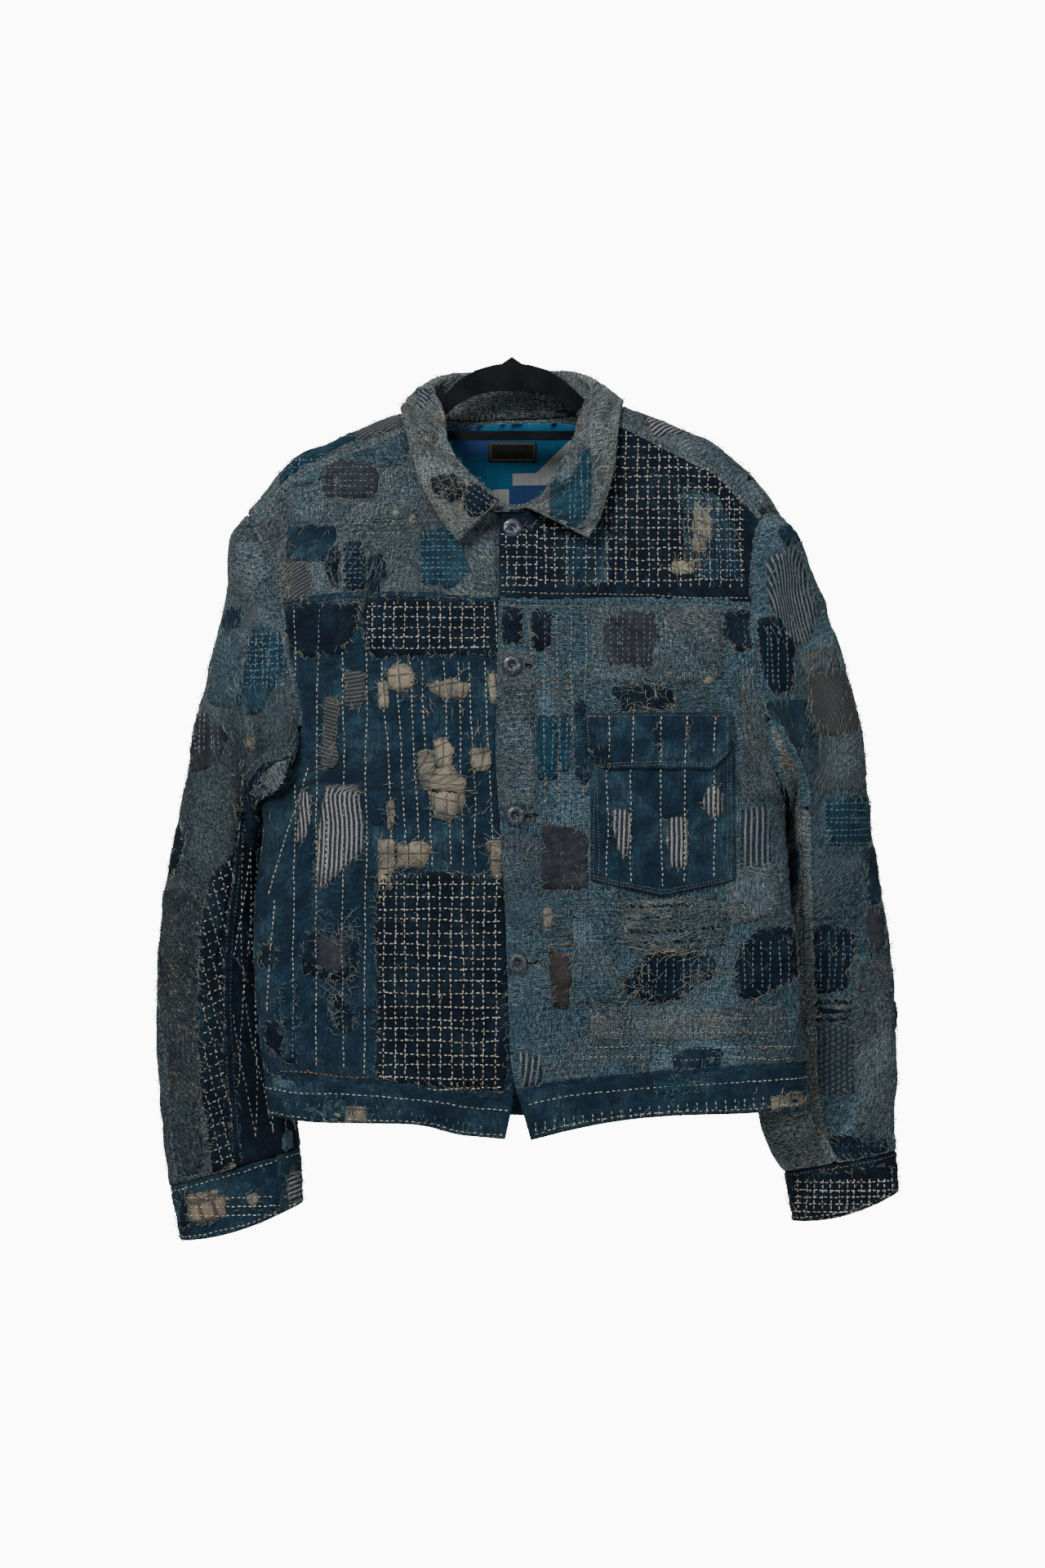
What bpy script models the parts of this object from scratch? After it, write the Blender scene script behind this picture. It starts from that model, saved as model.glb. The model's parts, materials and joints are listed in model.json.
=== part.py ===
"""A patched work jacket hanging on a slim flocked hanger, built as its cut and sewn pieces.

Origin: the top of the hanger's neck, where its hook would go. +X is to the right as the jacket is seen from
the front, +Y runs from front to back and +Z is up. Tables and sizes are in millimetres, and meshes in metres.
"""

import math

import bpy
import numpy as np
from mathutils import Vector

METRES = 0.001
FRONT = -1
BACK = 1
LEFT = -1
RIGHT = 1

# Cloth walls
SHELL = 2.6
LINING = 1.0
BAND = 3.2
SEAM_EASE = 0.2
YOKE_EASE = 0.4
TURN_EASE = 0.9
SLEEVE_EASE = 1.8
ARMPIT_EASE = 1.2
PIT_HANG = 1.5
REST_GAP = 3.6
REST_REACH = 9.0

# Cells of the cloth grids
SIDE_ROWS = 10
ARM_ROWS = 7
PIT_BUNCHING = 1.45
YOKE_ROWS = 4
WRAP_ROWS = 8
SHOULDER_COLUMNS = 8
NECK_COLUMNS = 8
BAND_ROWS = 2
CAP_ROWS = 6
SLEEVE_ROWS = 12
CUFF_ROWS = 2
CUFF_COLUMNS = 28
COLLAR_CELLS = (2, 2, 2, 3, 4, 4, 2, 2, 2, 2, 4, 4, 3, 2, 2, 2)

# Shape of the hanging body
SQUARENESS = 2.6
OPENING_DEPTH = 230.0
ARMPIT = -385.0
CLOSURE_GAP = 1.9
CLOSURE_RAMP = 26.0

# Rings of the body, from the hem to the shoulders: the side seams lie at side_y, and the front and back
# stand front and back away from them.
BODY_COLUMNS = ("z", "centre_x", "half_width", "side_y", "front", "back")
BODY = np.array(
    [
        (-700, 21.0, 232.0, -14, 44, 46),
        (-640, 20.0, 234.5, -15, 46, 48),
        (-574, 15.8, 236.7, -16, 48, 50),
        (-517, 11.5, 236.0, -17, 50, 52),
        (-467, 9.3, 232.4, -17, 52, 54),
        (-410, 11.0, 227.0, -16, 54, 55),
        (-367, 8.0, 229.0, -14, 56, 55),
        (-295, 4.0, 234.0, -10, 56, 54),
        (-216, 2.0, 237.0, -5, 54, 52),
        (-145, 2.5, 238.0, 0, 50, 50),
        (-30, 2.5, 239.0, 0, 50, 50),
    ],
    float,
)

# Top line of the shoulders over the hanger's arms
RIDGE_COLUMNS = ("x", "z", "radius")
RIDGE = np.array(
    [
        (-236, -143, 8),
        (-219, -124, 9),
        (-206, -107, 9),
        (-192, -90.5, 10),
        (-164, -77.5, 11),
        (-139, -67, 12),
        (-114, -57.5, 13),
        (-94, -49.5, 15),
        (-60, -43, 16),
        (0, -38, 16),
        (60, -38.5, 16),
        (92, -42.5, 15),
        (111, -49.5, 13),
        (149, -65, 12),
        (170, -72.5, 11),
        (186, -84, 10),
        (203, -98, 9),
        (218, -113.5, 9),
        (232, -132, 8),
        (241, -146, 8),
    ],
    float,
)

# Long soft folds of the body, each a ridge (or, below zero, a trough) of that height between two points
FOLD_COLUMNS = ("side", "x1", "z1", "x2", "z2", "width", "height")
BODY_FOLDS = (
    (FRONT, -196, -420, -206, -600, 12, 5),
    (FRONT, -176, -400, -182, -560, 11, -5),
    (FRONT, -150, -330, -120, -470, 22, 4),
    (FRONT, -60, -480, -70, -690, 26, 4),
    (FRONT, -20, -560, -26, -690, 16, -4),
    (FRONT, 60, -560, 70, -690, 20, 5),
    (FRONT, 120, -520, 130, -690, 22, -5),
    (FRONT, 175, -480, 190, -690, 22, 4),
    (FRONT, 214, -330, 224, -480, 20, 4),
    (BACK, -170, -330, -185, -690, 26, 6),
    (BACK, -110, -380, -120, -690, 24, -6),
    (BACK, -45, -300, -40, -690, 26, 5),
    (BACK, 30, -420, 35, -690, 24, -5),
    (BACK, 95, -320, 110, -690, 26, 6),
    (BACK, 160, -360, 175, -690, 24, -5),
)

# Seams of the front, as points (x, z), from the armhole to the centre edge or from top to bottom
ARMHOLE_FRONT = {
    LEFT: ((-198, -371), (-187, -350), (-185, -331), (-188, -281), (-194, -258), (-201, -220)),
    RIGHT: ((231, -369), (226, -345), (221, -314), (215, -290), (212, -258), (208.5, -219)),
}
ARMHOLE_YOKE = {
    LEFT: ((-201, -220), (-204, -198), (-208.5, -176), (-225, -146)),
    RIGHT: ((208.5, -219), (209, -198), (209.5, -178), (219, -150)),
}
ARMHOLE_TOP = {LEFT: -232.0, RIGHT: 237.0}
ARMHOLE_BACK = {
    LEFT: ((-216, -178), (-205, -215), (-200, -262), (-202, -320), (-214, -362)),
    RIGHT: ((221, -178), (210, -215), (205, -262), (207, -320), (222, -362)),
}
BACK_YOKE_SEAM_Z = -206.0
YOKE_SEAM = {
    LEFT: ((-201, -220), (-158, -211.5), (-126, -210), (-60, -211.5), (-15, -215), (19, -215)),
    RIGHT: ((208.5, -219), (190, -216), (120, -215), (85, -216), (20, -215), (-11.4, -214.5)),
}
SHOULDER_SEAM_DEPTH = {LEFT: (-17.0, -15.5), RIGHT: (-29.0, -15.5)}
CENTRE_EDGE = {
    LEFT: ((19, -138), (19, -215), (16, -356), (21, -465), (22, -528), (16, -575), (4, -628), (-5.7, -682)),
    RIGHT: ((-11, -137), (-11.4, -214.5), (-12.5, -272), (-13.8, -356), (-10.7, -402), (-7, -465),
            (-4.3, -528), (-2.9, -575), (2, -634), (16.4, -682)),
}
WAIST_SEAM = {
    LEFT: ((-214, -627), (-179, -631), (-124, -632), (-84, -636), (-42, -641), (2, -645)),
    RIGHT: ((254, -618), (214, -619), (172, -621), (110, -626), (49, -631), (3.5, -639)),
}
HEM = {
    LEFT: ((-210, -663), (-179, -667), (-124, -668), (-81, -669), (-42, -678), (-5.7, -681.5)),
    RIGHT: ((253, -655), (222, -658.5), (145, -661), (76, -668), (40, -676), (16.4, -682)),
}
BACK_WAIST_Z = -627.0
BACK_HEM_Z = -666.0

# Neckline as points (x, depth below the top line): below zero on the front, above zero on the back
NECK_POINT = {LEFT: -80.0, RIGHT: 80.0}
NECK_FRONT = {
    LEFT: ((-80, -15.5), (-72, -40), (-58, -65), (-38, -87), (-14, -98.5), (19, -100)),
    RIGHT: ((80, -15.5), (71, -42), (56, -67), (36, -87), (14, -98.5), (-11, -98.5)),
}
NECK_BACK = ((-80, -15.5), (-82, 0), (-77, 7), (-60, 12), (-38, 15), (0, 16), (38, 15), (60, 12), (77, 7),
             (82, 0), (80, -15.5))

# Collar, from the left front end round the back to the right front end. The seam column is its place
# along the neckline; fold is the crest where the stand turns over, and edge is the leaf's outer edge.
COLLAR_COLUMNS_NAMES = ("seam_x", "seam_depth", "fold_x", "fold_y", "fold_z", "edge_x", "edge_y", "edge_z")
COLLAR = np.array(
    [
        (-14, -98.5, -11, -47, -129, -46, -55, -165),
        (-38, -87, -24, -46, -116, -59, -53, -149),
        (-58, -65, -43, -40, -98, -71, -46, -128),
        (-72, -40, -56, -29, -76, -82, -34, -106),
        (-80, -15.5, -61, -14, -44, -92, -19, -68),
        (-82, 0, -70, 3, -25, -97, 4, -44),
        (-77, 7, -56, 20, -15, -88, 30, -50),
        (-38, 15, -32, 29, -12, -50, 41, -62),
        (0, 16, 0, 31, -11, 0, 44, -66),
        (38, 15, 32, 29, -11, 50, 41, -62),
        (77, 7, 56, 20, -13, 88, 30, -48),
        (82, 0, 70, 3, -24, 97, 4, -41),
        (80, -15.5, 62, -14, -43, 93, -19, -62),
        (71, -42, 51, -29, -82, 90, -34, -95),
        (56, -67, 38, -41, -104, 83, -47, -124),
        (36, -87, 26, -48, -124, 74, -54, -149),
        (14, -98.5, 12, -49, -134, 66, -56, -161),
    ],
    float,
)
FOLD_HALF_WIDTH = 3.0
FOLD_DROP = 1.6
LEAF_CROWN = 3.5

# Sleeves: each row's outer and inner edge as seen from the front, its middle depth and its half depth
SLEEVE_COLUMNS = ("outer_x", "outer_z", "inner_x", "inner_z", "middle_y", "half_depth")
SLEEVE = {
    LEFT: np.array(
        [
            (-269.5, -295, -220, -404, 10, 44),
            (-281.5, -349, -223, -442, 16, 42),
            (-293, -413, -223, -478, 21, 40),
            (-304.5, -470, -222, -520, 25, 39),
            (-311.5, -538, -217, -565, 29, 38),
            (-311.5, -595, -209, -606, 33, 37),
            (-311, -649, -198, -640, 36, 36),
            (-305, -696, -191, -671, 36, 34),
            (-300.5, -728, -188, -694, 34, 31),
        ],
        float,
    ),
    RIGHT: np.array(
        [
            (296.5, -295, 245, -408, 10, 44),
            (309, -349, 243, -445, 18, 42),
            (314, -410, 240, -481, 26, 40),
            (324.5, -470, 235, -520, 34, 38),
            (334, -535, 228, -565, 39, 37),
            (339, -595, 221, -610, 42, 36),
            (339, -642, 217, -649, 42, 35),
            (335.5, -674, 224, -684, 38, 33),
            (337.5, -697, 241, -714, 34, 31),
        ],
        float,
    ),
}
CUFF_END = {LEFT: (-291, -771, -186, -740, 32, 27), RIGHT: (340, -730, 248, -754, 32, 27)}
CUFF_SPAN = {LEFT: (135.0, -232.0), RIGHT: (-140.0, -505.0)}
CUFF_LAP = 2.4
SLEEVE_SQUARENESS = 0.88
SLEEVE_TWIST = -35.0
UNDER_SLEEVE_FROM = 128.0
UNDER_SLEEVE_TO = -122.0
FALL_OUT = (0.55, 0.35)
FALL_DOWN = (0.83, -0.35)

# Folds of the sleeves: place round the sleeve in degrees (180 armpit, 90 front, 0 outside, -90 back) and
# along it (0 armhole, 1 end of the cap, 2 cuff seam), their spreads, and how far the cloth moves
SLEEVE_FOLD_COLUMNS = ("angle", "along", "angle_spread", "along_spread", "inward", "forward", "up")
SLEEVE_FOLDS = {
    LEFT: (
        (132, 0.30, 26, 0.16, 13, 20, -5),
        (112, 0.62, 22, 0.20, 0, 7, 0),
        (132, 0.98, 26, 0.13, -2, -9, 0),
        (96, 1.22, 24, 0.05, 0, 4, 0),
        (88, 1.32, 30, 0.04, 0, -4, 0),
        (60, 1.52, 34, 0.04, 0, 3.5, 0),
        (96, 1.66, 34, 0.04, 0, -3.5, 0),
        (-90, 1.10, 40, 0.06, 0, -5, 0),
        (-80, 1.30, 40, 0.06, 0, 4, 0),
        (-100, 1.50, 40, 0.06, 0, -4, 0),
    ),
    RIGHT: (
        (122, 0.55, 22, 0.26, 2, 11, 0),
        (84, 0.78, 15, 0.30, 0, -8, 0),
        (152, 0.62, 18, 0.22, -3, -9, 0),
        (110, 1.06, 22, 0.07, 0, -5, 0),
        (84, 1.20, 30, 0.05, 0, 4, 0),
        (76, 1.44, 34, 0.05, 0, -4, 0),
        (100, 1.58, 34, 0.05, 0, 4, 0),
        (-90, 1.10, 40, 0.06, 0, -5, 0),
        (-80, 1.30, 40, 0.06, 0, 4, 0),
        (-100, 1.50, 40, 0.06, 0, -4, 0),
    ),
}

# Chest pocket and its flap, on the right-hand front as seen: outlines from the top left corner, (x, z)
POCKET = {"left": (67.5, 68.5), "right": (192, 193), "top": -338, "bottom": -457.5, "point": -471}
FLAP = {"left": (62.5, 64.5), "right": (188.5, 188), "top": (-313.5, -312), "side": -346, "bottom": -361}
FLAP_BOTTOM = (75.5, 171)
POCKET_WALL = 1.6
POCKET_CELLS = (8, 7)
FLAP_CELLS = (8, 4)
LIE_GAP = 0.8

# Buttons, (x, z)
BUTTONS = ((0.5, -152), (0.5, -271.5), (3, -401), (5, -528))
BUTTON_PROFILE_COLUMNS = ("radius", "height")
BUTTON_PROFILE = ((2.6, 0.9), (3.6, 2.9), (5.4, 3.1), (7.4, 2.5), (8.4, 1.4), (8.5, 0.5), (8.0, 0.0), (2.6, 0.0))
BUTTON_STEPS = 20
BUTTON_STUD = ((0.0, 1.7), (2.2, 1.7), (2.2, 0.1), (0.0, 0.1))

# Lining of the back and the plain woven tab sewn to it
LINING_INSET = 3.6
LINING_COLUMNS = 18
LINING_ROWS = 12
LINING_TOP_DEPTH = 19.0
LINING_BOTTOM_Z = -622.0
TAB = {"left": -20.5, "right": 21.5, "top": -72.5, "bottom": -90.0, "wall": 0.6, "cells": (4, 2)}

# Hanger
HANGER_WALL = 6.0
ARM_COLUMNS = ("x", "top", "bottom")
ARMS = np.array(
    [
        (0, -6, -30),
        (20, -8, -30.5),
        (38, -15, -36),
        (52, -26, -45),
        (64, -38, -56),
        (80, -51.5, -70),
        (96, -56, -77),
        (130, -69.5, -90),
        (165, -83.5, -101),
        (190, -96, -110),
        (204, -111, -118),
    ],
    float,
)
NECK_NUB = ((-9, -6.3), (0, 0), (9, -6.3))
ARM_STEPS = 26
BAR_TOP = -65.0
BAR_BOTTOM = -73.0
BAR_HALF = 73.2
BAR_WALL = 5.0

COLOURS = {
    "boro": (0.035, 0.062, 0.080),
    "indigo": (0.010, 0.030, 0.055),
    "lining": (0.020, 0.110, 0.250),
    "tab": (0.008, 0.008, 0.010),
    "metal": (0.110, 0.110, 0.130),
    "flock": (0.005, 0.005, 0.006),
}


def column(table, names, name):
    return table[:, names.index(name)]


def smooth(at, knots, values):
    """A smooth curve through the rows of a table: cubic between neighbours, flat-ended beyond them."""
    at = np.asarray(at, float)
    knots = np.asarray(knots, float)
    values = np.asarray(values, float)
    slopes = np.gradient(values, knots, axis=0)
    low = np.clip(np.searchsorted(knots, at, side="right") - 1, 0, len(knots) - 2)
    span = knots[low + 1] - knots[low]
    t = np.clip((at - knots[low]) / span, 0, 1)
    if values.ndim > 1:
        span, t = span[..., None], t[..., None]
    start = (1 + 2 * t) * (1 - t) ** 2 * values[low] + t * (1 - t) ** 2 * span * slopes[low]
    return start + t**2 * (3 - 2 * t) * values[low + 1] - t**2 * (1 - t) * span * slopes[low + 1]


def ease(t):
    t = np.clip(t, 0, 1)
    return t * t * (3 - 2 * t)


def unit(v):
    return v / np.maximum(np.linalg.norm(v, axis=-1, keepdims=True), 1e-9)


def body_row(z, name):
    return smooth(z, column(BODY, BODY_COLUMNS, "z"), column(BODY, BODY_COLUMNS, name))


def top_line(x, name="z"):
    return smooth(x, column(RIDGE, RIDGE_COLUMNS, "x"), column(RIDGE, RIDGE_COLUMNS, name))


def shoulder_x(sine):
    """Where a line down the body, at this sine of its angle, crosses the shoulders."""
    return BODY[-1, 1] + BODY[-1, 2] * sine


def fold_height(x, z, side):
    """Sum of the soft folds, each a bell across its line that fades at its two ends."""
    total = np.zeros(np.broadcast(x, z).shape)
    for fold_side, x1, z1, x2, z2, width, height in BODY_FOLDS:
        length = math.hypot(x2 - x1, z2 - z1)
        along = ((x - x1) * (x2 - x1) + (z - z1) * (z2 - z1)) / length**2
        across = ((x - x1) * (z2 - z1) - (z - z1) * (x2 - x1)) / length
        fade = ease(along / 0.35) * ease((1.15 - along) / 0.3)
        total += np.where(side == fold_side, height * fade * np.exp(-((across / width) ** 2)), 0)
    return total


def closure_lift(x, overlap):
    """How far a front stands out (above zero) or in where the two fronts lap."""
    if overlap == RIGHT:
        return CLOSURE_GAP * ease((52 - x) / CLOSURE_RAMP)
    if overlap == LEFT:
        return -CLOSURE_GAP * ease((x + 44) / CLOSURE_RAMP)
    return 0.0


def body(spot, overlap=0, out=0.0):
    """Points of the body from (angle, root depth). The angle runs from -90 at the left side seam to 90 at
    the right one. The root depth is the square root of the depth below the shoulders' top line, taken as
    below zero on the front, so that rows bunch up where the cloth turns over the hanger."""
    angle, root = spot[..., 0], spot[..., 1]
    side = np.where(root < 0, FRONT, BACK)
    depth = root**2
    sine = np.sin(np.radians(angle))
    top_x = shoulder_x(sine)
    z = top_line(top_x) - depth
    x = body_row(z, "centre_x") + body_row(z, "half_width") * sine
    flat = (1 - np.clip(np.abs(sine), 0, 1) ** SQUARENESS) ** (1 / SQUARENESS)
    opened = np.sin(math.pi / 2 * np.clip(depth / OPENING_DEPTH, 0, 1))
    radius = top_line(top_x, "radius") * flat**0.3
    turned = np.sqrt(1 - (1 - np.clip(depth / np.maximum(radius, 1e-6), 0, 1)) ** 2)
    reach = np.where(side == FRONT, body_row(z, "front"), body_row(z, "back")) * flat
    folds = fold_height(x, z, side) * opened * flat
    away = radius * turned + (reach - radius) * opened + folds
    lifted = closure_lift(x, overlap) + out
    y = body_row(z, "side_y") * opened + side * (away + lifted)
    return np.stack([x, y, z], axis=-1)


def spot_of(x, z, side):
    """The body's (angle, root depth) of a place seen at (x, z) from the front or the back."""
    x, z = np.asarray(x, float), np.asarray(z, float)
    sine = np.clip((x - body_row(z, "centre_x")) / body_row(z, "half_width"), -1, 1)
    depth = np.maximum(top_line(shoulder_x(sine)) - z, 0)
    return np.stack([np.degrees(np.arcsin(sine)), side * np.sqrt(depth)], axis=-1)


def spot_below(x, root):
    """The same from x and a root depth."""
    sine = np.clip((np.asarray(x, float) - BODY[-1, 1]) / BODY[-1, 2], -1, 1)
    return np.stack([np.degrees(np.arcsin(sine)), np.broadcast_to(root, sine.shape)], axis=-1)


def rooted(points):
    """Points given by their signed depths, changed to root depths."""
    return [(x, math.copysign(math.sqrt(abs(depth)), depth)) for x, depth in points]


def spaced(points, cells, to_spot, by_root=False, bunching=1.0):
    """Spots at even steps over the body, along a smooth curve through the given points. Even steps of root
    depth bunch up where the curve crosses the top line."""
    points = np.asarray(points, float)
    steps = np.linalg.norm(np.diff(points, axis=0) * (1, 4), axis=1)
    knots = np.concatenate([[0], np.cumsum(steps)])
    fine = smooth(np.linspace(0, knots[-1], 40 * cells + 1), knots, points)
    track = body(to_spot(fine))
    if by_root:
        track = fine[:, 1:]
    run = np.concatenate([[0], np.cumsum(np.linalg.norm(np.diff(track, axis=0), axis=1))])
    at = np.interp(run[-1] * np.linspace(0, 1, cells + 1) ** bunching, run, np.arange(len(fine)))
    low = np.minimum(at.astype(int), len(fine) - 2)
    return to_spot(fine[low] + (at - low)[:, None] * (fine[low + 1] - fine[low]))


def seam(points, side, cells, bunching=1.0):
    """A seam of the body from its (x, z) points."""
    to_spot = lambda found: spot_of(found[..., 0], found[..., 1], side)
    return spaced(points, cells, to_spot, bunching=bunching)


def seam_below(points, cells, by_root=False):
    """A seam over the shoulders from its (x, signed depth) points."""
    return spaced(rooted(points), cells, lambda found: spot_below(found[..., 0], found[..., 1]), by_root)


def outward(spots):
    """Directions straight out of the body."""
    angle, root = spots[..., 0], spots[..., 1]
    low, high = np.clip(angle - 0.8, -90, 90), np.clip(angle + 0.8, -90, 90)
    across = body(np.stack([high, root], axis=-1)) - body(np.stack([low, root], axis=-1))
    down = body(np.stack([angle, root + 0.05], axis=-1)) - body(np.stack([angle, root - 0.05], axis=-1))
    return unit(np.cross(across, down))


def off_body(spots, overlap, distance):
    """Points straight off the body's middle surface by this distance, outwards if above zero."""
    return body(spots, overlap=overlap) + distance * outward(spots)


def joined(*runs):
    """Runs of points end to end, with each shared point once."""
    return np.concatenate([runs[0]] + [run[1:] for run in runs[1:]])


def patch(bottom, top, left, right):
    """A four-sided piece filled in from its edges: the two ruled surfaces less the corners' one."""
    u = np.linspace(0, 1, len(bottom))[None, :, None]
    v = np.linspace(0, 1, len(left))[:, None, None]
    ruled = (1 - v) * bottom[None] + v * top[None] + (1 - u) * left[:, None] + u * right[:, None]
    corners = (1 - v) * ((1 - u) * bottom[0] + u * bottom[-1]) + v * ((1 - u) * top[0] + u * top[-1])
    return ruled - corners


def matched(edge, heights):
    """A centre edge cut at the same shares of its height as another run of heights."""
    x, z = np.array(edge, float).T
    share = (heights - heights[0]) / (heights[-1] - heights[0])
    wanted = z[0] + share * (z[-1] - z[0])
    order = np.argsort(z)
    return np.stack([smooth(wanted, z[order], x[order]), wanted], axis=-1)


def edge_between(hand, low, high):
    """The part of a front's centre edge between two heights, from low to high."""
    x, z = np.array(CENTRE_EDGE[hand], float).T
    order = np.argsort(z)
    inner = [(a, b) for a, b in zip(x[order], z[order]) if low + 1 < b < high - 1]
    ends = [(float(smooth(h, z[order], x[order])), h) for h in (low, high)]
    return [ends[0], *inner, ends[1]]


def between(run, first, last):
    """A run of spots with its ends set to the corners that other seams share."""
    run = run.copy()
    run[0], run[-1] = first, last
    return run


def body_seams(hand):
    """Every seam line of one side that two pieces share, sampled once so that their edges meet."""
    edge = 90.0 * hand
    top = top_line(shoulder_x(hand))
    pit = {side: np.array([edge, side * math.sqrt(top - ARMPIT)]) for side in (FRONT, BACK)}
    pit_x = float(body(pit[FRONT])[0])
    heights = np.linspace(WAIST_SEAM[hand][0][1], ARMPIT, SIDE_ROWS + 1)
    sides = {
        side: np.stack([np.full(SIDE_ROWS + 1, edge), side * np.sqrt(top - heights)], axis=-1)
        for side in (FRONT, BACK)
    }
    front_x, front_depth = ARMHOLE_YOKE[hand][-1][0], SHOULDER_SEAM_DEPTH[hand][0]
    top_x = ARMHOLE_TOP[hand]
    back_x, back_z = np.array(ARMHOLE_BACK[hand], float).T
    yoke_x = float(smooth(-BACK_YOKE_SEAM_Z, -back_z, back_x))
    yoke_depth = float(top_line(yoke_x)) - BACK_YOKE_SEAM_Z
    low = spot_of(*ARMHOLE_YOKE[hand][0], FRONT)
    tip = spot_below(front_x, -math.sqrt(-front_depth))
    blade = spot_of(yoke_x, BACK_YOKE_SEAM_Z, BACK)
    below = [(x, z) for x, z in ARMHOLE_BACK[hand] if z < BACK_YOKE_SEAM_Z - 5]
    up_from_pit = ((pit_x, ARMPIT), *ARMHOLE_FRONT[hand])
    up_back = [(pit_x, ARMPIT), *below[::-1], (yoke_x, BACK_YOKE_SEAM_Z)]
    up_front = ARMHOLE_YOKE[hand][:-1] + ((front_x, float(top_line(front_x)) + front_depth),)
    over = [(front_x, front_depth), (0.55 * front_x + 0.45 * top_x, 0.45 * front_depth), (top_x, 0.0),
            (0.7 * top_x + 0.3 * yoke_x, 14.0), (yoke_x, yoke_depth)]
    neck = spot_below(NECK_POINT[hand], -math.sqrt(-SHOULDER_SEAM_DEPTH[hand][1]))
    middle = (0.5 * (front_x + NECK_POINT[hand]), 0.5 * (front_depth + SHOULDER_SEAM_DEPTH[hand][1]))
    shoulder = [(front_x, front_depth), middle, (NECK_POINT[hand], SHOULDER_SEAM_DEPTH[hand][1])]
    across = SHOULDER_COLUMNS + NECK_COLUMNS
    return {
        "side_front": sides[FRONT],
        "side_back": sides[BACK],
        "arm_front": between(seam(up_from_pit, FRONT, ARM_ROWS, PIT_BUNCHING), pit[FRONT], low),
        "arm_yoke": between(seam(up_front, FRONT, YOKE_ROWS), low, tip),
        "arm_wrap": between(seam_below(over, WRAP_ROWS, by_root=True), tip, blade),
        "arm_back": between(seam(up_back, BACK, ARM_ROWS, PIT_BUNCHING)[::-1], blade, pit[BACK]),
        "shoulder": between(seam_below(shoulder, SHOULDER_COLUMNS), tip, neck),
        "neck": between(seam_below(NECK_FRONT[hand], NECK_COLUMNS), neck, seam_below(NECK_FRONT[hand], 2)[-1]),
        "yoke": seam(YOKE_SEAM[hand], FRONT, across),
        "waist": seam(WAIST_SEAM[hand], FRONT, across),
        "hem": seam(HEM[hand], FRONT, across),
    }


SEAMS = {hand: body_seams(hand) for hand in (LEFT, RIGHT)}


def heights_of(spots):
    return body(spots)[..., 2]


def front_panel(hand):
    """Spots of a lower front: side seam and armhole on one side, centre edge on the other."""
    seams = SEAMS[hand]
    outer = joined(seams["side_front"], seams["arm_front"])
    outer[0] = seams["waist"][0]
    low, high = heights_of(seams["waist"][-1]), heights_of(seams["yoke"][-1])
    centre = matched(edge_between(hand, float(low), float(high)), heights_of(outer))
    inner = spot_of(centre[:, 0], centre[:, 1], FRONT)
    inner[0], inner[-1] = seams["waist"][-1], seams["yoke"][-1]
    outer[-1] = seams["yoke"][0]
    return patch(seams["waist"], seams["yoke"], outer, inner)


def front_yoke(hand):
    seams = SEAMS[hand]
    top = joined(seams["shoulder"], seams["neck"])
    outer = seams["arm_yoke"].copy()
    outer[0], outer[-1] = seams["yoke"][0], top[0]
    low, high = heights_of(seams["yoke"][-1]), heights_of(seams["neck"][-1])
    centre = matched(edge_between(hand, float(low), float(high)), heights_of(outer))
    inner = spot_of(centre[:, 0], centre[:, 1], FRONT)
    inner[0], inner[-1] = seams["yoke"][-1], top[-1]
    return patch(seams["yoke"], top, outer, inner)


def back_seam():
    """The seam between the back and its yoke, level across the shoulder blades."""
    start, end = SEAMS[LEFT]["arm_wrap"][-1], SEAMS[RIGHT]["arm_wrap"][-1]
    angles = np.linspace(start[0], end[0], 2 * (SHOULDER_COLUMNS + NECK_COLUMNS) + 1)
    x = shoulder_x(np.sin(np.radians(angles)))
    depth = top_line(x) - BACK_YOKE_SEAM_Z
    run = np.stack([angles, np.sqrt(depth)], axis=-1)
    run[0], run[-1] = start, end
    return run


def back_yoke():
    """The back yoke, which wraps over the shoulders to the seams on the front."""
    left, right = SEAMS[LEFT], SEAMS[RIGHT]
    collar_line = between(seam_below(NECK_BACK, 2 * NECK_COLUMNS), left["shoulder"][-1], right["shoulder"][-1])
    top = joined(left["shoulder"], collar_line, right["shoulder"][::-1])
    return patch(back_seam(), top, left["arm_wrap"][::-1], right["arm_wrap"][::-1])


def level_line(z, cells):
    angles = np.linspace(-90, 90, cells + 1)
    x = shoulder_x(np.sin(np.radians(angles)))
    return np.stack([angles, np.sqrt(top_line(x) - z)], axis=-1)


def leaning_line(left_z, middle_z, right_z, cells):
    """A line round the back that meets the fronts' heights at the side seams."""
    angles = np.linspace(-90, 90, cells + 1)
    side_z = np.where(angles < 0, left_z, right_z)
    z = middle_z + (side_z - middle_z) * ease((np.abs(angles) - 30) / 60)
    x = shoulder_x(np.sin(np.radians(angles)))
    return np.stack([angles, np.sqrt(top_line(x) - z)], axis=-1)


def back_waist():
    return leaning_line(WAIST_SEAM[LEFT][0][1], BACK_WAIST_Z, WAIST_SEAM[RIGHT][0][1],
                        2 * (SHOULDER_COLUMNS + NECK_COLUMNS))


def back_hem():
    return leaning_line(HEM[LEFT][0][1], BACK_HEM_Z, HEM[RIGHT][0][1], 2 * (SHOULDER_COLUMNS + NECK_COLUMNS))


def back_panel():
    left, right = SEAMS[LEFT], SEAMS[RIGHT]
    edges = [joined(seams["side_back"], seams["arm_back"][::-1]) for seams in (left, right)]
    return patch(back_waist(), back_seam(), *edges)


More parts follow.
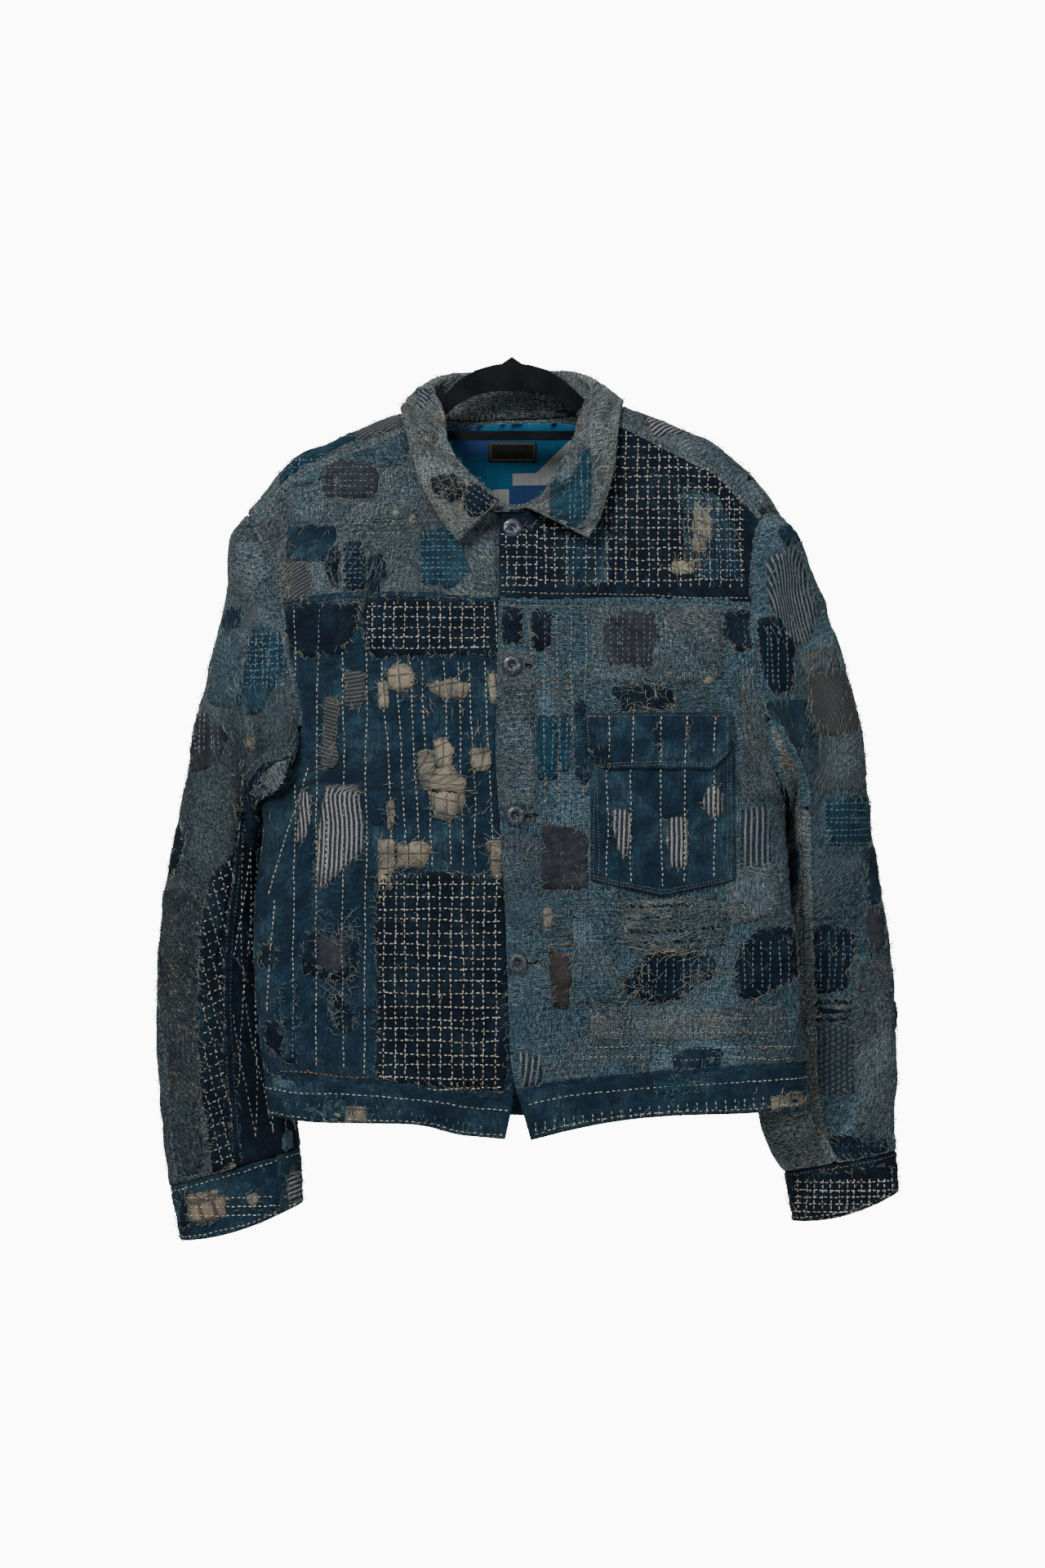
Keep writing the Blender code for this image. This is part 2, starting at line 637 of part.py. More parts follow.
def waistband():
    """The band round the hem, from one centre edge round the back to the other."""
    rows = []
    for share in np.linspace(0, 1, BAND_ROWS + 1):
        runs = []
        for hand in (LEFT, RIGHT):
            spots = SEAMS[hand]["hem"] * (1 - share) + SEAMS[hand]["waist"] * share
            runs.append(body(spots, overlap=hand))
        spots = back_hem() * (1 - share) + back_waist() * share
        rows.append(joined(runs[0][::-1], body(spots), runs[1]))
    return np.array(rows)


def eased(grid, bottom=SEAM_EASE, top=SEAM_EASE, left=SEAM_EASE, right=SEAM_EASE):
    """The grid with its outer rows and columns drawn in a little, so that pieces don't touch at seams."""
    grid = grid.copy()
    before = grid.copy()
    grid[0] += np.expand_dims(np.broadcast_to(bottom, grid.shape[1]), -1) * unit(before[1] - before[0])
    grid[-1] += np.expand_dims(np.broadcast_to(top, grid.shape[1]), -1) * unit(before[-2] - before[-1])
    grid[:, 0] += np.expand_dims(np.broadcast_to(left, grid.shape[0]), -1) * unit(before[:, 1] - before[:, 0])
    grid[:, -1] += np.expand_dims(np.broadcast_to(right, grid.shape[0]), -1) * unit(before[:, -2] - before[:, -1])
    return grid


def seated(points, spots, toward, along, extra=0.0):
    """Edge points of a piece that leaves a seam of the body at an angle, moved off the body's wall so that the
    two don't touch: more, the further the piece turns back over the wall."""
    normal = outward(spots)
    heading = unit(toward - points)
    normal = normal * np.where((normal * heading).sum(axis=1, keepdims=True) < 0, -1, 1)
    run = unit(np.gradient(points, axis=0))
    onward = unit(np.cross(normal, run))
    onward = onward * np.where((onward * along).sum(axis=1, keepdims=True) < 0, -1, 1)
    cosine = (heading * onward).sum(axis=1, keepdims=True)
    rise = SHELL / 2 * (1 - cosine) + (0.5 + extra) * np.sqrt(np.maximum(1 - cosine**2, 0))
    return points + (0.3 + extra) * heading + rise * normal


def armhole(hand):
    """Spots and points of the sleeve's seam and their angles round the sleeve, from the armpit up the front
    and down the back."""
    seams = SEAMS[hand]
    front = joined(seams["arm_front"], seams["arm_yoke"])
    spots = joined(front, seams["arm_wrap"], seams["arm_back"])
    points = body(spots)
    top = ARM_ROWS + YOKE_ROWS + WRAP_ROWS // 2
    run = np.concatenate([[0], np.cumsum(np.linalg.norm(np.diff(points, axis=0), axis=1))])
    angles = np.where(
        np.arange(len(points)) <= top,
        180 * (1 - run / run[top]),
        -180 * (run - run[top]) / (run[-1] - run[top]),
    )
    return spots, points, angles


def ring(rows, at, angles):
    """Points round a sleeve at a place along its table: a flattened ellipse between its two edges."""
    values = smooth(np.asarray(at, float), np.arange(len(rows), dtype=float), rows)
    outer_x, outer_z, inner_x, inner_z, middle_y, half_depth = np.moveaxis(values, -1, 0)
    cosine, sine = np.cos(np.radians(angles)), np.sin(np.radians(angles))
    wide = np.sign(cosine) * np.abs(cosine) ** SLEEVE_SQUARENESS
    deep = np.sign(sine) * np.abs(sine) ** SLEEVE_SQUARENESS
    x = (outer_x + inner_x) / 2 + (outer_x - inner_x) / 2 * wide
    z = (outer_z + inner_z) / 2 + (outer_z - inner_z) / 2 * wide
    return np.stack([x, middle_y - half_depth * deep, z], axis=-1)


def sleeve_folds(hand, points, angles, along):
    moved = points.copy()
    for angle, place, wide, long, inward, forward, up in SLEEVE_FOLDS[hand]:
        apart = (angles - angle + 180) % 360 - 180
        bell = np.exp(-((apart / wide) ** 2) - ((along - place) / long) ** 2)
        fade = ease(along / 0.12) * ease((2 - along) / 0.08)
        moved += (bell * fade)[..., None] * np.array([-hand * inward, -forward, up])
    return moved


def sleeve(hand):
    """Rings of a sleeve from the armhole to the cuff seam. The cap is a cubic from each point of the armhole
    to its point on the first ring of the table, and the rest follows the table with a slow twist."""
    rows = SLEEVE[hand]
    spots, start, angles = armhole(hand)
    low = angles + SLEEVE_TWIST * 0.25
    end = ring(rows, np.zeros(len(angles)), low)
    chord = np.linalg.norm(end - start, axis=1, keepdims=True)
    face = np.sin(np.radians(angles)) ** 2
    away = unit(np.stack([
        hand * (FALL_OUT[0] + FALL_OUT[1] * face), np.zeros(len(angles)), -(FALL_DOWN[0] + FALL_DOWN[1] * face)
    ], axis=-1))
    onward = unit(ring(rows, np.full(len(angles), 0.1), low) - end)
    rings, places = [], []
    for t in np.linspace(0, 1, CAP_ROWS + 1):
        blend = (1 + 2 * t) * (1 - t) ** 2 * start + t * t * (3 - 2 * t) * end
        rings.append(blend + t * (1 - t) ** 2 * chord * away - t * t * (1 - t) * chord * onward)
        places.append(t)
    for t in np.linspace(0, 1, SLEEVE_ROWS + 1)[1:]:
        turned = angles + SLEEVE_TWIST * (0.25 + 0.75 * ease(t))
        rings.append(ring(rows, np.full(len(angles), t * (len(rows) - 1)), turned))
        places.append(1 + t)
    rings, places = np.array(rings), np.array(places)[:, None]
    rings = sleeve_folds(hand, rings, np.broadcast_to(angles, rings.shape[:2]), places)
    extra = 0.4 + ARMPIT_EASE * np.clip(-np.cos(np.radians(angles)), 0, 1)[:, None] ** 6
    below = np.clip(-np.cos(np.radians(angles)), 0, 1)[:, None] ** 4 * np.array([hand, 0, 0])
    rings[1:4] += PIT_HANG * below * np.array([1.0, 0.8, 0.4])[:, None, None]
    for _ in range(3):
        rings = cleared(rings, REST_GAP)
        rings[0] = seated(start, spots, rings[1], start.mean(axis=0) - start, extra)
    return rings, angles


def cuff(hand):
    """A band round the sleeve's end whose last stretch laps over its first."""
    rows = np.array([SLEEVE[hand][-1], CUFF_END[hand]])
    first, last = CUFF_SPAN[hand]
    angles = np.linspace(first, last, CUFF_COLUMNS + 1)
    share = np.linspace(0, 1, CUFF_COLUMNS + 1)
    grown = CUFF_LAP * (ease(share / 0.16) * 0.5 + ease((share - 0.80) / 0.16) * 0.5 - 0.5)
    lines = []
    for place in np.linspace(1, 0, CUFF_ROWS + 1):
        row = rows[0] * (1 - place) + rows[1] * place
        points = ring(np.array([row, row]), np.zeros(len(angles)), angles)
        middle = np.array([(row[0] + row[2]) / 2, row[4], (row[1] + row[3]) / 2])
        lines.append(points + grown[:, None] * unit(points - middle))
    lines = np.array(lines)
    fall = unit(lines[0] - lines[-1])
    lines[-1] += fall * 0.4
    return lines


def collar():
    """The collar's wall: up the stand from the neckline, over the crest and down the leaf."""
    rows = np.arange(len(COLLAR), dtype=float)
    at = np.interp(np.arange(sum(COLLAR_CELLS) + 1), np.concatenate([[0], np.cumsum(COLLAR_CELLS)]), rows)
    seam_x, seam_depth, *rest = smooth(at, rows, COLLAR).T
    fold, edge = np.array(rest[:3]).T, np.array(rest[3:]).T
    spots = spot_below(seam_x, np.sign(seam_depth) * np.sqrt(np.abs(seam_depth)))
    root = body(spots)
    root = seated(root, spots, fold, (0.0, -8.0, -60.0) - root, extra=0.6)
    front = ease((-seam_depth - 20) / 50)
    root[:, 1] -= np.where(seam_x > 0, CLOSURE_GAP, -CLOSURE_GAP) * front * (np.abs(seam_x) < 45)
    base = (root + edge) / 2
    up = unit(fold - base)
    across = edge - root
    out = unit(across - (across * up).sum(axis=1, keepdims=True) * up)
    leaf = edge - fold
    line = [
        root,
        root + (fold - root) * 0.5 - out * 0.6,
        fold - out * FOLD_HALF_WIDTH - up * FOLD_DROP * 2.2,
        fold - out * FOLD_HALF_WIDTH * 0.6 - up * FOLD_DROP * 0.4,
        fold + out * FOLD_HALF_WIDTH * 0.6 - up * FOLD_DROP * 0.4,
        fold + out * FOLD_HALF_WIDTH - up * FOLD_DROP * 2.2,
        fold + leaf * 0.38 + out * LEAF_CROWN,
        fold + leaf * 0.70 + out * LEAF_CROWN * 0.7,
        edge,
    ]
    line = np.array(line)
    for _ in range(2):
        line[-4:] = cleared(line[-4:], REST_GAP)
    return line


def panels():
    """Every panel of the body as a grid of points, by name."""
    grids = {}
    for word, hand in (("right", LEFT), ("left", RIGHT)):
        grids["front_" + word] = body(front_panel(hand), overlap=hand)
        grids["yoke_front_" + word] = body(front_yoke(hand), overlap=hand)
    grids["back_yoke"] = body(back_yoke())
    grids["back"] = body(back_panel())
    grids["waistband"] = waistband()
    return grids


def finer(grid, times):
    """The grid with each cell cut evenly into smaller ones."""
    for axis in (0, 1):
        grid = np.moveaxis(grid, axis, 0)
        at = np.linspace(0, len(grid) - 1, times * (len(grid) - 1) + 1)
        low = np.minimum(at.astype(int), len(grid) - 2)
        grid = grid[low] + (at - low)[:, None, None] * (grid[low + 1] - grid[low])
        grid = np.moveaxis(grid, 0, axis)
    return grid


def panel_samples():
    """Points spread over the panels, with the directions out of the body."""
    points, normals = [], []
    for grid in panels().values():
        fine = finer(grid, 4)
        straight = unit(np.cross(np.gradient(fine, axis=1), np.gradient(fine, axis=0)))
        middle = np.array([4.0, 0.0, 0.0]) + fine * (0, 0, 1)
        middle[..., 2] = np.minimum(middle[..., 2], -90)
        straight *= np.where(((fine - middle) * straight).sum(axis=-1, keepdims=True) < 0, -1, 1)
        points.append(fine.reshape(-1, 3))
        normals.append(straight.reshape(-1, 3))
    return np.concatenate(points), np.concatenate(normals)


PANEL_SAMPLES = panel_samples()


def clear_of_panels(points, gap, depth=25.0):
    """The points, with those nearer than the gap to the outside of a panel moved straight off it."""
    samples, normals = PANEL_SAMPLES
    flat = points.reshape(-1, 3).copy()
    for index, point in enumerate(flat):
        apart = point - samples
        far = (apart**2).sum(axis=1)
        nearest = np.argmin(far)
        rise = apart[nearest] @ normals[nearest]
        beside = far[nearest] - rise**2
        if -depth < rise < gap and beside < REST_REACH**2:
            flat[index] = point + (gap - rise) * normals[nearest]
    return flat.reshape(points.shape)


def cleared(grid, gap):
    """The grid, all but its first row moved so that the cells too, not only the points, clear the panels."""
    fine = finer(grid, 3)
    moved = clear_of_panels(fine, gap) - fine
    far = np.linalg.norm(moved, axis=-1)
    result = grid.copy()
    for row in range(1, len(grid)):
        for col in range(grid.shape[1]):
            near = np.s_[max(3 * row - 2, 0) : 3 * row + 3, max(3 * col - 2, 0) : 3 * col + 3]
            most = np.unravel_index(np.argmax(far[near]), far[near].shape)
            result[row, col] += moved[near][most]
    return result


def laid_on_front(x, z, out):
    return off_body(spot_of(x, z, FRONT), RIGHT, out)


def pocket():
    """The patch pocket, which ends in a shallow point, a wall's gap above the front."""
    columns, rows = POCKET_CELLS
    u, v = np.meshgrid(np.linspace(0, 1, columns + 1), np.linspace(0, 1, rows + 1))
    left = POCKET["left"][0] * v + POCKET["left"][1] * (1 - v)
    right = POCKET["right"][0] * v + POCKET["right"][1] * (1 - v)
    x = left + (right - left) * u
    low = POCKET["bottom"] + (POCKET["point"] - POCKET["bottom"]) * (1 - np.abs(2 * u - 1))
    z = low + (POCKET["top"] - low) * v
    return laid_on_front(x, z, SHELL / 2 + LIE_GAP + POCKET_WALL / 2)


def flap():
    """The pocket's flap with its two cut corners, lying on the pocket."""
    columns, rows = FLAP_CELLS
    u, v = np.meshgrid(np.linspace(0, 1, columns + 1), np.linspace(0, 1, rows + 1))
    left = FLAP["left"][0] * v + FLAP["left"][1] * (1 - v)
    right = FLAP["right"][0] * v + FLAP["right"][1] * (1 - v)
    x = left + (right - left) * u
    corner = (FLAP_BOTTOM[0] - FLAP["left"][1]) / (FLAP["right"][1] - FLAP["left"][1])
    rise = np.clip(1 - np.minimum(u, 1 - u) / corner, 0, 1)
    low = FLAP["bottom"] + (FLAP["side"] - FLAP["bottom"]) * rise
    high = FLAP["top"][0] + (FLAP["top"][1] - FLAP["top"][0]) * u
    z = low + (high - low) * v
    return laid_on_front(x, z, SHELL / 2 + 2 * LIE_GAP + POCKET_WALL * 1.5)


def lining_point(x, z, inset):
    return off_body(spot_of(x, z, BACK), 0, -inset)


def lining():
    """The back's lining, hung just inside the yoke and the back."""
    u, v = np.meshgrid(np.linspace(-1, 1, LINING_COLUMNS + 1), np.linspace(0, 1, LINING_ROWS + 1))
    x = 4 + 186 * np.sin(u * math.pi / 2 * 0.85) / math.sin(math.pi / 2 * 0.85)
    high = top_line(x) - LINING_TOP_DEPTH
    z = LINING_BOTTOM_Z + (high - LINING_BOTTOM_Z) * v
    return lining_point(x, z, LINING_INSET)


def tab():
    columns, rows = TAB["cells"]
    u, v = np.meshgrid(np.linspace(0, 1, columns + 1), np.linspace(0, 1, rows + 1))
    x = TAB["left"] + (TAB["right"] - TAB["left"]) * u
    z = TAB["bottom"] + (TAB["top"] - TAB["bottom"]) * v
    return lining_point(x, z, LINING_INSET + LINING / 2 + TAB["wall"] / 2 + 0.5)


def clear_scene():
    for obj in list(bpy.data.objects):
        bpy.data.objects.remove(obj, do_unlink=True)


def material(name, roughness=0.9, metallic=0.0):
    made = bpy.data.materials.get(name)
    if made is None:
        made = bpy.data.materials.new(name)
        made.use_nodes = True
        shader = made.node_tree.nodes["Principled BSDF"]
        shader.inputs["Base Color"].default_value = (*COLOURS[name], 1)
        shader.inputs["Roughness"].default_value = roughness
        shader.inputs["Metallic"].default_value = metallic
    return made


def place(collection, name, mesh, surface):
    obj = bpy.data.objects.new(name, mesh)
    mesh.materials.append(surface)
    collection.objects.link(obj)
    return obj


def cloth(collection, name, grid, wall, surface, even=False):
    """A piece of cloth: its middle surface as a grid of quads, made a wall with Solidify."""
    rows, columns = grid.shape[:2]
    index = np.arange(rows * columns).reshape(rows, columns)
    faces = np.stack([index[:-1, :-1], index[:-1, 1:], index[1:, 1:], index[1:, :-1]], axis=-1)
    mesh = bpy.data.meshes.new(name)
    mesh.from_pydata((grid.reshape(-1, 3) * METRES).tolist(), [], faces.reshape(-1, 4).tolist())
    mesh.shade_smooth()
    obj = place(collection, name, mesh, surface)
    thick = obj.modifiers.new("wall", "SOLIDIFY")
    thick.thickness = wall * METRES
    thick.offset = 0
    thick.use_even_offset = even
    return obj


def turned(collection, name, profile, surface, steps=BUTTON_STEPS, closed=True):
    """A turned piece: its profile spun once round the object's Z with a Screw modifier."""
    mesh = bpy.data.meshes.new(name)
    points = [(radius * METRES, 0, height * METRES) for radius, height in profile]
    edges = [(i, i + 1) for i in range(len(points) - 1)]
    if closed:
        edges.append((len(points) - 1, 0))
    mesh.from_pydata(points, edges, [])
    obj = place(collection, name, mesh, surface)
    spin = obj.modifiers.new("spin", "SCREW")
    spin.axis = "Z"
    spin.steps = spin.render_steps = steps
    spin.use_merge_vertices = True
    spin.merge_threshold = 0.00001
    spin.use_normal_calculate = True
    return obj


def lay_button(obj, x, z):
    """Turns a button to face forward and sets its back just off the outer front."""
    spot = spot_of(np.array([x, x, x + 5, x]), np.array([z, z - 5, z, z + 5]), FRONT)
    points = body(spot, overlap=RIGHT, out=SHELL / 2 + 0.6)
    facing = unit(np.cross(points[2] - points[0], points[3] - points[1]))
    obj.rotation_mode = "QUATERNION"
    obj.rotation_quaternion = Vector(facing).to_track_quat("Z", "Y")
    obj.location = points[0] * METRES


def buttons(collection):
    """Four ring buttons, each a dished ring with a stud in its middle joined by a thin floor."""
    profile = [(0.0, 1.6), (1.4, 1.6), (2.0, 0.7), *BUTTON_PROFILE[:-1], (0.0, 0.0)]
    for number, (x, z) in enumerate(BUTTONS, 1):
        obj = turned(collection, f"button_{number}", profile, material("metal", 0.45, 0.8), closed=False)
        lay_button(obj, x, z)


def outline_plate(collection, name, outline, wall, surface):
    """A flat outline in the XZ plane, extruded to its thickness along Y."""
    curve = bpy.data.curves.new(name, "CURVE")
    curve.dimensions = "2D"
    curve.fill_mode = "BOTH"
    curve.extrude = wall / 2 * METRES
    spline = curve.splines.new("POLY")
    spline.points.add(len(outline) - 1)
    for point, (x, z) in zip(spline.points, outline):
        point.co = (x * METRES, z * METRES, 0, 1)
    spline.use_cyclic_u = True
    obj = bpy.data.objects.new(name, curve)
    curve.materials.append(surface)
    collection.objects.link(obj)
    obj.rotation_euler = (math.pi / 2, 0, 0)
    return obj


def hanger(collection):
    """Slim flocked arms with their pointed neck, and the bar that joins them."""
    at = np.linspace(0, ARMS[-1, 0], ARM_STEPS // 2 + 1)
    top = smooth(at, ARMS[:, 0], ARMS[:, 1])
    bottom = smooth(at, ARMS[:, 0], ARMS[:, 2])
    upper = [(-x, z) for x, z in zip(at[::-1], top[::-1])][:-1]
    upper += list(NECK_NUB) + list(zip(at, top))[1:]
    lower = list(zip(at[::-1], bottom[::-1])) + [(-x, z) for x, z in zip(at, bottom)][1:]
    surface = material("flock", 1.0)
    outline_plate(collection, "hanger_arms", [(float(x), float(z)) for x, z in upper + lower], HANGER_WALL, surface)
    bar = [(-BAR_HALF, BAR_TOP), (BAR_HALF, BAR_TOP), (BAR_HALF, BAR_BOTTOM), (-BAR_HALF, BAR_BOTTOM)]
    outline_plate(collection, "hanger_bar", bar, BAR_WALL, surface)


def sleeves(collection):
    for hand, word in ((LEFT, "right"), (RIGHT, "left")):
        grid, angles = sleeve(hand)
        under_from = int(np.argmin(np.abs(angles - UNDER_SLEEVE_FROM)))
        under_to = int(np.argmin(np.abs(angles - UNDER_SLEEVE_TO)))
        upper = grid[:, under_from : under_to + 1]
        under = np.concatenate([grid[:, under_to:], grid[:, 1 : under_from + 1]], axis=1)
        boro, indigo = material("boro"), material("indigo")
        ease_by = {"bottom": 0, "left": SLEEVE_EASE, "right": SLEEVE_EASE}
        cloth(collection, f"sleeve_upper_{word}", eased(upper, **ease_by), SHELL, boro)
        cloth(collection, f"sleeve_under_{word}", eased(under, **ease_by), SHELL, indigo)
        cloth(collection, f"cuff_{word}", cuff(hand), BAND, indigo)


def main():
    clear_scene()
    collection = bpy.data.collections.new("boro_jacket")
    bpy.context.scene.collection.children.link(collection)
    boro, indigo = material("boro"), material("indigo")
    dark = ("front_right", "yoke_front_left", "waistband")
    sides = {"front_right": (1, 0), "front_left": (1, 0), "back": (1, 1)}
    for name, grid in panels().items():
        left, right = (TURN_EASE if side else SEAM_EASE for side in sides.get(name, (0, 0)))
        top = YOKE_EASE if "yoke" in name or name == "back" else SEAM_EASE
        wall = BAND if name == "waistband" else SHELL
        grid = eased(grid, bottom=top, top=top, left=left, right=right)
        cloth(collection, name, grid, wall, indigo if name in dark else boro)
    sleeves(collection)
    cloth(collection, "collar", collar(), SHELL, boro)
    cloth(collection, "pocket", pocket(), POCKET_WALL, indigo)
    cloth(collection, "pocket_flap", flap(), POCKET_WALL, indigo)
    cloth(collection, "back_lining", lining(), LINING, material("lining"))
    cloth(collection, "neck_tab", tab(), TAB["wall"], material("tab"))
    buttons(collection)
    hanger(collection)


main()
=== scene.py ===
# %% [markdown]
# # A patched work jacket on a slim hanger
#
# The jacket is cotton work cloth that has been mended for years with rags of indigo cloth, held down by
# running stitches and darned over until the ground itself is mostly thread. The CAD solids give each cut
# piece its place. This scene gives each one a finer shell, its patches, its stitches and its loose threads.

# %% Set up
import json
import math

import bpy
import numpy as np
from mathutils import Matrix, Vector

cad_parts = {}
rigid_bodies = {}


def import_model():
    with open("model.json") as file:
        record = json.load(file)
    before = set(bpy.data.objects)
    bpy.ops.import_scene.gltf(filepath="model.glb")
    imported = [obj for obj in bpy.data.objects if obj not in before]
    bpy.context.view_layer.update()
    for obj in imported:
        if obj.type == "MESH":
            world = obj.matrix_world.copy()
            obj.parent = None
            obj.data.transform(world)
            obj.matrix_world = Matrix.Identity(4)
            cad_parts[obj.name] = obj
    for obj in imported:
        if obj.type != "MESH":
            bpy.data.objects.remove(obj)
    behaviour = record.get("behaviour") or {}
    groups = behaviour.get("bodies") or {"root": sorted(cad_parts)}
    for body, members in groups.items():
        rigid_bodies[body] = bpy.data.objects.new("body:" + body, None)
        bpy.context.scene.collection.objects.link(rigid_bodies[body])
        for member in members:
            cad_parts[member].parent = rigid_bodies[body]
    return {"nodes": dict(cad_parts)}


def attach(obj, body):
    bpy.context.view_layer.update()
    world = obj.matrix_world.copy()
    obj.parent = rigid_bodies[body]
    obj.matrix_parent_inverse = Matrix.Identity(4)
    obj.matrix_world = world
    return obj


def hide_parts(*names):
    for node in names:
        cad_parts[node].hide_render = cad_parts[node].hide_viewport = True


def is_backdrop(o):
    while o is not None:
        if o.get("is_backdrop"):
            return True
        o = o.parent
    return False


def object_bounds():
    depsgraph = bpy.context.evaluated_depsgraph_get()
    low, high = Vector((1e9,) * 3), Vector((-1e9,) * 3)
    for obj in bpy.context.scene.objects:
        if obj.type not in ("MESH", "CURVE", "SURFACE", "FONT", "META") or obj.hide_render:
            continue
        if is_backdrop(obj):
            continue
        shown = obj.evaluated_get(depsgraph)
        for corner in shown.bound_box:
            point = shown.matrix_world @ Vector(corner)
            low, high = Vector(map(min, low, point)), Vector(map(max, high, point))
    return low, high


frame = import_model()
CAD_BOX = [list(corner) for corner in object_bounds()]
METRES = 0.001
FRONT, BACK = -1, 1
LEFT, RIGHT = -1, 1
draw = np.random.default_rng(7)
print("CAD box in metres:", np.round(CAD_BOX, 4).tolist())

# %% [markdown]
# ## The shape of the hanging jacket
#
# The shell follows the same named sizes as the solids, in millimetres: rings of the body from hem to
# shoulder, the top line over the hanger, and each long fold as one bell across a line. A sculpted mesh
# would drift away from the solids, so the shape is worked out from the tables again and only made finer.

# %% Sizes of the cloth and its cells
SHELL = 2.6
LINING = 1.0
BAND = 3.2
SEAM_EASE = 0.2
YOKE_EASE = 0.4
TURN_EASE = 0.9
SLEEVE_EASE = 1.8
ARMPIT_EASE = 1.2
PIT_HANG = 1.5
REST_GAP = 3.6
REST_REACH = 9.0
SIDE_ROWS = 10
ARM_ROWS = 7
PIT_BUNCHING = 1.45
YOKE_ROWS = 4
WRAP_ROWS = 8
SHOULDER_COLUMNS = 8
NECK_COLUMNS = 8
BAND_ROWS = 2
CAP_ROWS = 6
SLEEVE_ROWS = 12
CUFF_ROWS = 2
CUFF_COLUMNS = 28
COLLAR_CELLS = (2, 2, 2, 3, 4, 4, 2, 2, 2, 2, 4, 4, 3, 2, 2, 2)
SQUARENESS = 2.6
OPENING_DEPTH = 230.0
ARMPIT = -385.0
CLOSURE_GAP = 1.9
CLOSURE_RAMP = 26.0

# %% Rings of the body, the top line and the folds
BODY_COLUMNS = ("z", "centre_x", "half_width", "side_y", "front", "back")
BODY = np.array(
    [
        (-700, 21.0, 232.0, -14, 44, 46),
        (-640, 20.0, 234.5, -15, 46, 48),
        (-574, 15.8, 236.7, -16, 48, 50),
        (-517, 11.5, 236.0, -17, 50, 52),
        (-467, 9.3, 232.4, -17, 52, 54),
        (-410, 11.0, 227.0, -16, 54, 55),
        (-367, 8.0, 229.0, -14, 56, 55),
        (-295, 4.0, 234.0, -10, 56, 54),
        (-216, 2.0, 237.0, -5, 54, 52),
        (-145, 2.5, 238.0, 0, 50, 50),
        (-30, 2.5, 239.0, 0, 50, 50),
    ],
    float,
)
RIDGE_COLUMNS = ("x", "z", "radius")
RIDGE = np.array(
    [
        (-236, -143, 8),
        (-219, -124, 9),
        (-206, -107, 9),
        (-192, -90.5, 10),
        (-164, -77.5, 11),
        (-139, -67, 12),
        (-114, -57.5, 13),
        (-94, -49.5, 15),
        (-60, -43, 16),
        (0, -38, 16),
        (60, -38.5, 16),
        (92, -42.5, 15),
        (111, -49.5, 13),
        (149, -65, 12),
        (170, -72.5, 11),
        (186, -84, 10),
        (203, -98, 9),
        (218, -113.5, 9),
        (232, -132, 8),
        (241, -146, 8),
    ],
    float,
)
# Columns: side, x1, z1, x2, z2, width, height
BODY_FOLDS = (
    (FRONT, -196, -420, -206, -600, 12, 5),
    (FRONT, -176, -400, -182, -560, 11, -5),
    (FRONT, -150, -330, -120, -470, 22, 4),
    (FRONT, -60, -480, -70, -690, 26, 4),
    (FRONT, -20, -560, -26, -690, 16, -4),
    (FRONT, 60, -560, 70, -690, 20, 5),
    (FRONT, 120, -520, 130, -690, 22, -5),
    (FRONT, 175, -480, 190, -690, 22, 4),
    (FRONT, 214, -330, 224, -480, 20, 4),
    (BACK, -170, -330, -185, -690, 26, 6),
    (BACK, -110, -380, -120, -690, 24, -6),
    (BACK, -45, -300, -40, -690, 26, 5),
    (BACK, 30, -420, 35, -690, 24, -5),
    (BACK, 95, -320, 110, -690, 26, 6),
    (BACK, 160, -360, 175, -690, 24, -5),
)


# %% The body as one surface of an angle and a depth
def column(table, names, name):
    return table[:, names.index(name)]


def smooth(at, knots, values):
    """A smooth curve through the rows of a table: cubic between neighbours, flat-ended beyond them."""
    at = np.asarray(at, float)
    knots = np.asarray(knots, float)
    values = np.asarray(values, float)
    slopes = np.gradient(values, knots, axis=0)
    low = np.clip(np.searchsorted(knots, at, side="right") - 1, 0, len(knots) - 2)
    span = knots[low + 1] - knots[low]
    t = np.clip((at - knots[low]) / span, 0, 1)
    if values.ndim > 1:
        span, t = span[..., None], t[..., None]
    start = (1 + 2 * t) * (1 - t) ** 2 * values[low] + t * (1 - t) ** 2 * span * slopes[low]
    return start + t**2 * (3 - 2 * t) * values[low + 1] - t**2 * (1 - t) * span * slopes[low + 1]


def ease(t):
    t = np.clip(t, 0, 1)
    return t * t * (3 - 2 * t)


def unit(v):
    return v / np.maximum(np.linalg.norm(v, axis=-1, keepdims=True), 1e-9)


def body_row(z, name):
    return smooth(z, column(BODY, BODY_COLUMNS, "z"), column(BODY, BODY_COLUMNS, name))


def top_line(x, name="z"):
    return smooth(x, column(RIDGE, RIDGE_COLUMNS, "x"), column(RIDGE, RIDGE_COLUMNS, name))


def shoulder_x(sine):
    """Where a line down the body, at this sine of its angle, crosses the shoulders."""
    return BODY[-1, 1] + BODY[-1, 2] * sine


def fold_height(x, z, side):
    """Sum of the soft folds, each a bell across its line that fades at its two ends."""
    total = np.zeros(np.broadcast(x, z).shape)
    for fold_side, x1, z1, x2, z2, width, height in BODY_FOLDS:
        length = math.hypot(x2 - x1, z2 - z1)
        along = ((x - x1) * (x2 - x1) + (z - z1) * (z2 - z1)) / length**2
        across = ((x - x1) * (z2 - z1) - (z - z1) * (x2 - x1)) / length
        fade = ease(along / 0.35) * ease((1.15 - along) / 0.3)
        total += np.where(side == fold_side, height * fade * np.exp(-((across / width) ** 2)), 0)
    return total


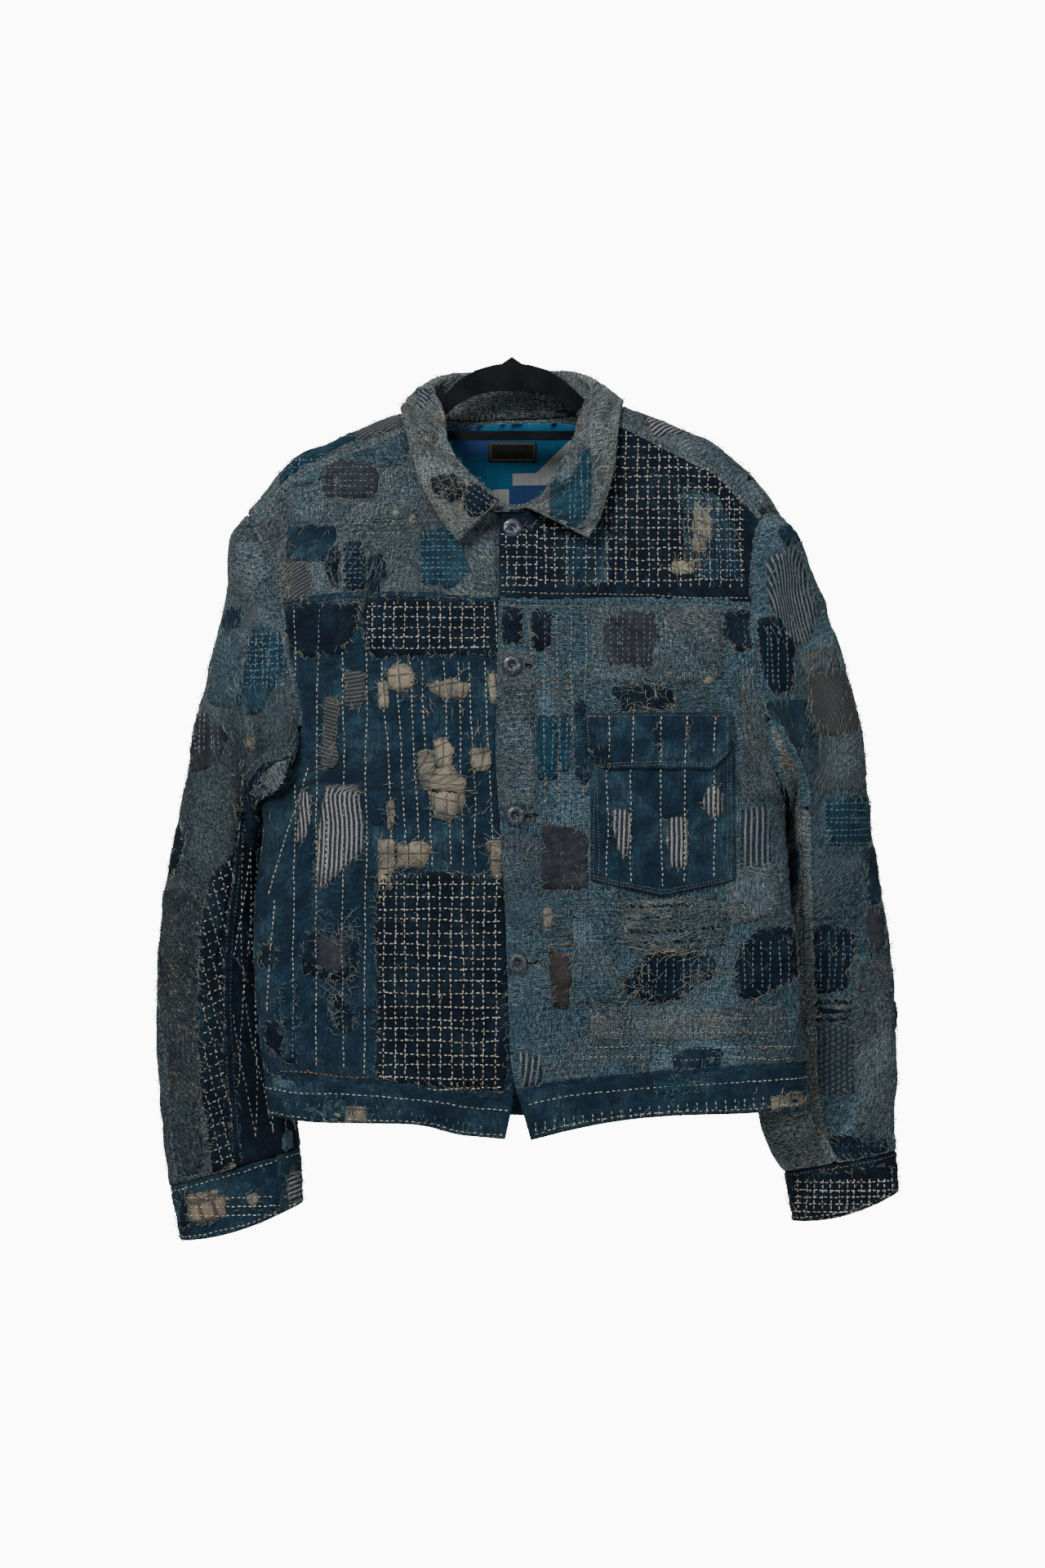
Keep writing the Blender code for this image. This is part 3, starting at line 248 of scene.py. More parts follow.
def closure_lift(x, overlap):
    """How far a front stands out (above zero) or in where the two fronts lap."""
    if overlap == RIGHT:
        return CLOSURE_GAP * ease((52 - x) / CLOSURE_RAMP)
    if overlap == LEFT:
        return -CLOSURE_GAP * ease((x + 44) / CLOSURE_RAMP)
    return 0.0


def body(spot, overlap=0, out=0.0):
    """Points of the body from (angle, root depth). The angle runs from -90 at the left side seam to 90 at
    the right one. The root depth is the square root of the depth below the shoulders' top line, taken as
    below zero on the front, so that rows bunch up where the cloth turns over the hanger."""
    angle, root = spot[..., 0], spot[..., 1]
    side = np.where(root < 0, FRONT, BACK)
    depth = root**2
    sine = np.sin(np.radians(angle))
    top_x = shoulder_x(sine)
    z = top_line(top_x) - depth
    x = body_row(z, "centre_x") + body_row(z, "half_width") * sine
    flat = (1 - np.clip(np.abs(sine), 0, 1) ** SQUARENESS) ** (1 / SQUARENESS)
    opened = np.sin(math.pi / 2 * np.clip(depth / OPENING_DEPTH, 0, 1))
    radius = top_line(top_x, "radius") * flat**0.3
    turned = np.sqrt(1 - (1 - np.clip(depth / np.maximum(radius, 1e-6), 0, 1)) ** 2)
    reach = np.where(side == FRONT, body_row(z, "front"), body_row(z, "back")) * flat
    folds = fold_height(x, z, side) * opened * flat
    away = radius * turned + (reach - radius) * opened + folds
    lifted = closure_lift(x, overlap) + out
    y = body_row(z, "side_y") * opened + side * (away + lifted)
    return np.stack([x, y, z], axis=-1)


# %% Places on the body
def spot_of(x, z, side):
    """The body's (angle, root depth) of a place seen at (x, z) from the front or the back."""
    x, z = np.asarray(x, float), np.asarray(z, float)
    sine = np.clip((x - body_row(z, "centre_x")) / body_row(z, "half_width"), -1, 1)
    depth = np.maximum(top_line(shoulder_x(sine)) - z, 0)
    return np.stack([np.degrees(np.arcsin(sine)), side * np.sqrt(depth)], axis=-1)


def spot_below(x, root):
    """The same from x and a root depth."""
    sine = np.clip((np.asarray(x, float) - BODY[-1, 1]) / BODY[-1, 2], -1, 1)
    return np.stack([np.degrees(np.arcsin(sine)), np.broadcast_to(root, sine.shape)], axis=-1)


def rooted(points):
    """Points given by their signed depths, changed to root depths."""
    return [(x, math.copysign(math.sqrt(abs(depth)), depth)) for x, depth in points]


def spaced(points, cells, to_spot, by_root=False, bunching=1.0):
    """Spots at even steps over the body, along a smooth curve through the given points. Even steps of root
    depth bunch up where the curve crosses the top line."""
    points = np.asarray(points, float)
    steps = np.linalg.norm(np.diff(points, axis=0) * (1, 4), axis=1)
    knots = np.concatenate([[0], np.cumsum(steps)])
    fine = smooth(np.linspace(0, knots[-1], 40 * cells + 1), knots, points)
    track = body(to_spot(fine))
    if by_root:
        track = fine[:, 1:]
    run = np.concatenate([[0], np.cumsum(np.linalg.norm(np.diff(track, axis=0), axis=1))])
    at = np.interp(run[-1] * np.linspace(0, 1, cells + 1) ** bunching, run, np.arange(len(fine)))
    low = np.minimum(at.astype(int), len(fine) - 2)
    return to_spot(fine[low] + (at - low)[:, None] * (fine[low + 1] - fine[low]))


def seam(points, side, cells, bunching=1.0):
    """A seam of the body from its (x, z) points."""
    return spaced(points, cells, lambda found: spot_of(found[..., 0], found[..., 1], side),
                  bunching=bunching)


def seam_below(points, cells, by_root=False):
    """A seam over the shoulders from its (x, signed depth) points."""
    return spaced(rooted(points), cells, lambda found: spot_below(found[..., 0], found[..., 1]), by_root)


def outward(spots):
    """Directions straight out of the body."""
    angle, root = spots[..., 0], spots[..., 1]
    low, high = np.clip(angle - 0.8, -90, 90), np.clip(angle + 0.8, -90, 90)
    across = body(np.stack([high, root], axis=-1)) - body(np.stack([low, root], axis=-1))
    down = body(np.stack([angle, root + 0.05], axis=-1)) - body(np.stack([angle, root - 0.05], axis=-1))
    return unit(np.cross(across, down))


def off_body(spots, overlap, distance):
    """Points straight off the body's middle surface by this distance, outwards if above zero."""
    return body(spots, overlap=overlap) + distance * outward(spots)


# %% [markdown]
# ## Seam lines and panels
#
# A tailor cuts each panel along lines that two pieces share. Here every shared seam is sampled once, and
# each panel is filled in between its four edges, so neighbours meet as sewn pieces do.

# %% Seam tables
ARMHOLE_FRONT = {
    LEFT: ((-198, -371), (-187, -350), (-185, -331), (-188, -281), (-194, -258), (-201, -220)),
    RIGHT: ((231, -369), (226, -345), (221, -314), (215, -290), (212, -258), (208.5, -219)),
}
ARMHOLE_YOKE = {
    LEFT: ((-201, -220), (-204, -198), (-208.5, -176), (-225, -146)),
    RIGHT: ((208.5, -219), (209, -198), (209.5, -178), (219, -150)),
}
ARMHOLE_TOP = {LEFT: -232.0, RIGHT: 237.0}
ARMHOLE_BACK = {
    LEFT: ((-216, -178), (-205, -215), (-200, -262), (-202, -320), (-214, -362)),
    RIGHT: ((221, -178), (210, -215), (205, -262), (207, -320), (222, -362)),
}
BACK_YOKE_SEAM_Z = -206.0
YOKE_SEAM = {
    LEFT: ((-201, -220), (-158, -211.5), (-126, -210), (-60, -211.5), (-15, -215), (19, -215)),
    RIGHT: ((208.5, -219), (190, -216), (120, -215), (85, -216), (20, -215), (-11.4, -214.5)),
}
SHOULDER_SEAM_DEPTH = {LEFT: (-17.0, -15.5), RIGHT: (-29.0, -15.5)}
CENTRE_EDGE = {
    LEFT: ((19, -138), (19, -215), (16, -356), (21, -465), (22, -528), (16, -575), (4, -628), (-5.7, -682)),
    RIGHT: ((-11, -137), (-11.4, -214.5), (-12.5, -272), (-13.8, -356), (-10.7, -402), (-7, -465),
            (-4.3, -528), (-2.9, -575), (2, -634), (16.4, -682)),
}
WAIST_SEAM = {
    LEFT: ((-214, -627), (-179, -631), (-124, -632), (-84, -636), (-42, -641), (2, -645)),
    RIGHT: ((254, -618), (214, -619), (172, -621), (110, -626), (49, -631), (3.5, -639)),
}
HEM = {
    LEFT: ((-210, -663), (-179, -667), (-124, -668), (-81, -669), (-42, -678), (-5.7, -681.5)),
    RIGHT: ((253, -655), (222, -658.5), (145, -661), (76, -668), (40, -676), (16.4, -682)),
}
BACK_WAIST_Z = -627.0
BACK_HEM_Z = -666.0
NECK_POINT = {LEFT: -80.0, RIGHT: 80.0}
NECK_FRONT = {
    LEFT: ((-80, -15.5), (-72, -40), (-58, -65), (-38, -87), (-14, -98.5), (19, -100)),
    RIGHT: ((80, -15.5), (71, -42), (56, -67), (36, -87), (14, -98.5), (-11, -98.5)),
}
NECK_BACK = ((-80, -15.5), (-82, 0), (-77, 7), (-60, 12), (-38, 15), (0, 16), (38, 15), (60, 12), (77, 7),
             (82, 0), (80, -15.5))


# %% Shared seams
def joined(*runs):
    """Runs of points end to end, with each shared point once."""
    return np.concatenate([runs[0]] + [run[1:] for run in runs[1:]])


def filled(bottom, top, left, right):
    """A four-sided piece filled in from its edges: the two ruled surfaces less the corners' one."""
    u = np.linspace(0, 1, len(bottom))[None, :, None]
    v = np.linspace(0, 1, len(left))[:, None, None]
    ruled = (1 - v) * bottom[None] + v * top[None] + (1 - u) * left[:, None] + u * right[:, None]
    corners = (1 - v) * ((1 - u) * bottom[0] + u * bottom[-1]) + v * ((1 - u) * top[0] + u * top[-1])
    return ruled - corners


def matched(edge, heights):
    """A centre edge cut at the same shares of its height as another run of heights."""
    x, z = np.array(edge, float).T
    share = (heights - heights[0]) / (heights[-1] - heights[0])
    wanted = z[0] + share * (z[-1] - z[0])
    order = np.argsort(z)
    return np.stack([smooth(wanted, z[order], x[order]), wanted], axis=-1)


def edge_between(hand, low, high):
    """The part of a front's centre edge between two heights, from low to high."""
    x, z = np.array(CENTRE_EDGE[hand], float).T
    order = np.argsort(z)
    inner = [(a, b) for a, b in zip(x[order], z[order]) if low + 1 < b < high - 1]
    ends = [(float(smooth(h, z[order], x[order])), h) for h in (low, high)]
    return [ends[0], *inner, ends[1]]


def between(run, first, last):
    """A run of spots with its ends set to the corners that other seams share."""
    run = run.copy()
    run[0], run[-1] = first, last
    return run


def body_seams(hand):
    """Every seam line of one side that two pieces share, sampled once so that their edges meet."""
    edge = 90.0 * hand
    top = top_line(shoulder_x(hand))
    pit = {side: np.array([edge, side * math.sqrt(top - ARMPIT)]) for side in (FRONT, BACK)}
    pit_x = float(body(pit[FRONT])[0])
    heights = np.linspace(WAIST_SEAM[hand][0][1], ARMPIT, SIDE_ROWS + 1)
    sides = {
        side: np.stack([np.full(SIDE_ROWS + 1, edge), side * np.sqrt(top - heights)], axis=-1)
        for side in (FRONT, BACK)
    }
    front_x, front_depth = ARMHOLE_YOKE[hand][-1][0], SHOULDER_SEAM_DEPTH[hand][0]
    top_x = ARMHOLE_TOP[hand]
    back_x, back_z = np.array(ARMHOLE_BACK[hand], float).T
    yoke_x = float(smooth(-BACK_YOKE_SEAM_Z, -back_z, back_x))
    yoke_depth = float(top_line(yoke_x)) - BACK_YOKE_SEAM_Z
    low = spot_of(*ARMHOLE_YOKE[hand][0], FRONT)
    tip = spot_below(front_x, -math.sqrt(-front_depth))
    blade = spot_of(yoke_x, BACK_YOKE_SEAM_Z, BACK)
    below = [(x, z) for x, z in ARMHOLE_BACK[hand] if z < BACK_YOKE_SEAM_Z - 5]
    up_from_pit = ((pit_x, ARMPIT), *ARMHOLE_FRONT[hand])
    up_back = [(pit_x, ARMPIT), *below[::-1], (yoke_x, BACK_YOKE_SEAM_Z)]
    up_front = ARMHOLE_YOKE[hand][:-1] + ((front_x, float(top_line(front_x)) + front_depth),)
    over = [(front_x, front_depth), (0.55 * front_x + 0.45 * top_x, 0.45 * front_depth), (top_x, 0.0),
            (0.7 * top_x + 0.3 * yoke_x, 14.0), (yoke_x, yoke_depth)]
    neck = spot_below(NECK_POINT[hand], -math.sqrt(-SHOULDER_SEAM_DEPTH[hand][1]))
    middle = (0.5 * (front_x + NECK_POINT[hand]), 0.5 * (front_depth + SHOULDER_SEAM_DEPTH[hand][1]))
    shoulder = [(front_x, front_depth), middle, (NECK_POINT[hand], SHOULDER_SEAM_DEPTH[hand][1])]
    across = SHOULDER_COLUMNS + NECK_COLUMNS
    return {
        "side_front": sides[FRONT],
        "side_back": sides[BACK],
        "arm_front": between(seam(up_from_pit, FRONT, ARM_ROWS, PIT_BUNCHING), pit[FRONT], low),
        "arm_yoke": between(seam(up_front, FRONT, YOKE_ROWS), low, tip),
        "arm_wrap": between(seam_below(over, WRAP_ROWS, by_root=True), tip, blade),
        "arm_back": between(seam(up_back, BACK, ARM_ROWS, PIT_BUNCHING)[::-1], blade, pit[BACK]),
        "shoulder": between(seam_below(shoulder, SHOULDER_COLUMNS), tip, neck),
        "neck": between(seam_below(NECK_FRONT[hand], NECK_COLUMNS), neck,
                        seam_below(NECK_FRONT[hand], 2)[-1]),
        "yoke": seam(YOKE_SEAM[hand], FRONT, across),
        "waist": seam(WAIST_SEAM[hand], FRONT, across),
        "hem": seam(HEM[hand], FRONT, across),
    }


SEAMS = {hand: body_seams(hand) for hand in (LEFT, RIGHT)}
print("seams on each side:", len(SEAMS[LEFT]))

# %% Panels of the body
def heights_of(spots):
    return body(spots)[..., 2]


def front_panel(hand):
    """Spots of a lower front: side seam and armhole on one side, centre edge on the other."""
    seams = SEAMS[hand]
    outer = joined(seams["side_front"], seams["arm_front"])
    outer[0] = seams["waist"][0]
    low, high = heights_of(seams["waist"][-1]), heights_of(seams["yoke"][-1])
    centre = matched(edge_between(hand, float(low), float(high)), heights_of(outer))
    inner = spot_of(centre[:, 0], centre[:, 1], FRONT)
    inner[0], inner[-1] = seams["waist"][-1], seams["yoke"][-1]
    outer[-1] = seams["yoke"][0]
    return filled(seams["waist"], seams["yoke"], outer, inner)


def front_yoke(hand):
    seams = SEAMS[hand]
    top = joined(seams["shoulder"], seams["neck"])
    outer = seams["arm_yoke"].copy()
    outer[0], outer[-1] = seams["yoke"][0], top[0]
    low, high = heights_of(seams["yoke"][-1]), heights_of(seams["neck"][-1])
    centre = matched(edge_between(hand, float(low), float(high)), heights_of(outer))
    inner = spot_of(centre[:, 0], centre[:, 1], FRONT)
    inner[0], inner[-1] = seams["yoke"][-1], top[-1]
    return filled(seams["yoke"], top, outer, inner)


def back_seam():
    """The seam between the back and its yoke, level across the shoulder blades."""
    start, end = SEAMS[LEFT]["arm_wrap"][-1], SEAMS[RIGHT]["arm_wrap"][-1]
    angles = np.linspace(start[0], end[0], 2 * (SHOULDER_COLUMNS + NECK_COLUMNS) + 1)
    x = shoulder_x(np.sin(np.radians(angles)))
    depth = top_line(x) - BACK_YOKE_SEAM_Z
    run = np.stack([angles, np.sqrt(depth)], axis=-1)
    run[0], run[-1] = start, end
    return run


def back_yoke():
    """The back yoke, which wraps over the shoulders to the seams on the front."""
    left, right = SEAMS[LEFT], SEAMS[RIGHT]
    collar_line = between(seam_below(NECK_BACK, 2 * NECK_COLUMNS), left["shoulder"][-1],
                          right["shoulder"][-1])
    top = joined(left["shoulder"], collar_line, right["shoulder"][::-1])
    return filled(back_seam(), top, left["arm_wrap"][::-1], right["arm_wrap"][::-1])


def leaning_line(left_z, middle_z, right_z, cells):
    """A line round the back that meets the fronts' heights at the side seams."""
    angles = np.linspace(-90, 90, cells + 1)
    side_z = np.where(angles < 0, left_z, right_z)
    z = middle_z + (side_z - middle_z) * ease((np.abs(angles) - 30) / 60)
    x = shoulder_x(np.sin(np.radians(angles)))
    return np.stack([angles, np.sqrt(top_line(x) - z)], axis=-1)


def back_waist():
    return leaning_line(WAIST_SEAM[LEFT][0][1], BACK_WAIST_Z, WAIST_SEAM[RIGHT][0][1],
                        2 * (SHOULDER_COLUMNS + NECK_COLUMNS))


def back_hem():
    return leaning_line(HEM[LEFT][0][1], BACK_HEM_Z, HEM[RIGHT][0][1],
                        2 * (SHOULDER_COLUMNS + NECK_COLUMNS))


def back_panel():
    left, right = SEAMS[LEFT], SEAMS[RIGHT]
    edges = [joined(seams["side_back"], seams["arm_back"][::-1]) for seams in (left, right)]
    return filled(back_waist(), back_seam(), *edges)


def waistband():
    """The band round the hem, from one centre edge round the back to the other."""
    rows = []
    for share in np.linspace(0, 1, BAND_ROWS + 1):
        runs = []
        for hand in (LEFT, RIGHT):
            spots = SEAMS[hand]["hem"] * (1 - share) + SEAMS[hand]["waist"] * share
            runs.append(body(spots, overlap=hand))
        spots = back_hem() * (1 - share) + back_waist() * share
        rows.append(joined(runs[0][::-1], body(spots), runs[1]))
    return np.array(rows)


def eased(grid, bottom=SEAM_EASE, top=SEAM_EASE, left=SEAM_EASE, right=SEAM_EASE):
    """The grid with its outer rows and columns drawn in a little, so that pieces don't touch at seams."""
    grid = grid.copy()
    before = grid.copy()
    grid[0] += np.expand_dims(np.broadcast_to(bottom, grid.shape[1]), -1) * unit(before[1] - before[0])
    grid[-1] += np.expand_dims(np.broadcast_to(top, grid.shape[1]), -1) * unit(before[-2] - before[-1])
    grid[:, 0] += np.expand_dims(np.broadcast_to(left, grid.shape[0]),
                                 -1) * unit(before[:, 1] - before[:, 0])
    grid[:, -1] += np.expand_dims(np.broadcast_to(right, grid.shape[0]),
                                  -1) * unit(before[:, -2] - before[:, -1])
    return grid


def panels():
    """Every panel of the body as a grid of points, by name."""
    grids = {}
    for word, hand in (("right", LEFT), ("left", RIGHT)):
        grids["front_" + word] = body(front_panel(hand), overlap=hand)
        grids["yoke_front_" + word] = body(front_yoke(hand), overlap=hand)
    grids["back_yoke"] = body(back_yoke())
    grids["back"] = body(back_panel())
    grids["waistband"] = waistband()
    return grids


# %% Keeping what lies over the panels clear of them
def finer(grid, times):
    """The grid with each cell cut evenly into smaller ones."""
    for axis in (0, 1):
        grid = np.moveaxis(grid, axis, 0)
        at = np.linspace(0, len(grid) - 1, times * (len(grid) - 1) + 1)
        low = np.minimum(at.astype(int), len(grid) - 2)
        grid = grid[low] + (at - low)[:, None, None] * (grid[low + 1] - grid[low])
        grid = np.moveaxis(grid, 0, axis)
    return grid


def panel_samples():
    """Points spread over the panels, with the directions out of the body."""
    points, normals = [], []
    for grid in panels().values():
        fine = finer(grid, 4)
        straight = unit(np.cross(np.gradient(fine, axis=1), np.gradient(fine, axis=0)))
        middle = np.array([4.0, 0.0, 0.0]) + fine * (0, 0, 1)
        middle[..., 2] = np.minimum(middle[..., 2], -90)
        straight *= np.where(((fine - middle) * straight).sum(axis=-1, keepdims=True) < 0, -1, 1)
        points.append(fine.reshape(-1, 3))
        normals.append(straight.reshape(-1, 3))
    return np.concatenate(points), np.concatenate(normals)


def nearest(points, samples):
    """For each point the number of the sample nearest to it: the least of half |s| squared less p.s."""
    half = (samples**2).sum(axis=1) / 2
    found = [np.argmin(half - block @ samples.T, axis=1) for block in np.array_split(points,
            1 + len(points) // 400)]
    return np.concatenate(found)


def clear_of_panels(points, gap, depth=25.0):
    """The points, with those nearer than the gap to the outside of a panel moved straight off it."""
    samples, normals = PANEL_SAMPLES
    flat = points.reshape(-1, 3)
    chosen = nearest(flat, samples)
    apart = flat - samples[chosen]
    rise = (apart * normals[chosen]).sum(axis=1)
    beside = (apart**2).sum(axis=1) - rise**2
    near = (rise > -depth) & (rise < gap) & (beside < REST_REACH**2)
    return (flat + np.where(near, gap - rise, 0)[:, None] * normals[chosen]).reshape(points.shape)


def cleared(grid, gap):
    """The grid, all but its first row moved as far as the furthest move that the cells round each point
    need."""
    fine = finer(grid, 3)
    moved = np.pad(clear_of_panels(fine, gap) - fine, ((2, 2), (2, 2), (0, 0)))
    far = np.linalg.norm(moved, axis=-1)
    windows = np.lib.stride_tricks.sliding_window_view(far, (5, 5))[::3, ::3]
    most = windows.reshape(*windows.shape[:2], -1).argmax(axis=-1)
    row, col = np.meshgrid(*[3 * np.arange(n) for n in grid.shape[:2]], indexing="ij")
    push = moved[row + most // 5, col + most % 5]
    push[0] = 0
    return grid + push


PANEL_SAMPLES = panel_samples()

# %% [markdown]
# ## Sleeves and cuffs
#
# A sleeve is rings that start on the armhole and turn down into the table of its outline. Its folds are
# bells in angle and length. The cap hangs from the seam, so it is a cubic between seam and first ring.

# %% Sleeve tables
# Columns: outer_x, outer_z, inner_x, inner_z, middle_y, half_depth
SLEEVE = {
    LEFT: np.array(
        [
            (-269.5, -295, -220, -404, 10, 44),
            (-281.5, -349, -223, -442, 16, 42),
            (-293, -413, -223, -478, 21, 40),
            (-304.5, -470, -222, -520, 25, 39),
            (-311.5, -538, -217, -565, 29, 38),
            (-311.5, -595, -209, -606, 33, 37),
            (-311, -649, -198, -640, 36, 36),
            (-305, -696, -191, -671, 36, 34),
            (-300.5, -728, -188, -694, 34, 31),
        ],
        float,
    ),
    RIGHT: np.array(
        [
            (296.5, -295, 245, -408, 10, 44),
            (309, -349, 243, -445, 18, 42),
            (314, -410, 240, -481, 26, 40),
            (324.5, -470, 235, -520, 34, 38),
            (334, -535, 228, -565, 39, 37),
            (339, -595, 221, -610, 42, 36),
            (339, -642, 217, -649, 42, 35),
            (335.5, -674, 224, -684, 38, 33),
            (337.5, -697, 241, -714, 34, 31),
        ],
        float,
    ),
}
CUFF_END = {LEFT: (-291, -771, -186, -740, 32, 27), RIGHT: (340, -730, 248, -754, 32, 27)}
CUFF_SPAN = {LEFT: (135.0, -232.0), RIGHT: (-140.0, -505.0)}
CUFF_LAP = 2.4
SLEEVE_SQUARENESS = 0.88
SLEEVE_TWIST = -35.0
UNDER_SLEEVE_FROM = 128.0
UNDER_SLEEVE_TO = -122.0
FALL_OUT = (0.55, 0.35)
FALL_DOWN = (0.83, -0.35)
# Columns: angle, along, angle_spread, along_spread, inward, forward, up
SLEEVE_FOLDS = {
    LEFT: (
        (132, 0.30, 26, 0.16, 13, 20, -5),
        (112, 0.62, 22, 0.20, 0, 7, 0),
        (132, 0.98, 26, 0.13, -2, -9, 0),
        (96, 1.22, 24, 0.05, 0, 4, 0),
        (88, 1.32, 30, 0.04, 0, -4, 0),
        (60, 1.52, 34, 0.04, 0, 3.5, 0),
        (96, 1.66, 34, 0.04, 0, -3.5, 0),
        (-90, 1.10, 40, 0.06, 0, -5, 0),
        (-80, 1.30, 40, 0.06, 0, 4, 0),
        (-100, 1.50, 40, 0.06, 0, -4, 0),
    ),
    RIGHT: (
        (122, 0.55, 22, 0.26, 2, 11, 0),
        (84, 0.78, 15, 0.30, 0, -8, 0),
        (152, 0.62, 18, 0.22, -3, -9, 0),
        (110, 1.06, 22, 0.07, 0, -5, 0),
        (84, 1.20, 30, 0.05, 0, 4, 0),
        (76, 1.44, 34, 0.05, 0, -4, 0),
        (100, 1.58, 34, 0.05, 0, 4, 0),
        (-90, 1.10, 40, 0.06, 0, -5, 0),
        (-80, 1.30, 40, 0.06, 0, 4, 0),
        (-100, 1.50, 40, 0.06, 0, -4, 0),
    ),
}


# %% Sleeves and cuffs as rings
def seated(points, spots, toward, along, extra=0.0):
    """Edge points of a piece that leaves a seam of the body at an angle, moved off the body's wall so that
    the two don't touch: more, the further the piece turns back over the wall."""
    normal = outward(spots)
    heading = unit(toward - points)
    normal = normal * np.where((normal * heading).sum(axis=1, keepdims=True) < 0, -1, 1)
    run = unit(np.gradient(points, axis=0))
    onward = unit(np.cross(normal, run))
    onward = onward * np.where((onward * along).sum(axis=1, keepdims=True) < 0, -1, 1)
    cosine = (heading * onward).sum(axis=1, keepdims=True)
    rise = SHELL / 2 * (1 - cosine) + (0.5 + extra) * np.sqrt(np.maximum(1 - cosine**2, 0))
    return points + (0.3 + extra) * heading + rise * normal


def armhole(hand):
    """Spots and points of the sleeve's seam and their angles round the sleeve, from the armpit up the front
    and down the back."""
    seams = SEAMS[hand]
    front = joined(seams["arm_front"], seams["arm_yoke"])
    spots = joined(front, seams["arm_wrap"], seams["arm_back"])
    points = body(spots)
    top = ARM_ROWS + YOKE_ROWS + WRAP_ROWS // 2
    run = np.concatenate([[0], np.cumsum(np.linalg.norm(np.diff(points, axis=0), axis=1))])
    angles = np.where(
        np.arange(len(points)) <= top,
        180 * (1 - run / run[top]),
        -180 * (run - run[top]) / (run[-1] - run[top]),
    )
    return spots, points, angles


def ring(rows, at, angles):
    """Points round a sleeve at a place along its table: a flattened ellipse between its two edges."""
    values = smooth(np.asarray(at, float), np.arange(len(rows), dtype=float), rows)
    outer_x, outer_z, inner_x, inner_z, middle_y, half_depth = np.moveaxis(values, -1, 0)
    cosine, sine = np.cos(np.radians(angles)), np.sin(np.radians(angles))
    wide = np.sign(cosine) * np.abs(cosine) ** SLEEVE_SQUARENESS
    deep = np.sign(sine) * np.abs(sine) ** SLEEVE_SQUARENESS
    x = (outer_x + inner_x) / 2 + (outer_x - inner_x) / 2 * wide
    z = (outer_z + inner_z) / 2 + (outer_z - inner_z) / 2 * wide
    return np.stack([x, middle_y - half_depth * deep, z], axis=-1)


def sleeve_folds(hand, points, angles, along):
    moved = points.copy()
    for angle, place, wide, long, inward, forward, up in SLEEVE_FOLDS[hand]:
        apart = (angles - angle + 180) % 360 - 180
        bell = np.exp(-((apart / wide) ** 2) - ((along - place) / long) ** 2)
        fade = ease(along / 0.12) * ease((2 - along) / 0.08)
        moved += (bell * fade)[..., None] * np.array([-hand * inward, -forward, up])
    return moved


def sleeve(hand):
    """Rings of a sleeve from the armhole to the cuff seam. The cap is a cubic from each point of the
    armhole to its point on the first ring of the table, and the rest follows the table with a slow
    twist."""
    rows = SLEEVE[hand]
    spots, start, angles = armhole(hand)
    low = angles + SLEEVE_TWIST * 0.25
    end = ring(rows, np.zeros(len(angles)), low)
    chord = np.linalg.norm(end - start, axis=1, keepdims=True)
    face = np.sin(np.radians(angles)) ** 2
    away = unit(np.stack([
        hand * (FALL_OUT[0] + FALL_OUT[1] * face), np.zeros(len(angles)),
        -(FALL_DOWN[0] + FALL_DOWN[1] * face)
    ], axis=-1))
    onward = unit(ring(rows, np.full(len(angles), 0.1), low) - end)
    rings, places = [], []
    for t in np.linspace(0, 1, CAP_ROWS + 1):
        blend = (1 + 2 * t) * (1 - t) ** 2 * start + t * t * (3 - 2 * t) * end
        rings.append(blend + t * (1 - t) ** 2 * chord * away - t * t * (1 - t) * chord * onward)
        places.append(t)
    for t in np.linspace(0, 1, SLEEVE_ROWS + 1)[1:]:
        turned = angles + SLEEVE_TWIST * (0.25 + 0.75 * ease(t))
        rings.append(ring(rows, np.full(len(angles), t * (len(rows) - 1)), turned))
        places.append(1 + t)
    rings, places = np.array(rings), np.array(places)[:, None]
    rings = sleeve_folds(hand, rings, np.broadcast_to(angles, rings.shape[:2]), places)
    extra = 0.4 + ARMPIT_EASE * np.clip(-np.cos(np.radians(angles)), 0, 1)[:, None] ** 6
    below = np.clip(-np.cos(np.radians(angles)), 0, 1)[:, None] ** 4 * np.array([hand, 0, 0])
    rings[1:4] += PIT_HANG * below * np.array([1.0, 0.8, 0.4])[:, None, None]
    for _ in range(3):
        rings = cleared(rings, REST_GAP)
        rings[0] = seated(start, spots, rings[1], start.mean(axis=0) - start, extra)
    return rings, angles


def cuff(hand):
    """A band round the sleeve's end whose last stretch laps over its first."""
    rows = np.array([SLEEVE[hand][-1], CUFF_END[hand]])
    first, last = CUFF_SPAN[hand]
    angles = np.linspace(first, last, CUFF_COLUMNS + 1)
    share = np.linspace(0, 1, CUFF_COLUMNS + 1)
    grown = CUFF_LAP * (ease(share / 0.16) * 0.5 + ease((share - 0.80) / 0.16) * 0.5 - 0.5)
    lines = []
    for place in np.linspace(1, 0, CUFF_ROWS + 1):
        row = rows[0] * (1 - place) + rows[1] * place
        points = ring(np.array([row, row]), np.zeros(len(angles)), angles)
        middle = np.array([(row[0] + row[2]) / 2, row[4], (row[1] + row[3]) / 2])
        lines.append(points + grown[:, None] * unit(points - middle))
    lines = np.array(lines)
    fall = unit(lines[0] - lines[-1])
    lines[-1] += fall * 0.4
    return lines


# %% [markdown]
# ## Collar, pocket, flap, lining and tab
#
# The collar is one wall that climbs the stand, turns over a crest and comes down as the leaf. The small
# pieces are worked out from the front's or the back's own points, moved out or in by their place in the pile.

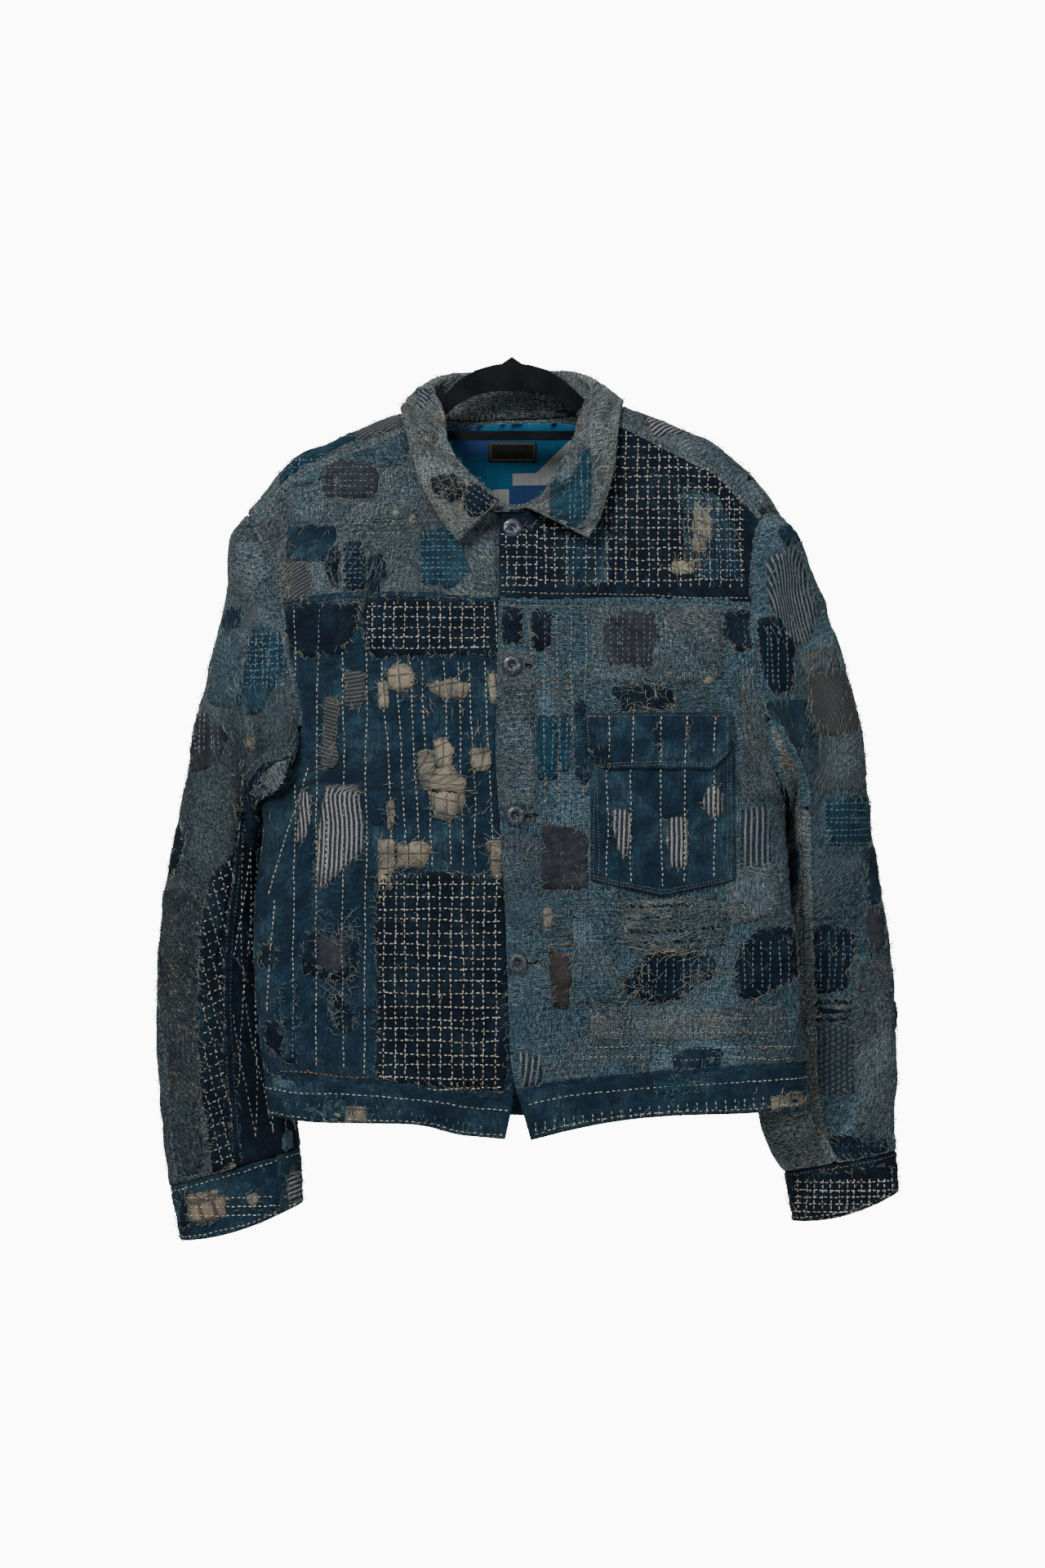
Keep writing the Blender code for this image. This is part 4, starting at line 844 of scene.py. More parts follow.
# %% Collar
# Columns: seam_x, seam_depth, fold_x, fold_y, fold_z, edge_x, edge_y, edge_z
COLLAR = np.array(
    [
        (-14, -98.5, -11, -47, -129, -46, -55, -165),
        (-38, -87, -24, -46, -116, -59, -53, -149),
        (-58, -65, -43, -40, -98, -71, -46, -128),
        (-72, -40, -56, -29, -76, -82, -34, -106),
        (-80, -15.5, -61, -14, -44, -92, -19, -68),
        (-82, 0, -70, 3, -25, -97, 4, -44),
        (-77, 7, -56, 20, -15, -88, 30, -50),
        (-38, 15, -32, 29, -12, -50, 41, -62),
        (0, 16, 0, 31, -11, 0, 44, -66),
        (38, 15, 32, 29, -11, 50, 41, -62),
        (77, 7, 56, 20, -13, 88, 30, -48),
        (82, 0, 70, 3, -24, 97, 4, -41),
        (80, -15.5, 62, -14, -43, 93, -19, -62),
        (71, -42, 51, -29, -82, 90, -34, -95),
        (56, -67, 38, -41, -104, 83, -47, -124),
        (36, -87, 26, -48, -124, 74, -54, -149),
        (14, -98.5, 12, -49, -134, 66, -56, -161),
    ],
    float,
)
FOLD_HALF_WIDTH = 3.0
FOLD_DROP = 1.6
LEAF_CROWN = 3.5


def collar():
    """The collar's wall: up the stand from the neckline, over the crest and down the leaf."""
    rows = np.arange(len(COLLAR), dtype=float)
    at = np.interp(np.arange(sum(COLLAR_CELLS) + 1), np.concatenate([[0], np.cumsum(COLLAR_CELLS)]), rows)
    seam_x, seam_depth, *rest = smooth(at, rows, COLLAR).T
    fold, edge = np.array(rest[:3]).T, np.array(rest[3:]).T
    spots = spot_below(seam_x, np.sign(seam_depth) * np.sqrt(np.abs(seam_depth)))
    root = body(spots)
    root = seated(root, spots, fold, (0.0, -8.0, -60.0) - root, extra=0.6)
    front = ease((-seam_depth - 20) / 50)
    root[:, 1] -= np.where(seam_x > 0, CLOSURE_GAP, -CLOSURE_GAP) * front * (np.abs(seam_x) < 45)
    base = (root + edge) / 2
    up = unit(fold - base)
    across = edge - root
    out = unit(across - (across * up).sum(axis=1, keepdims=True) * up)
    leaf = edge - fold
    line = [
        root,
        root + (fold - root) * 0.5 - out * 0.6,
        fold - out * FOLD_HALF_WIDTH - up * FOLD_DROP * 2.2,
        fold - out * FOLD_HALF_WIDTH * 0.6 - up * FOLD_DROP * 0.4,
        fold + out * FOLD_HALF_WIDTH * 0.6 - up * FOLD_DROP * 0.4,
        fold + out * FOLD_HALF_WIDTH - up * FOLD_DROP * 2.2,
        fold + leaf * 0.38 + out * LEAF_CROWN,
        fold + leaf * 0.70 + out * LEAF_CROWN * 0.7,
        edge,
    ]
    line = np.array(line)
    for _ in range(2):
        line[-4:] = cleared(line[-4:], REST_GAP)
    return line


# %% Pieces that lie on a panel
POCKET = {"left": (67.5, 68.5), "right": (192, 193), "top": -338, "bottom": -457.5, "point": -471}
FLAP = {"left": (62.5, 64.5), "right": (188.5, 188), "top": (-313.5, -312), "side": -346, "bottom": -361}
FLAP_BOTTOM = (75.5, 171)
POCKET_WALL = 1.6
POCKET_CELLS = (8, 7)
FLAP_CELLS = (8, 4)
LIE_GAP = 0.8
LINING_INSET = 3.6
LINING_COLUMNS = 18
LINING_ROWS = 12
LINING_TOP_DEPTH = 19.0
LINING_BOTTOM_Z = -622.0
TAB = {"left": -20.5, "right": 21.5, "top": -72.5, "bottom": -90.0, "wall": 0.6, "cells": (4, 2)}


def laid_on_front(x, z, out):
    return off_body(spot_of(x, z, FRONT), RIGHT, out)


def pocket():
    """The patch pocket, which ends in a shallow point, a wall's gap above the front."""
    columns, rows = POCKET_CELLS
    u, v = np.meshgrid(np.linspace(0, 1, columns + 1), np.linspace(0, 1, rows + 1))
    left = POCKET["left"][0] * v + POCKET["left"][1] * (1 - v)
    right = POCKET["right"][0] * v + POCKET["right"][1] * (1 - v)
    x = left + (right - left) * u
    low = POCKET["bottom"] + (POCKET["point"] - POCKET["bottom"]) * (1 - np.abs(2 * u - 1))
    z = low + (POCKET["top"] - low) * v
    return laid_on_front(x, z, SHELL / 2 + LIE_GAP + POCKET_WALL / 2)


def flap():
    """The pocket's flap with its two cut corners, lying on the pocket."""
    columns, rows = FLAP_CELLS
    u, v = np.meshgrid(np.linspace(0, 1, columns + 1), np.linspace(0, 1, rows + 1))
    left = FLAP["left"][0] * v + FLAP["left"][1] * (1 - v)
    right = FLAP["right"][0] * v + FLAP["right"][1] * (1 - v)
    x = left + (right - left) * u
    corner = (FLAP_BOTTOM[0] - FLAP["left"][1]) / (FLAP["right"][1] - FLAP["left"][1])
    rise = np.clip(1 - np.minimum(u, 1 - u) / corner, 0, 1)
    low = FLAP["bottom"] + (FLAP["side"] - FLAP["bottom"]) * rise
    high = FLAP["top"][0] + (FLAP["top"][1] - FLAP["top"][0]) * u
    z = low + (high - low) * v
    return laid_on_front(x, z, SHELL / 2 + 2 * LIE_GAP + POCKET_WALL * 1.5)


def lining_point(x, z, inset):
    return off_body(spot_of(x, z, BACK), 0, -inset)


def lining():
    """The back's lining, hung just inside the yoke and the back."""
    u, v = np.meshgrid(np.linspace(-1, 1, LINING_COLUMNS + 1), np.linspace(0, 1, LINING_ROWS + 1))
    x = 4 + 186 * np.sin(u * math.pi / 2 * 0.85) / math.sin(math.pi / 2 * 0.85)
    high = top_line(x) - LINING_TOP_DEPTH
    z = LINING_BOTTOM_Z + (high - LINING_BOTTOM_Z) * v
    return lining_point(x, z, LINING_INSET)


def tab():
    columns, rows = TAB["cells"]
    u, v = np.meshgrid(np.linspace(0, 1, columns + 1), np.linspace(0, 1, rows + 1))
    x = TAB["left"] + (TAB["right"] - TAB["left"]) * u
    z = TAB["bottom"] + (TAB["top"] - TAB["bottom"]) * v
    return lining_point(x, z, LINING_INSET + LINING / 2 + TAB["wall"] / 2 + 0.5)


# %% [markdown]
# ## From a coarse grid to a shell of cloth
#
# Each grid is read again at small even steps along smooth curves. Its outer side then gets the small form
# of worn cloth: soft creases, seam edges that roll down, and puckers beside the topstitching. The inner
# side stays plain and coarser. Both are closed along the rim, so the piece has a real thickness.

# %% Smooth noise and finer grids
INSIDE = 3
LATTICE = np.random.default_rng(3).random((64, 64))


def noise(u, v, size, kind=0):
    """Smooth value noise from -1 to 1: random heights on a lattice `size` apart, eased between its
    points."""
    u, v = np.asarray(u, float) / size + 17.3 * kind, np.asarray(v, float) / size + 5.7 * kind
    i, j = np.floor(u).astype(int), np.floor(v).astype(int)
    s, t = ease(u - i), ease(v - j)
    corners = [LATTICE[(i + a) % 64, (j + b) % 64] for a, b in ((0, 0), (1, 0), (0, 1), (1, 1))]
    low = corners[0] * (1 - s) + corners[1] * s
    high = corners[2] * (1 - s) + corners[3] * s
    return 2 * (low * (1 - t) + high * t) - 1


def resampled(grid, step):
    """The grid read again at even steps of about `step`, on smooth curves along its columns and then its
    rows."""
    for _ in range(2):
        lengths = np.linalg.norm(np.diff(grid, axis=0), axis=2).mean(axis=1)
        run = np.concatenate([[0], np.cumsum(lengths)])
        cells = max(INSIDE, INSIDE * int(round(run[-1] / step / INSIDE)))
        at = np.interp(np.linspace(0, run[-1], cells + 1), run, np.arange(len(run)))
        flat = smooth(at, np.arange(len(run), dtype=float), grid.reshape(len(grid), -1))
        grid = flat.reshape(cells + 1, *grid.shape[1:]).swapaxes(0, 1)
    return grid


def normals_of(grid):
    """Unit directions across the grid: the cross product of its two slopes."""
    return unit(np.cross(np.gradient(grid, axis=1), np.gradient(grid, axis=0)))


def blended(grid, i, j):
    """Values of a grid between its points, weighted by nearness along rows and columns."""
    i = np.clip(i, 0, grid.shape[0] - 1.001)
    j = np.clip(j, 0, grid.shape[1] - 1.001)
    a, b = i.astype(int), j.astype(int)
    s, t = (i - a)[..., None], (j - b)[..., None]
    return (grid[a, b] * (1 - s) * (1 - t) + grid[a + 1, b] * s * (1 - t)
            + grid[a, b + 1] * (1 - s) * t + grid[a + 1, b + 1] * s * t)


# %% A piece of cloth with its lengths
class Cloth:
    """A cut piece: its fine outer side, the directions out of it, and the lengths across and along it in
    mm."""

    def __init__(self, name, grid, wall, step, facing, creases=(1.0, 1.0), closed=False):
        middle = resampled(grid, step)
        across = np.linalg.norm(np.diff(middle, axis=1), axis=2)
        along = np.linalg.norm(np.diff(middle, axis=0), axis=2)
        self.name, self.wall, self.step, self.closed = name, wall, step, closed
        self.width, self.length = across.sum(axis=1).max(), along.sum(axis=0).max()
        self.area = (across[1:].mean(axis=1) * along.mean(axis=1)).sum() * across.shape[1]
        u = np.pad(np.cumsum(across, axis=1), ((0, 0), (1, 0)))
        v = np.pad(np.cumsum(along, axis=0), ((1, 0), (0, 0)))
        half = u.shape[1] // 2
        self.u = u - u[:, half : half + 1]
        self.v = v - v[len(v) // 2 : len(v) // 2 + 1]
        self.edge = np.minimum(
            np.minimum(u, u[:, -1:] - u) if not closed else np.full(u.shape, 99.0),
            np.minimum(v, v[-1:] - v),
        )
        self.normals = facing * normals_of(middle)
        height = self.small_form(middle, *creases)
        self.inner = middle - self.normals * (wall / 2 - 0.1)
        self.points = middle + self.normals * (wall / 2 + height)[..., None]
        self.normals = facing * normals_of(self.points)

    def small_form(self, middle, soft, fine):
        """Creases as noise stretched along the cloth, a rolled edge, a stitched groove beside it and its
        puckers."""
        x, _, z = np.moveaxis(middle, -1, 0)
        kind = len(self.name)
        creases = 0.75 * noise(x, z, 34, kind) + 0.5 * noise(x + 0.6 * z, z - 0.3 * x, 17, kind + 1)
        ribs = 0.34 * noise(self.u, 0.45 * self.v, 5.2, kind + 2) + 0.22 * noise(0.5 * self.u, self.v, 3.6,
                                                                                 kind + 3)
        run = np.where(np.abs(self.u) < np.abs(self.v), self.u, self.v)
        puckers = 0.55 * np.sin(run / 1.9 + 2 * noise(self.u, self.v, 23,
                                                      kind)) * np.exp(-((self.edge - 6) / 5) ** 2)
        groove = -0.45 * np.exp(-((self.edge - 5.5) / 1.3) ** 2)
        rolled = -0.8 * np.exp(-self.edge / 1.2)
        return soft * creases + fine * (ribs + puckers) + groove + rolled

    def at(self, i, j, out=0.0):
        """Points over the outer side at fractional row i and column j, moved straight out."""
        i, j = np.asarray(i, float), np.asarray(j, float)
        return blended(self.points, i, j) + np.expand_dims(np.broadcast_to(out, i.shape), -1) * self.out(i,
                                                                                                         j)

    def out(self, i, j):
        return unit(blended(self.normals, np.asarray(i, float), np.asarray(j, float)))

    def seen(self, x, z, side=FRONT):
        """The (row, column) of what shows at (x, z) from the front or the back: the nearest point that
        faces that way, then two steps along the local slopes."""
        shown = (self.normals[..., 1] * side > 0.1).ravel()
        places = np.flatnonzero(shown)
        flat = self.points[..., [0, 2]].reshape(-1, 2)
        target = np.stack([np.ravel(x), np.ravel(z)], axis=-1).astype(float)
        found = places[nearest(target, flat[places])]
        i, j = [a.astype(float) for a in np.unravel_index(found, self.u.shape)]
        for _ in range(3):
            here = self.at(i, j)[:, [0, 2]]
            down = self.at(i + 0.5, j)[:, [0, 2]] - self.at(i - 0.5, j)[:, [0, 2]]
            over = self.at(i, j + 0.5)[:, [0, 2]] - self.at(i, j - 0.5)[:, [0, 2]]
            gap = target - here
            cross = down[:, 0] * over[:, 1] - down[:, 1] * over[:, 0]
            cross = np.where(np.abs(cross) < 0.05, 1e9, cross)
            i = i + np.clip((gap[:, 0] * over[:, 1] - gap[:, 1] * over[:, 0]) / cross, -2, 2)
            j = j + np.clip((down[:, 0] * gap[:, 1] - down[:, 1] * gap[:, 0]) / cross, -2, 2)
            i = np.clip(i, 0, self.u.shape[0] - 1)
            j = np.clip(j, 0, self.u.shape[1] - 1)
        return i, j


MM_PER_PIXEL = 0.715
NECK_PIXEL_X = 627
NECK_PIXEL_Y = 437


def px(points):
    """Picture pixels as (x, z) in mm on the jacket's plane."""
    points = np.asarray(points, float)
    return (points[..., 0] - NECK_PIXEL_X) * MM_PER_PIXEL, (NECK_PIXEL_Y - points[..., 1]) * MM_PER_PIXEL


# %% Meshes from arrays
def cells_of(rows, columns, start=0):
    """Quads of a grid whose points are numbered row by row."""
    index = start + np.arange(rows * columns).reshape(rows, columns)
    return np.stack([index[:-1, :-1], index[:-1, 1:], index[1:, 1:], index[1:, :-1]], axis=-1).reshape(-1,
                                                                                                       4)


def mesh_object(name, points, faces, uv=None, values=None, slots=(), face_slots=None, smooth_shading=True):
    """An object at the origin from arrays in mm: corners as an (n, 3 or 4) array of point numbers."""
    mesh = bpy.data.meshes.new(name)
    points = np.asarray(points, np.float32) * METRES
    size = faces.shape[1]
    mesh.vertices.add(len(points))
    mesh.vertices.foreach_set("co", points.ravel())
    mesh.loops.add(faces.size)
    mesh.loops.foreach_set("vertex_index", faces.astype(np.int32).ravel())
    mesh.polygons.add(len(faces))
    mesh.polygons.foreach_set("loop_start", np.arange(0, faces.size, size, dtype=np.int32))
    if uv is not None:
        layer = mesh.uv_layers.new(name="cloth")
        layer.data.foreach_set("uv", (np.asarray(uv, np.float32) * METRES)[faces.ravel()].ravel())
    for key, value in (values or {}).items():
        mesh.attributes.new(key, "FLOAT", "POINT").data.foreach_set("value",
                                                                    np.asarray(value, np.float32).ravel())
    for surface in slots:
        mesh.materials.append(surface)
    if face_slots is not None:
        mesh.polygons.foreach_set("material_index", np.asarray(face_slots, np.int32))
    mesh.polygons.foreach_set("use_smooth", np.full(len(faces), smooth_shading))
    mesh.update(calc_edges=True)
    mesh.validate()
    made = bpy.data.objects.new(name, mesh)
    bpy.context.scene.collection.objects.link(made)
    return made


def triangles(quads):
    return np.concatenate([quads[:, [0, 1, 2]], quads[:, [0, 2, 3]]])


def outward_faces(points, faces):
    """The triangles of a closed mesh, turned over if the sum of their signed volumes is below zero."""
    a, b, c = (points[faces[:, k]] for k in range(3))
    return faces if np.einsum("ij,ij->", a, np.cross(b, c)) > 0 else faces[:, ::-1]


def rim_of(rows, columns, start=0):
    """The numbers of a grid's edge points, once round."""
    index = start + np.arange(rows * columns).reshape(rows, columns)
    return np.concatenate([index[0, :-1], index[:-1, -1], index[-1, :0:-1], index[:0:-1, 0]])


def shell_arrays(cloth):
    """A closed shell: the fine outer grid, an inner grid of every third point, and a fan between their
    rims."""
    rows, columns = cloth.u.shape
    inner = cloth.inner[::INSIDE, ::INSIDE]
    start = rows * columns
    fine, coarse = rim_of(rows, columns), rim_of(*inner.shape[:2], start)
    near = np.repeat(coarse, INSIDE)
    steps = fine[(np.arange(len(coarse)) + 1) * INSIDE % len(fine)]
    faces = np.concatenate([
        triangles(cells_of(rows, columns)),
        triangles(cells_of(*inner.shape[:2], start))[:, ::-1],
        np.stack([fine, near, np.roll(fine, -1)], axis=-1),
        np.stack([steps, coarse, np.roll(coarse, -1)], axis=-1),
    ])
    points = np.concatenate([cloth.points.reshape(-1, 3), inner.reshape(-1, 3)])
    uv = np.stack([cloth.u, cloth.v], axis=-1)
    uv = np.concatenate([uv.reshape(-1, 2), uv[::INSIDE, ::INSIDE].reshape(-1, 2)])
    return points, outward_faces(points, faces), uv

# %% [markdown]
# ## Finishes
#
# Every cloth here is cotton, so its roughness stays near one and its life comes from colour and relief.
# Three effects are shared and built once as node groups: the darned ground, whose short dashes of thread
# stand over dark pits; the plain weave; and the fading of indigo. Patterns read the piece's own map,
# which is in metres along the cloth, so that threads and stripes keep their real size on every fold.

# %% Node helpers
def socket(tree, made, name, value):
    if isinstance(value, bpy.types.NodeSocket):
        tree.links.new(value, made.inputs[name])
    else:
        made.inputs[name].default_value = value


def add(tree, kind, inputs=None, **settings):
    """A node with its settings, and its inputs set to values or joined to other sockets."""
    made = tree.nodes.new(kind)
    for key, value in settings.items():
        setattr(made, key, value)
    for name, value in (inputs or {}).items():
        socket(tree, made, name, value)
    return made


def maths(tree, operation, a, b=0.0, c=0.0):
    made = add(tree, "ShaderNodeMath", operation=operation)
    for index, value in enumerate((a, b, c)):
        socket(tree, made, index, value)
    return made.outputs[0]


def mixed(tree, share, a, b, way="MIX"):
    """Colour a turned to b by the share."""
    made = add(tree, "ShaderNodeMix", data_type="RGBA", blend_type=way)
    for index, value in ((0, share), (6, a), (7, b)):
        value = (*value, 1) if isinstance(value, tuple) and len(value) == 3 else value
        socket(tree, made, index, value)
    return made.outputs[2]


def clouds(tree, vector, scale, detail=2.0, low=0.35, high=0.65):
    """Noise from 0 to 1 with its middle stretched."""
    made = add(tree, "ShaderNodeTexNoise", {"Vector": vector, "Scale": scale, "Detail": detail})
    return ranged(tree, made.outputs["Fac"], low, high)


def ranged(tree, value, low, high, to_low=0.0, to_high=1.0):
    made = add(tree, "ShaderNodeMapRange", interpolation_type="SMOOTHSTEP")
    for index, part in enumerate((value, low, high, to_low, to_high)):
        socket(tree, made, index, part)
    return made.outputs[0]


def group(name, takes, gives):
    """An empty node group with float, vector or colour sockets, and its two end nodes."""
    tree = bpy.data.node_groups.new(name, "ShaderNodeTree")
    kinds = {"f": "NodeSocketFloat", "v": "NodeSocketVector", "c": "NodeSocketColor"}
    for names, way in ((takes, "INPUT"), (gives, "OUTPUT")):
        for key, kind in names.items():
            tree.interface.new_socket(key, in_out=way, socket_type=kinds[kind])
    return tree, tree.nodes.new("NodeGroupInput").outputs, tree.nodes.new("NodeGroupOutput").inputs


def use(tree, which, **inputs):
    made = add(tree, "ShaderNodeGroup")
    made.node_tree = which
    for name, value in inputs.items():
        socket(tree, made, name.replace("_", " "), value)
    return made.outputs


# %% Darned ground: rows of short thread dashes over dark pits
def darned_rows():
    """Dashes: the row is v over the pitch, and each row slides by a random share. A dash is a rounded bump
    that fills most of its cell, and each has its own random number."""
    tree, given, out = group("darned rows", {"Cloth": "v", "Pitch": "f", "Dash": "f", "Wander": "f"},
                             {"Thread": "f", "Random": "f"})
    wander = add(tree, "ShaderNodeTexNoise", {"Vector": given["Cloth"], "Scale": 130.0, "Detail": 1.0})
    shift = add(tree, "ShaderNodeVectorMath", {0: wander.outputs["Color"], 1: (0.5, 0.5, 0.5)},
                operation="SUBTRACT")
    scaled = add(tree, "ShaderNodeVectorMath", {0: shift.outputs[0], "Scale": given["Wander"]},
                 operation="SCALE")
    moved = add(tree, "ShaderNodeVectorMath", {0: given["Cloth"], 1: scaled.outputs[0]}, operation="ADD")
    parts = add(tree, "ShaderNodeSeparateXYZ", {0: moved.outputs[0]}).outputs
    across = maths(tree, "DIVIDE", parts["Y"], given["Pitch"])
    row = maths(tree, "FLOOR", across)
    slide = add(tree, "ShaderNodeTexWhiteNoise", {"W": row}, noise_dimensions="1D").outputs["Value"]
    along = maths(tree, "ADD", maths(tree, "DIVIDE", parts["X"], given["Dash"]),
                  maths(tree, "MULTIPLY", slide, 7.0))
    cell = maths(tree, "FLOOR", along)
    place = add(tree, "ShaderNodeCombineXYZ", {0: cell, 1: row})
    chance = add(tree, "ShaderNodeTexWhiteNoise", {"Vector": place.outputs[0]},
                 noise_dimensions="2D").outputs["Value"]
    side = maths(tree, "ABSOLUTE", maths(tree, "SUBTRACT", maths(tree, "FRACT", across), 0.5))
    end = maths(tree, "ABSOLUTE", maths(tree, "SUBTRACT", maths(tree, "FRACT", along), 0.5))
    wide = ranged(tree, side, 0.5, 0.2)
    long = ranged(tree, end, 0.48, 0.3)
    tree.links.new(maths(tree, "MULTIPLY", wide, long), out["Thread"])
    tree.links.new(chance, out["Random"])
    return tree


DARNED = darned_rows()


# %% Plain weave and faded indigo
def plain_weave():
    """Two crossed sets of ridges a thread apart, warped a little, whose product is the relief of a
    weave."""
    tree, given, out = group("plain weave", {"Cloth": "v", "Threads": "f"}, {"Height": "f", "Slub": "f"})
    size = maths(tree, "MULTIPLY", given["Threads"], 6.2832)
    bend = add(tree, "ShaderNodeTexNoise",
               {"Vector": given["Cloth"], "Scale": 240.0, "Detail": 1.0}).outputs["Fac"]
    parts = add(tree, "ShaderNodeSeparateXYZ", {0: given["Cloth"]}).outputs
    ridges = []
    for axis in ("X", "Y"):
        turn = maths(tree, "ADD", maths(tree, "MULTIPLY", parts[axis], size),
                     maths(tree, "MULTIPLY", bend, 5.0))
        ridges.append(maths(tree, "SINE", turn))
    tree.links.new(maths(tree, "MULTIPLY_ADD", maths(tree, "ADD", *ridges), 0.25, 0.5), out["Height"])
    stretched = add(tree, "ShaderNodeMapping", {"Vector": given["Cloth"], "Scale": (500.0, 28.0, 1.0)})
    slub = add(tree, "ShaderNodeTexNoise", {"Vector": stretched.outputs[0], "Scale": 1.0, "Detail": 2.0})
    tree.links.new(slub.outputs["Fac"], out["Slub"])
    return tree


def faded_indigo():
    """Deep dye worn to a paler blue: large clouds times the cloth's own slubs, with pale rubbed spots."""
    tree, given, out = group("faded indigo",
                             {"Cloth": "v", "Deep": "c", "Faded": "c", "Pale": "c", "Wear": "f"},
                             {"Color": "c", "Worn": "f"})
    large = clouds(tree, given["Cloth"], 24.0, 5.0, 0.40, 0.74)
    stretched = add(tree, "ShaderNodeMapping", {"Vector": given["Cloth"], "Scale": (420.0, 60.0, 1.0)})
    streak = clouds(tree, stretched.outputs[0], 1.0, 4.0, 0.32, 0.72)
    fine = clouds(tree, given["Cloth"], 420.0, 2.0, 0.4, 0.7)
    worn = maths(tree, "MULTIPLY", large, maths(tree, "MULTIPLY_ADD", streak, 0.75, 0.25))
    worn = maths(tree, "MULTIPLY", worn, given["Wear"])
    base = mixed(tree, worn, given["Deep"], given["Faded"])
    spots = maths(tree, "MULTIPLY", maths(tree, "MULTIPLY", fine, worn), 0.55)
    tree.links.new(mixed(tree, spots, base, given["Pale"]), out["Color"])
    tree.links.new(worn, out["Worn"])
    return tree


WEAVE = plain_weave()
FADED = faded_indigo()


# %% Colours, linear
DEEP = (0.0022, 0.0080, 0.0195)
NAVY = (0.0068, 0.0245, 0.0460)
FADE = (0.0260, 0.0680, 0.0960)
PALE = (0.0850, 0.1250, 0.1450)
PIT = (0.0025, 0.0080, 0.0140)
SLATE = (0.1380, 0.2180, 0.2600)
TAN = (0.2850, 0.2480, 0.1820)
TEAL = (0.0080, 0.0390, 0.0640)
MAUVE = (0.0300, 0.0330, 0.0410)
CREAM = (0.7200, 0.6700, 0.5800)
ICE = (0.1900, 0.3000, 0.3800)


# %% Surfaces
def surface(name, roughness=0.9, sheen=0.03, metallic=0.0):
    """An empty material: its tree, its shader and the piece's own map in metres."""
    made = bpy.data.materials.new(name)
    made.use_nodes = True
    tree = made.node_tree
    shader = tree.nodes["Principled BSDF"]
    shader.inputs["Roughness"].default_value = roughness
    shader.inputs["Metallic"].default_value = metallic
    shader.inputs["Sheen Weight"].default_value = sheen
    shader.inputs["Sheen Roughness"].default_value = 0.6
    shader.inputs["Specular IOR Level"].default_value = 0.08
    where = add(tree, "ShaderNodeUVMap", uv_map="cloth").outputs["UV"]
    return made, tree, shader, where


def finish(tree, shader, colour, height, depth=0.0006, strength=1.0):
    """Joins a colour and a relief to the shader, the relief through a Bump of that depth in metres."""
    socket(tree, shader, "Base Color", colour)
    bump = add(tree, "ShaderNodeBump", {"Height": height, "Distance": depth, "Strength": strength})
    socket(tree, shader, "Normal", bump.outputs["Normal"])


def sewn_rows(tree, where, pitch, dash):
    """Level rows of thin dashes: a band about the middle of each pitch, cut into dashes that slide from row
    to row."""
    parts = add(tree, "ShaderNodeSeparateXYZ", {0: where}).outputs
    across = maths(tree, "DIVIDE", parts["Y"], pitch)
    row = maths(tree, "FLOOR", across)
    slide = add(tree, "ShaderNodeTexWhiteNoise", {"W": row}, noise_dimensions="1D").outputs["Value"]
    along = maths(tree, "ADD", maths(tree, "DIVIDE", parts["X"], dash), slide)
    side = maths(tree, "ABSOLUTE", maths(tree, "SUBTRACT", maths(tree, "FRACT", across), 0.5))
    end = maths(tree, "ABSOLUTE", maths(tree, "SUBTRACT", maths(tree, "FRACT", along), 0.5))
    return maths(tree, "MULTIPLY", ranged(tree, side, 0.15, 0.07), ranged(tree, end, 0.38, 0.30))


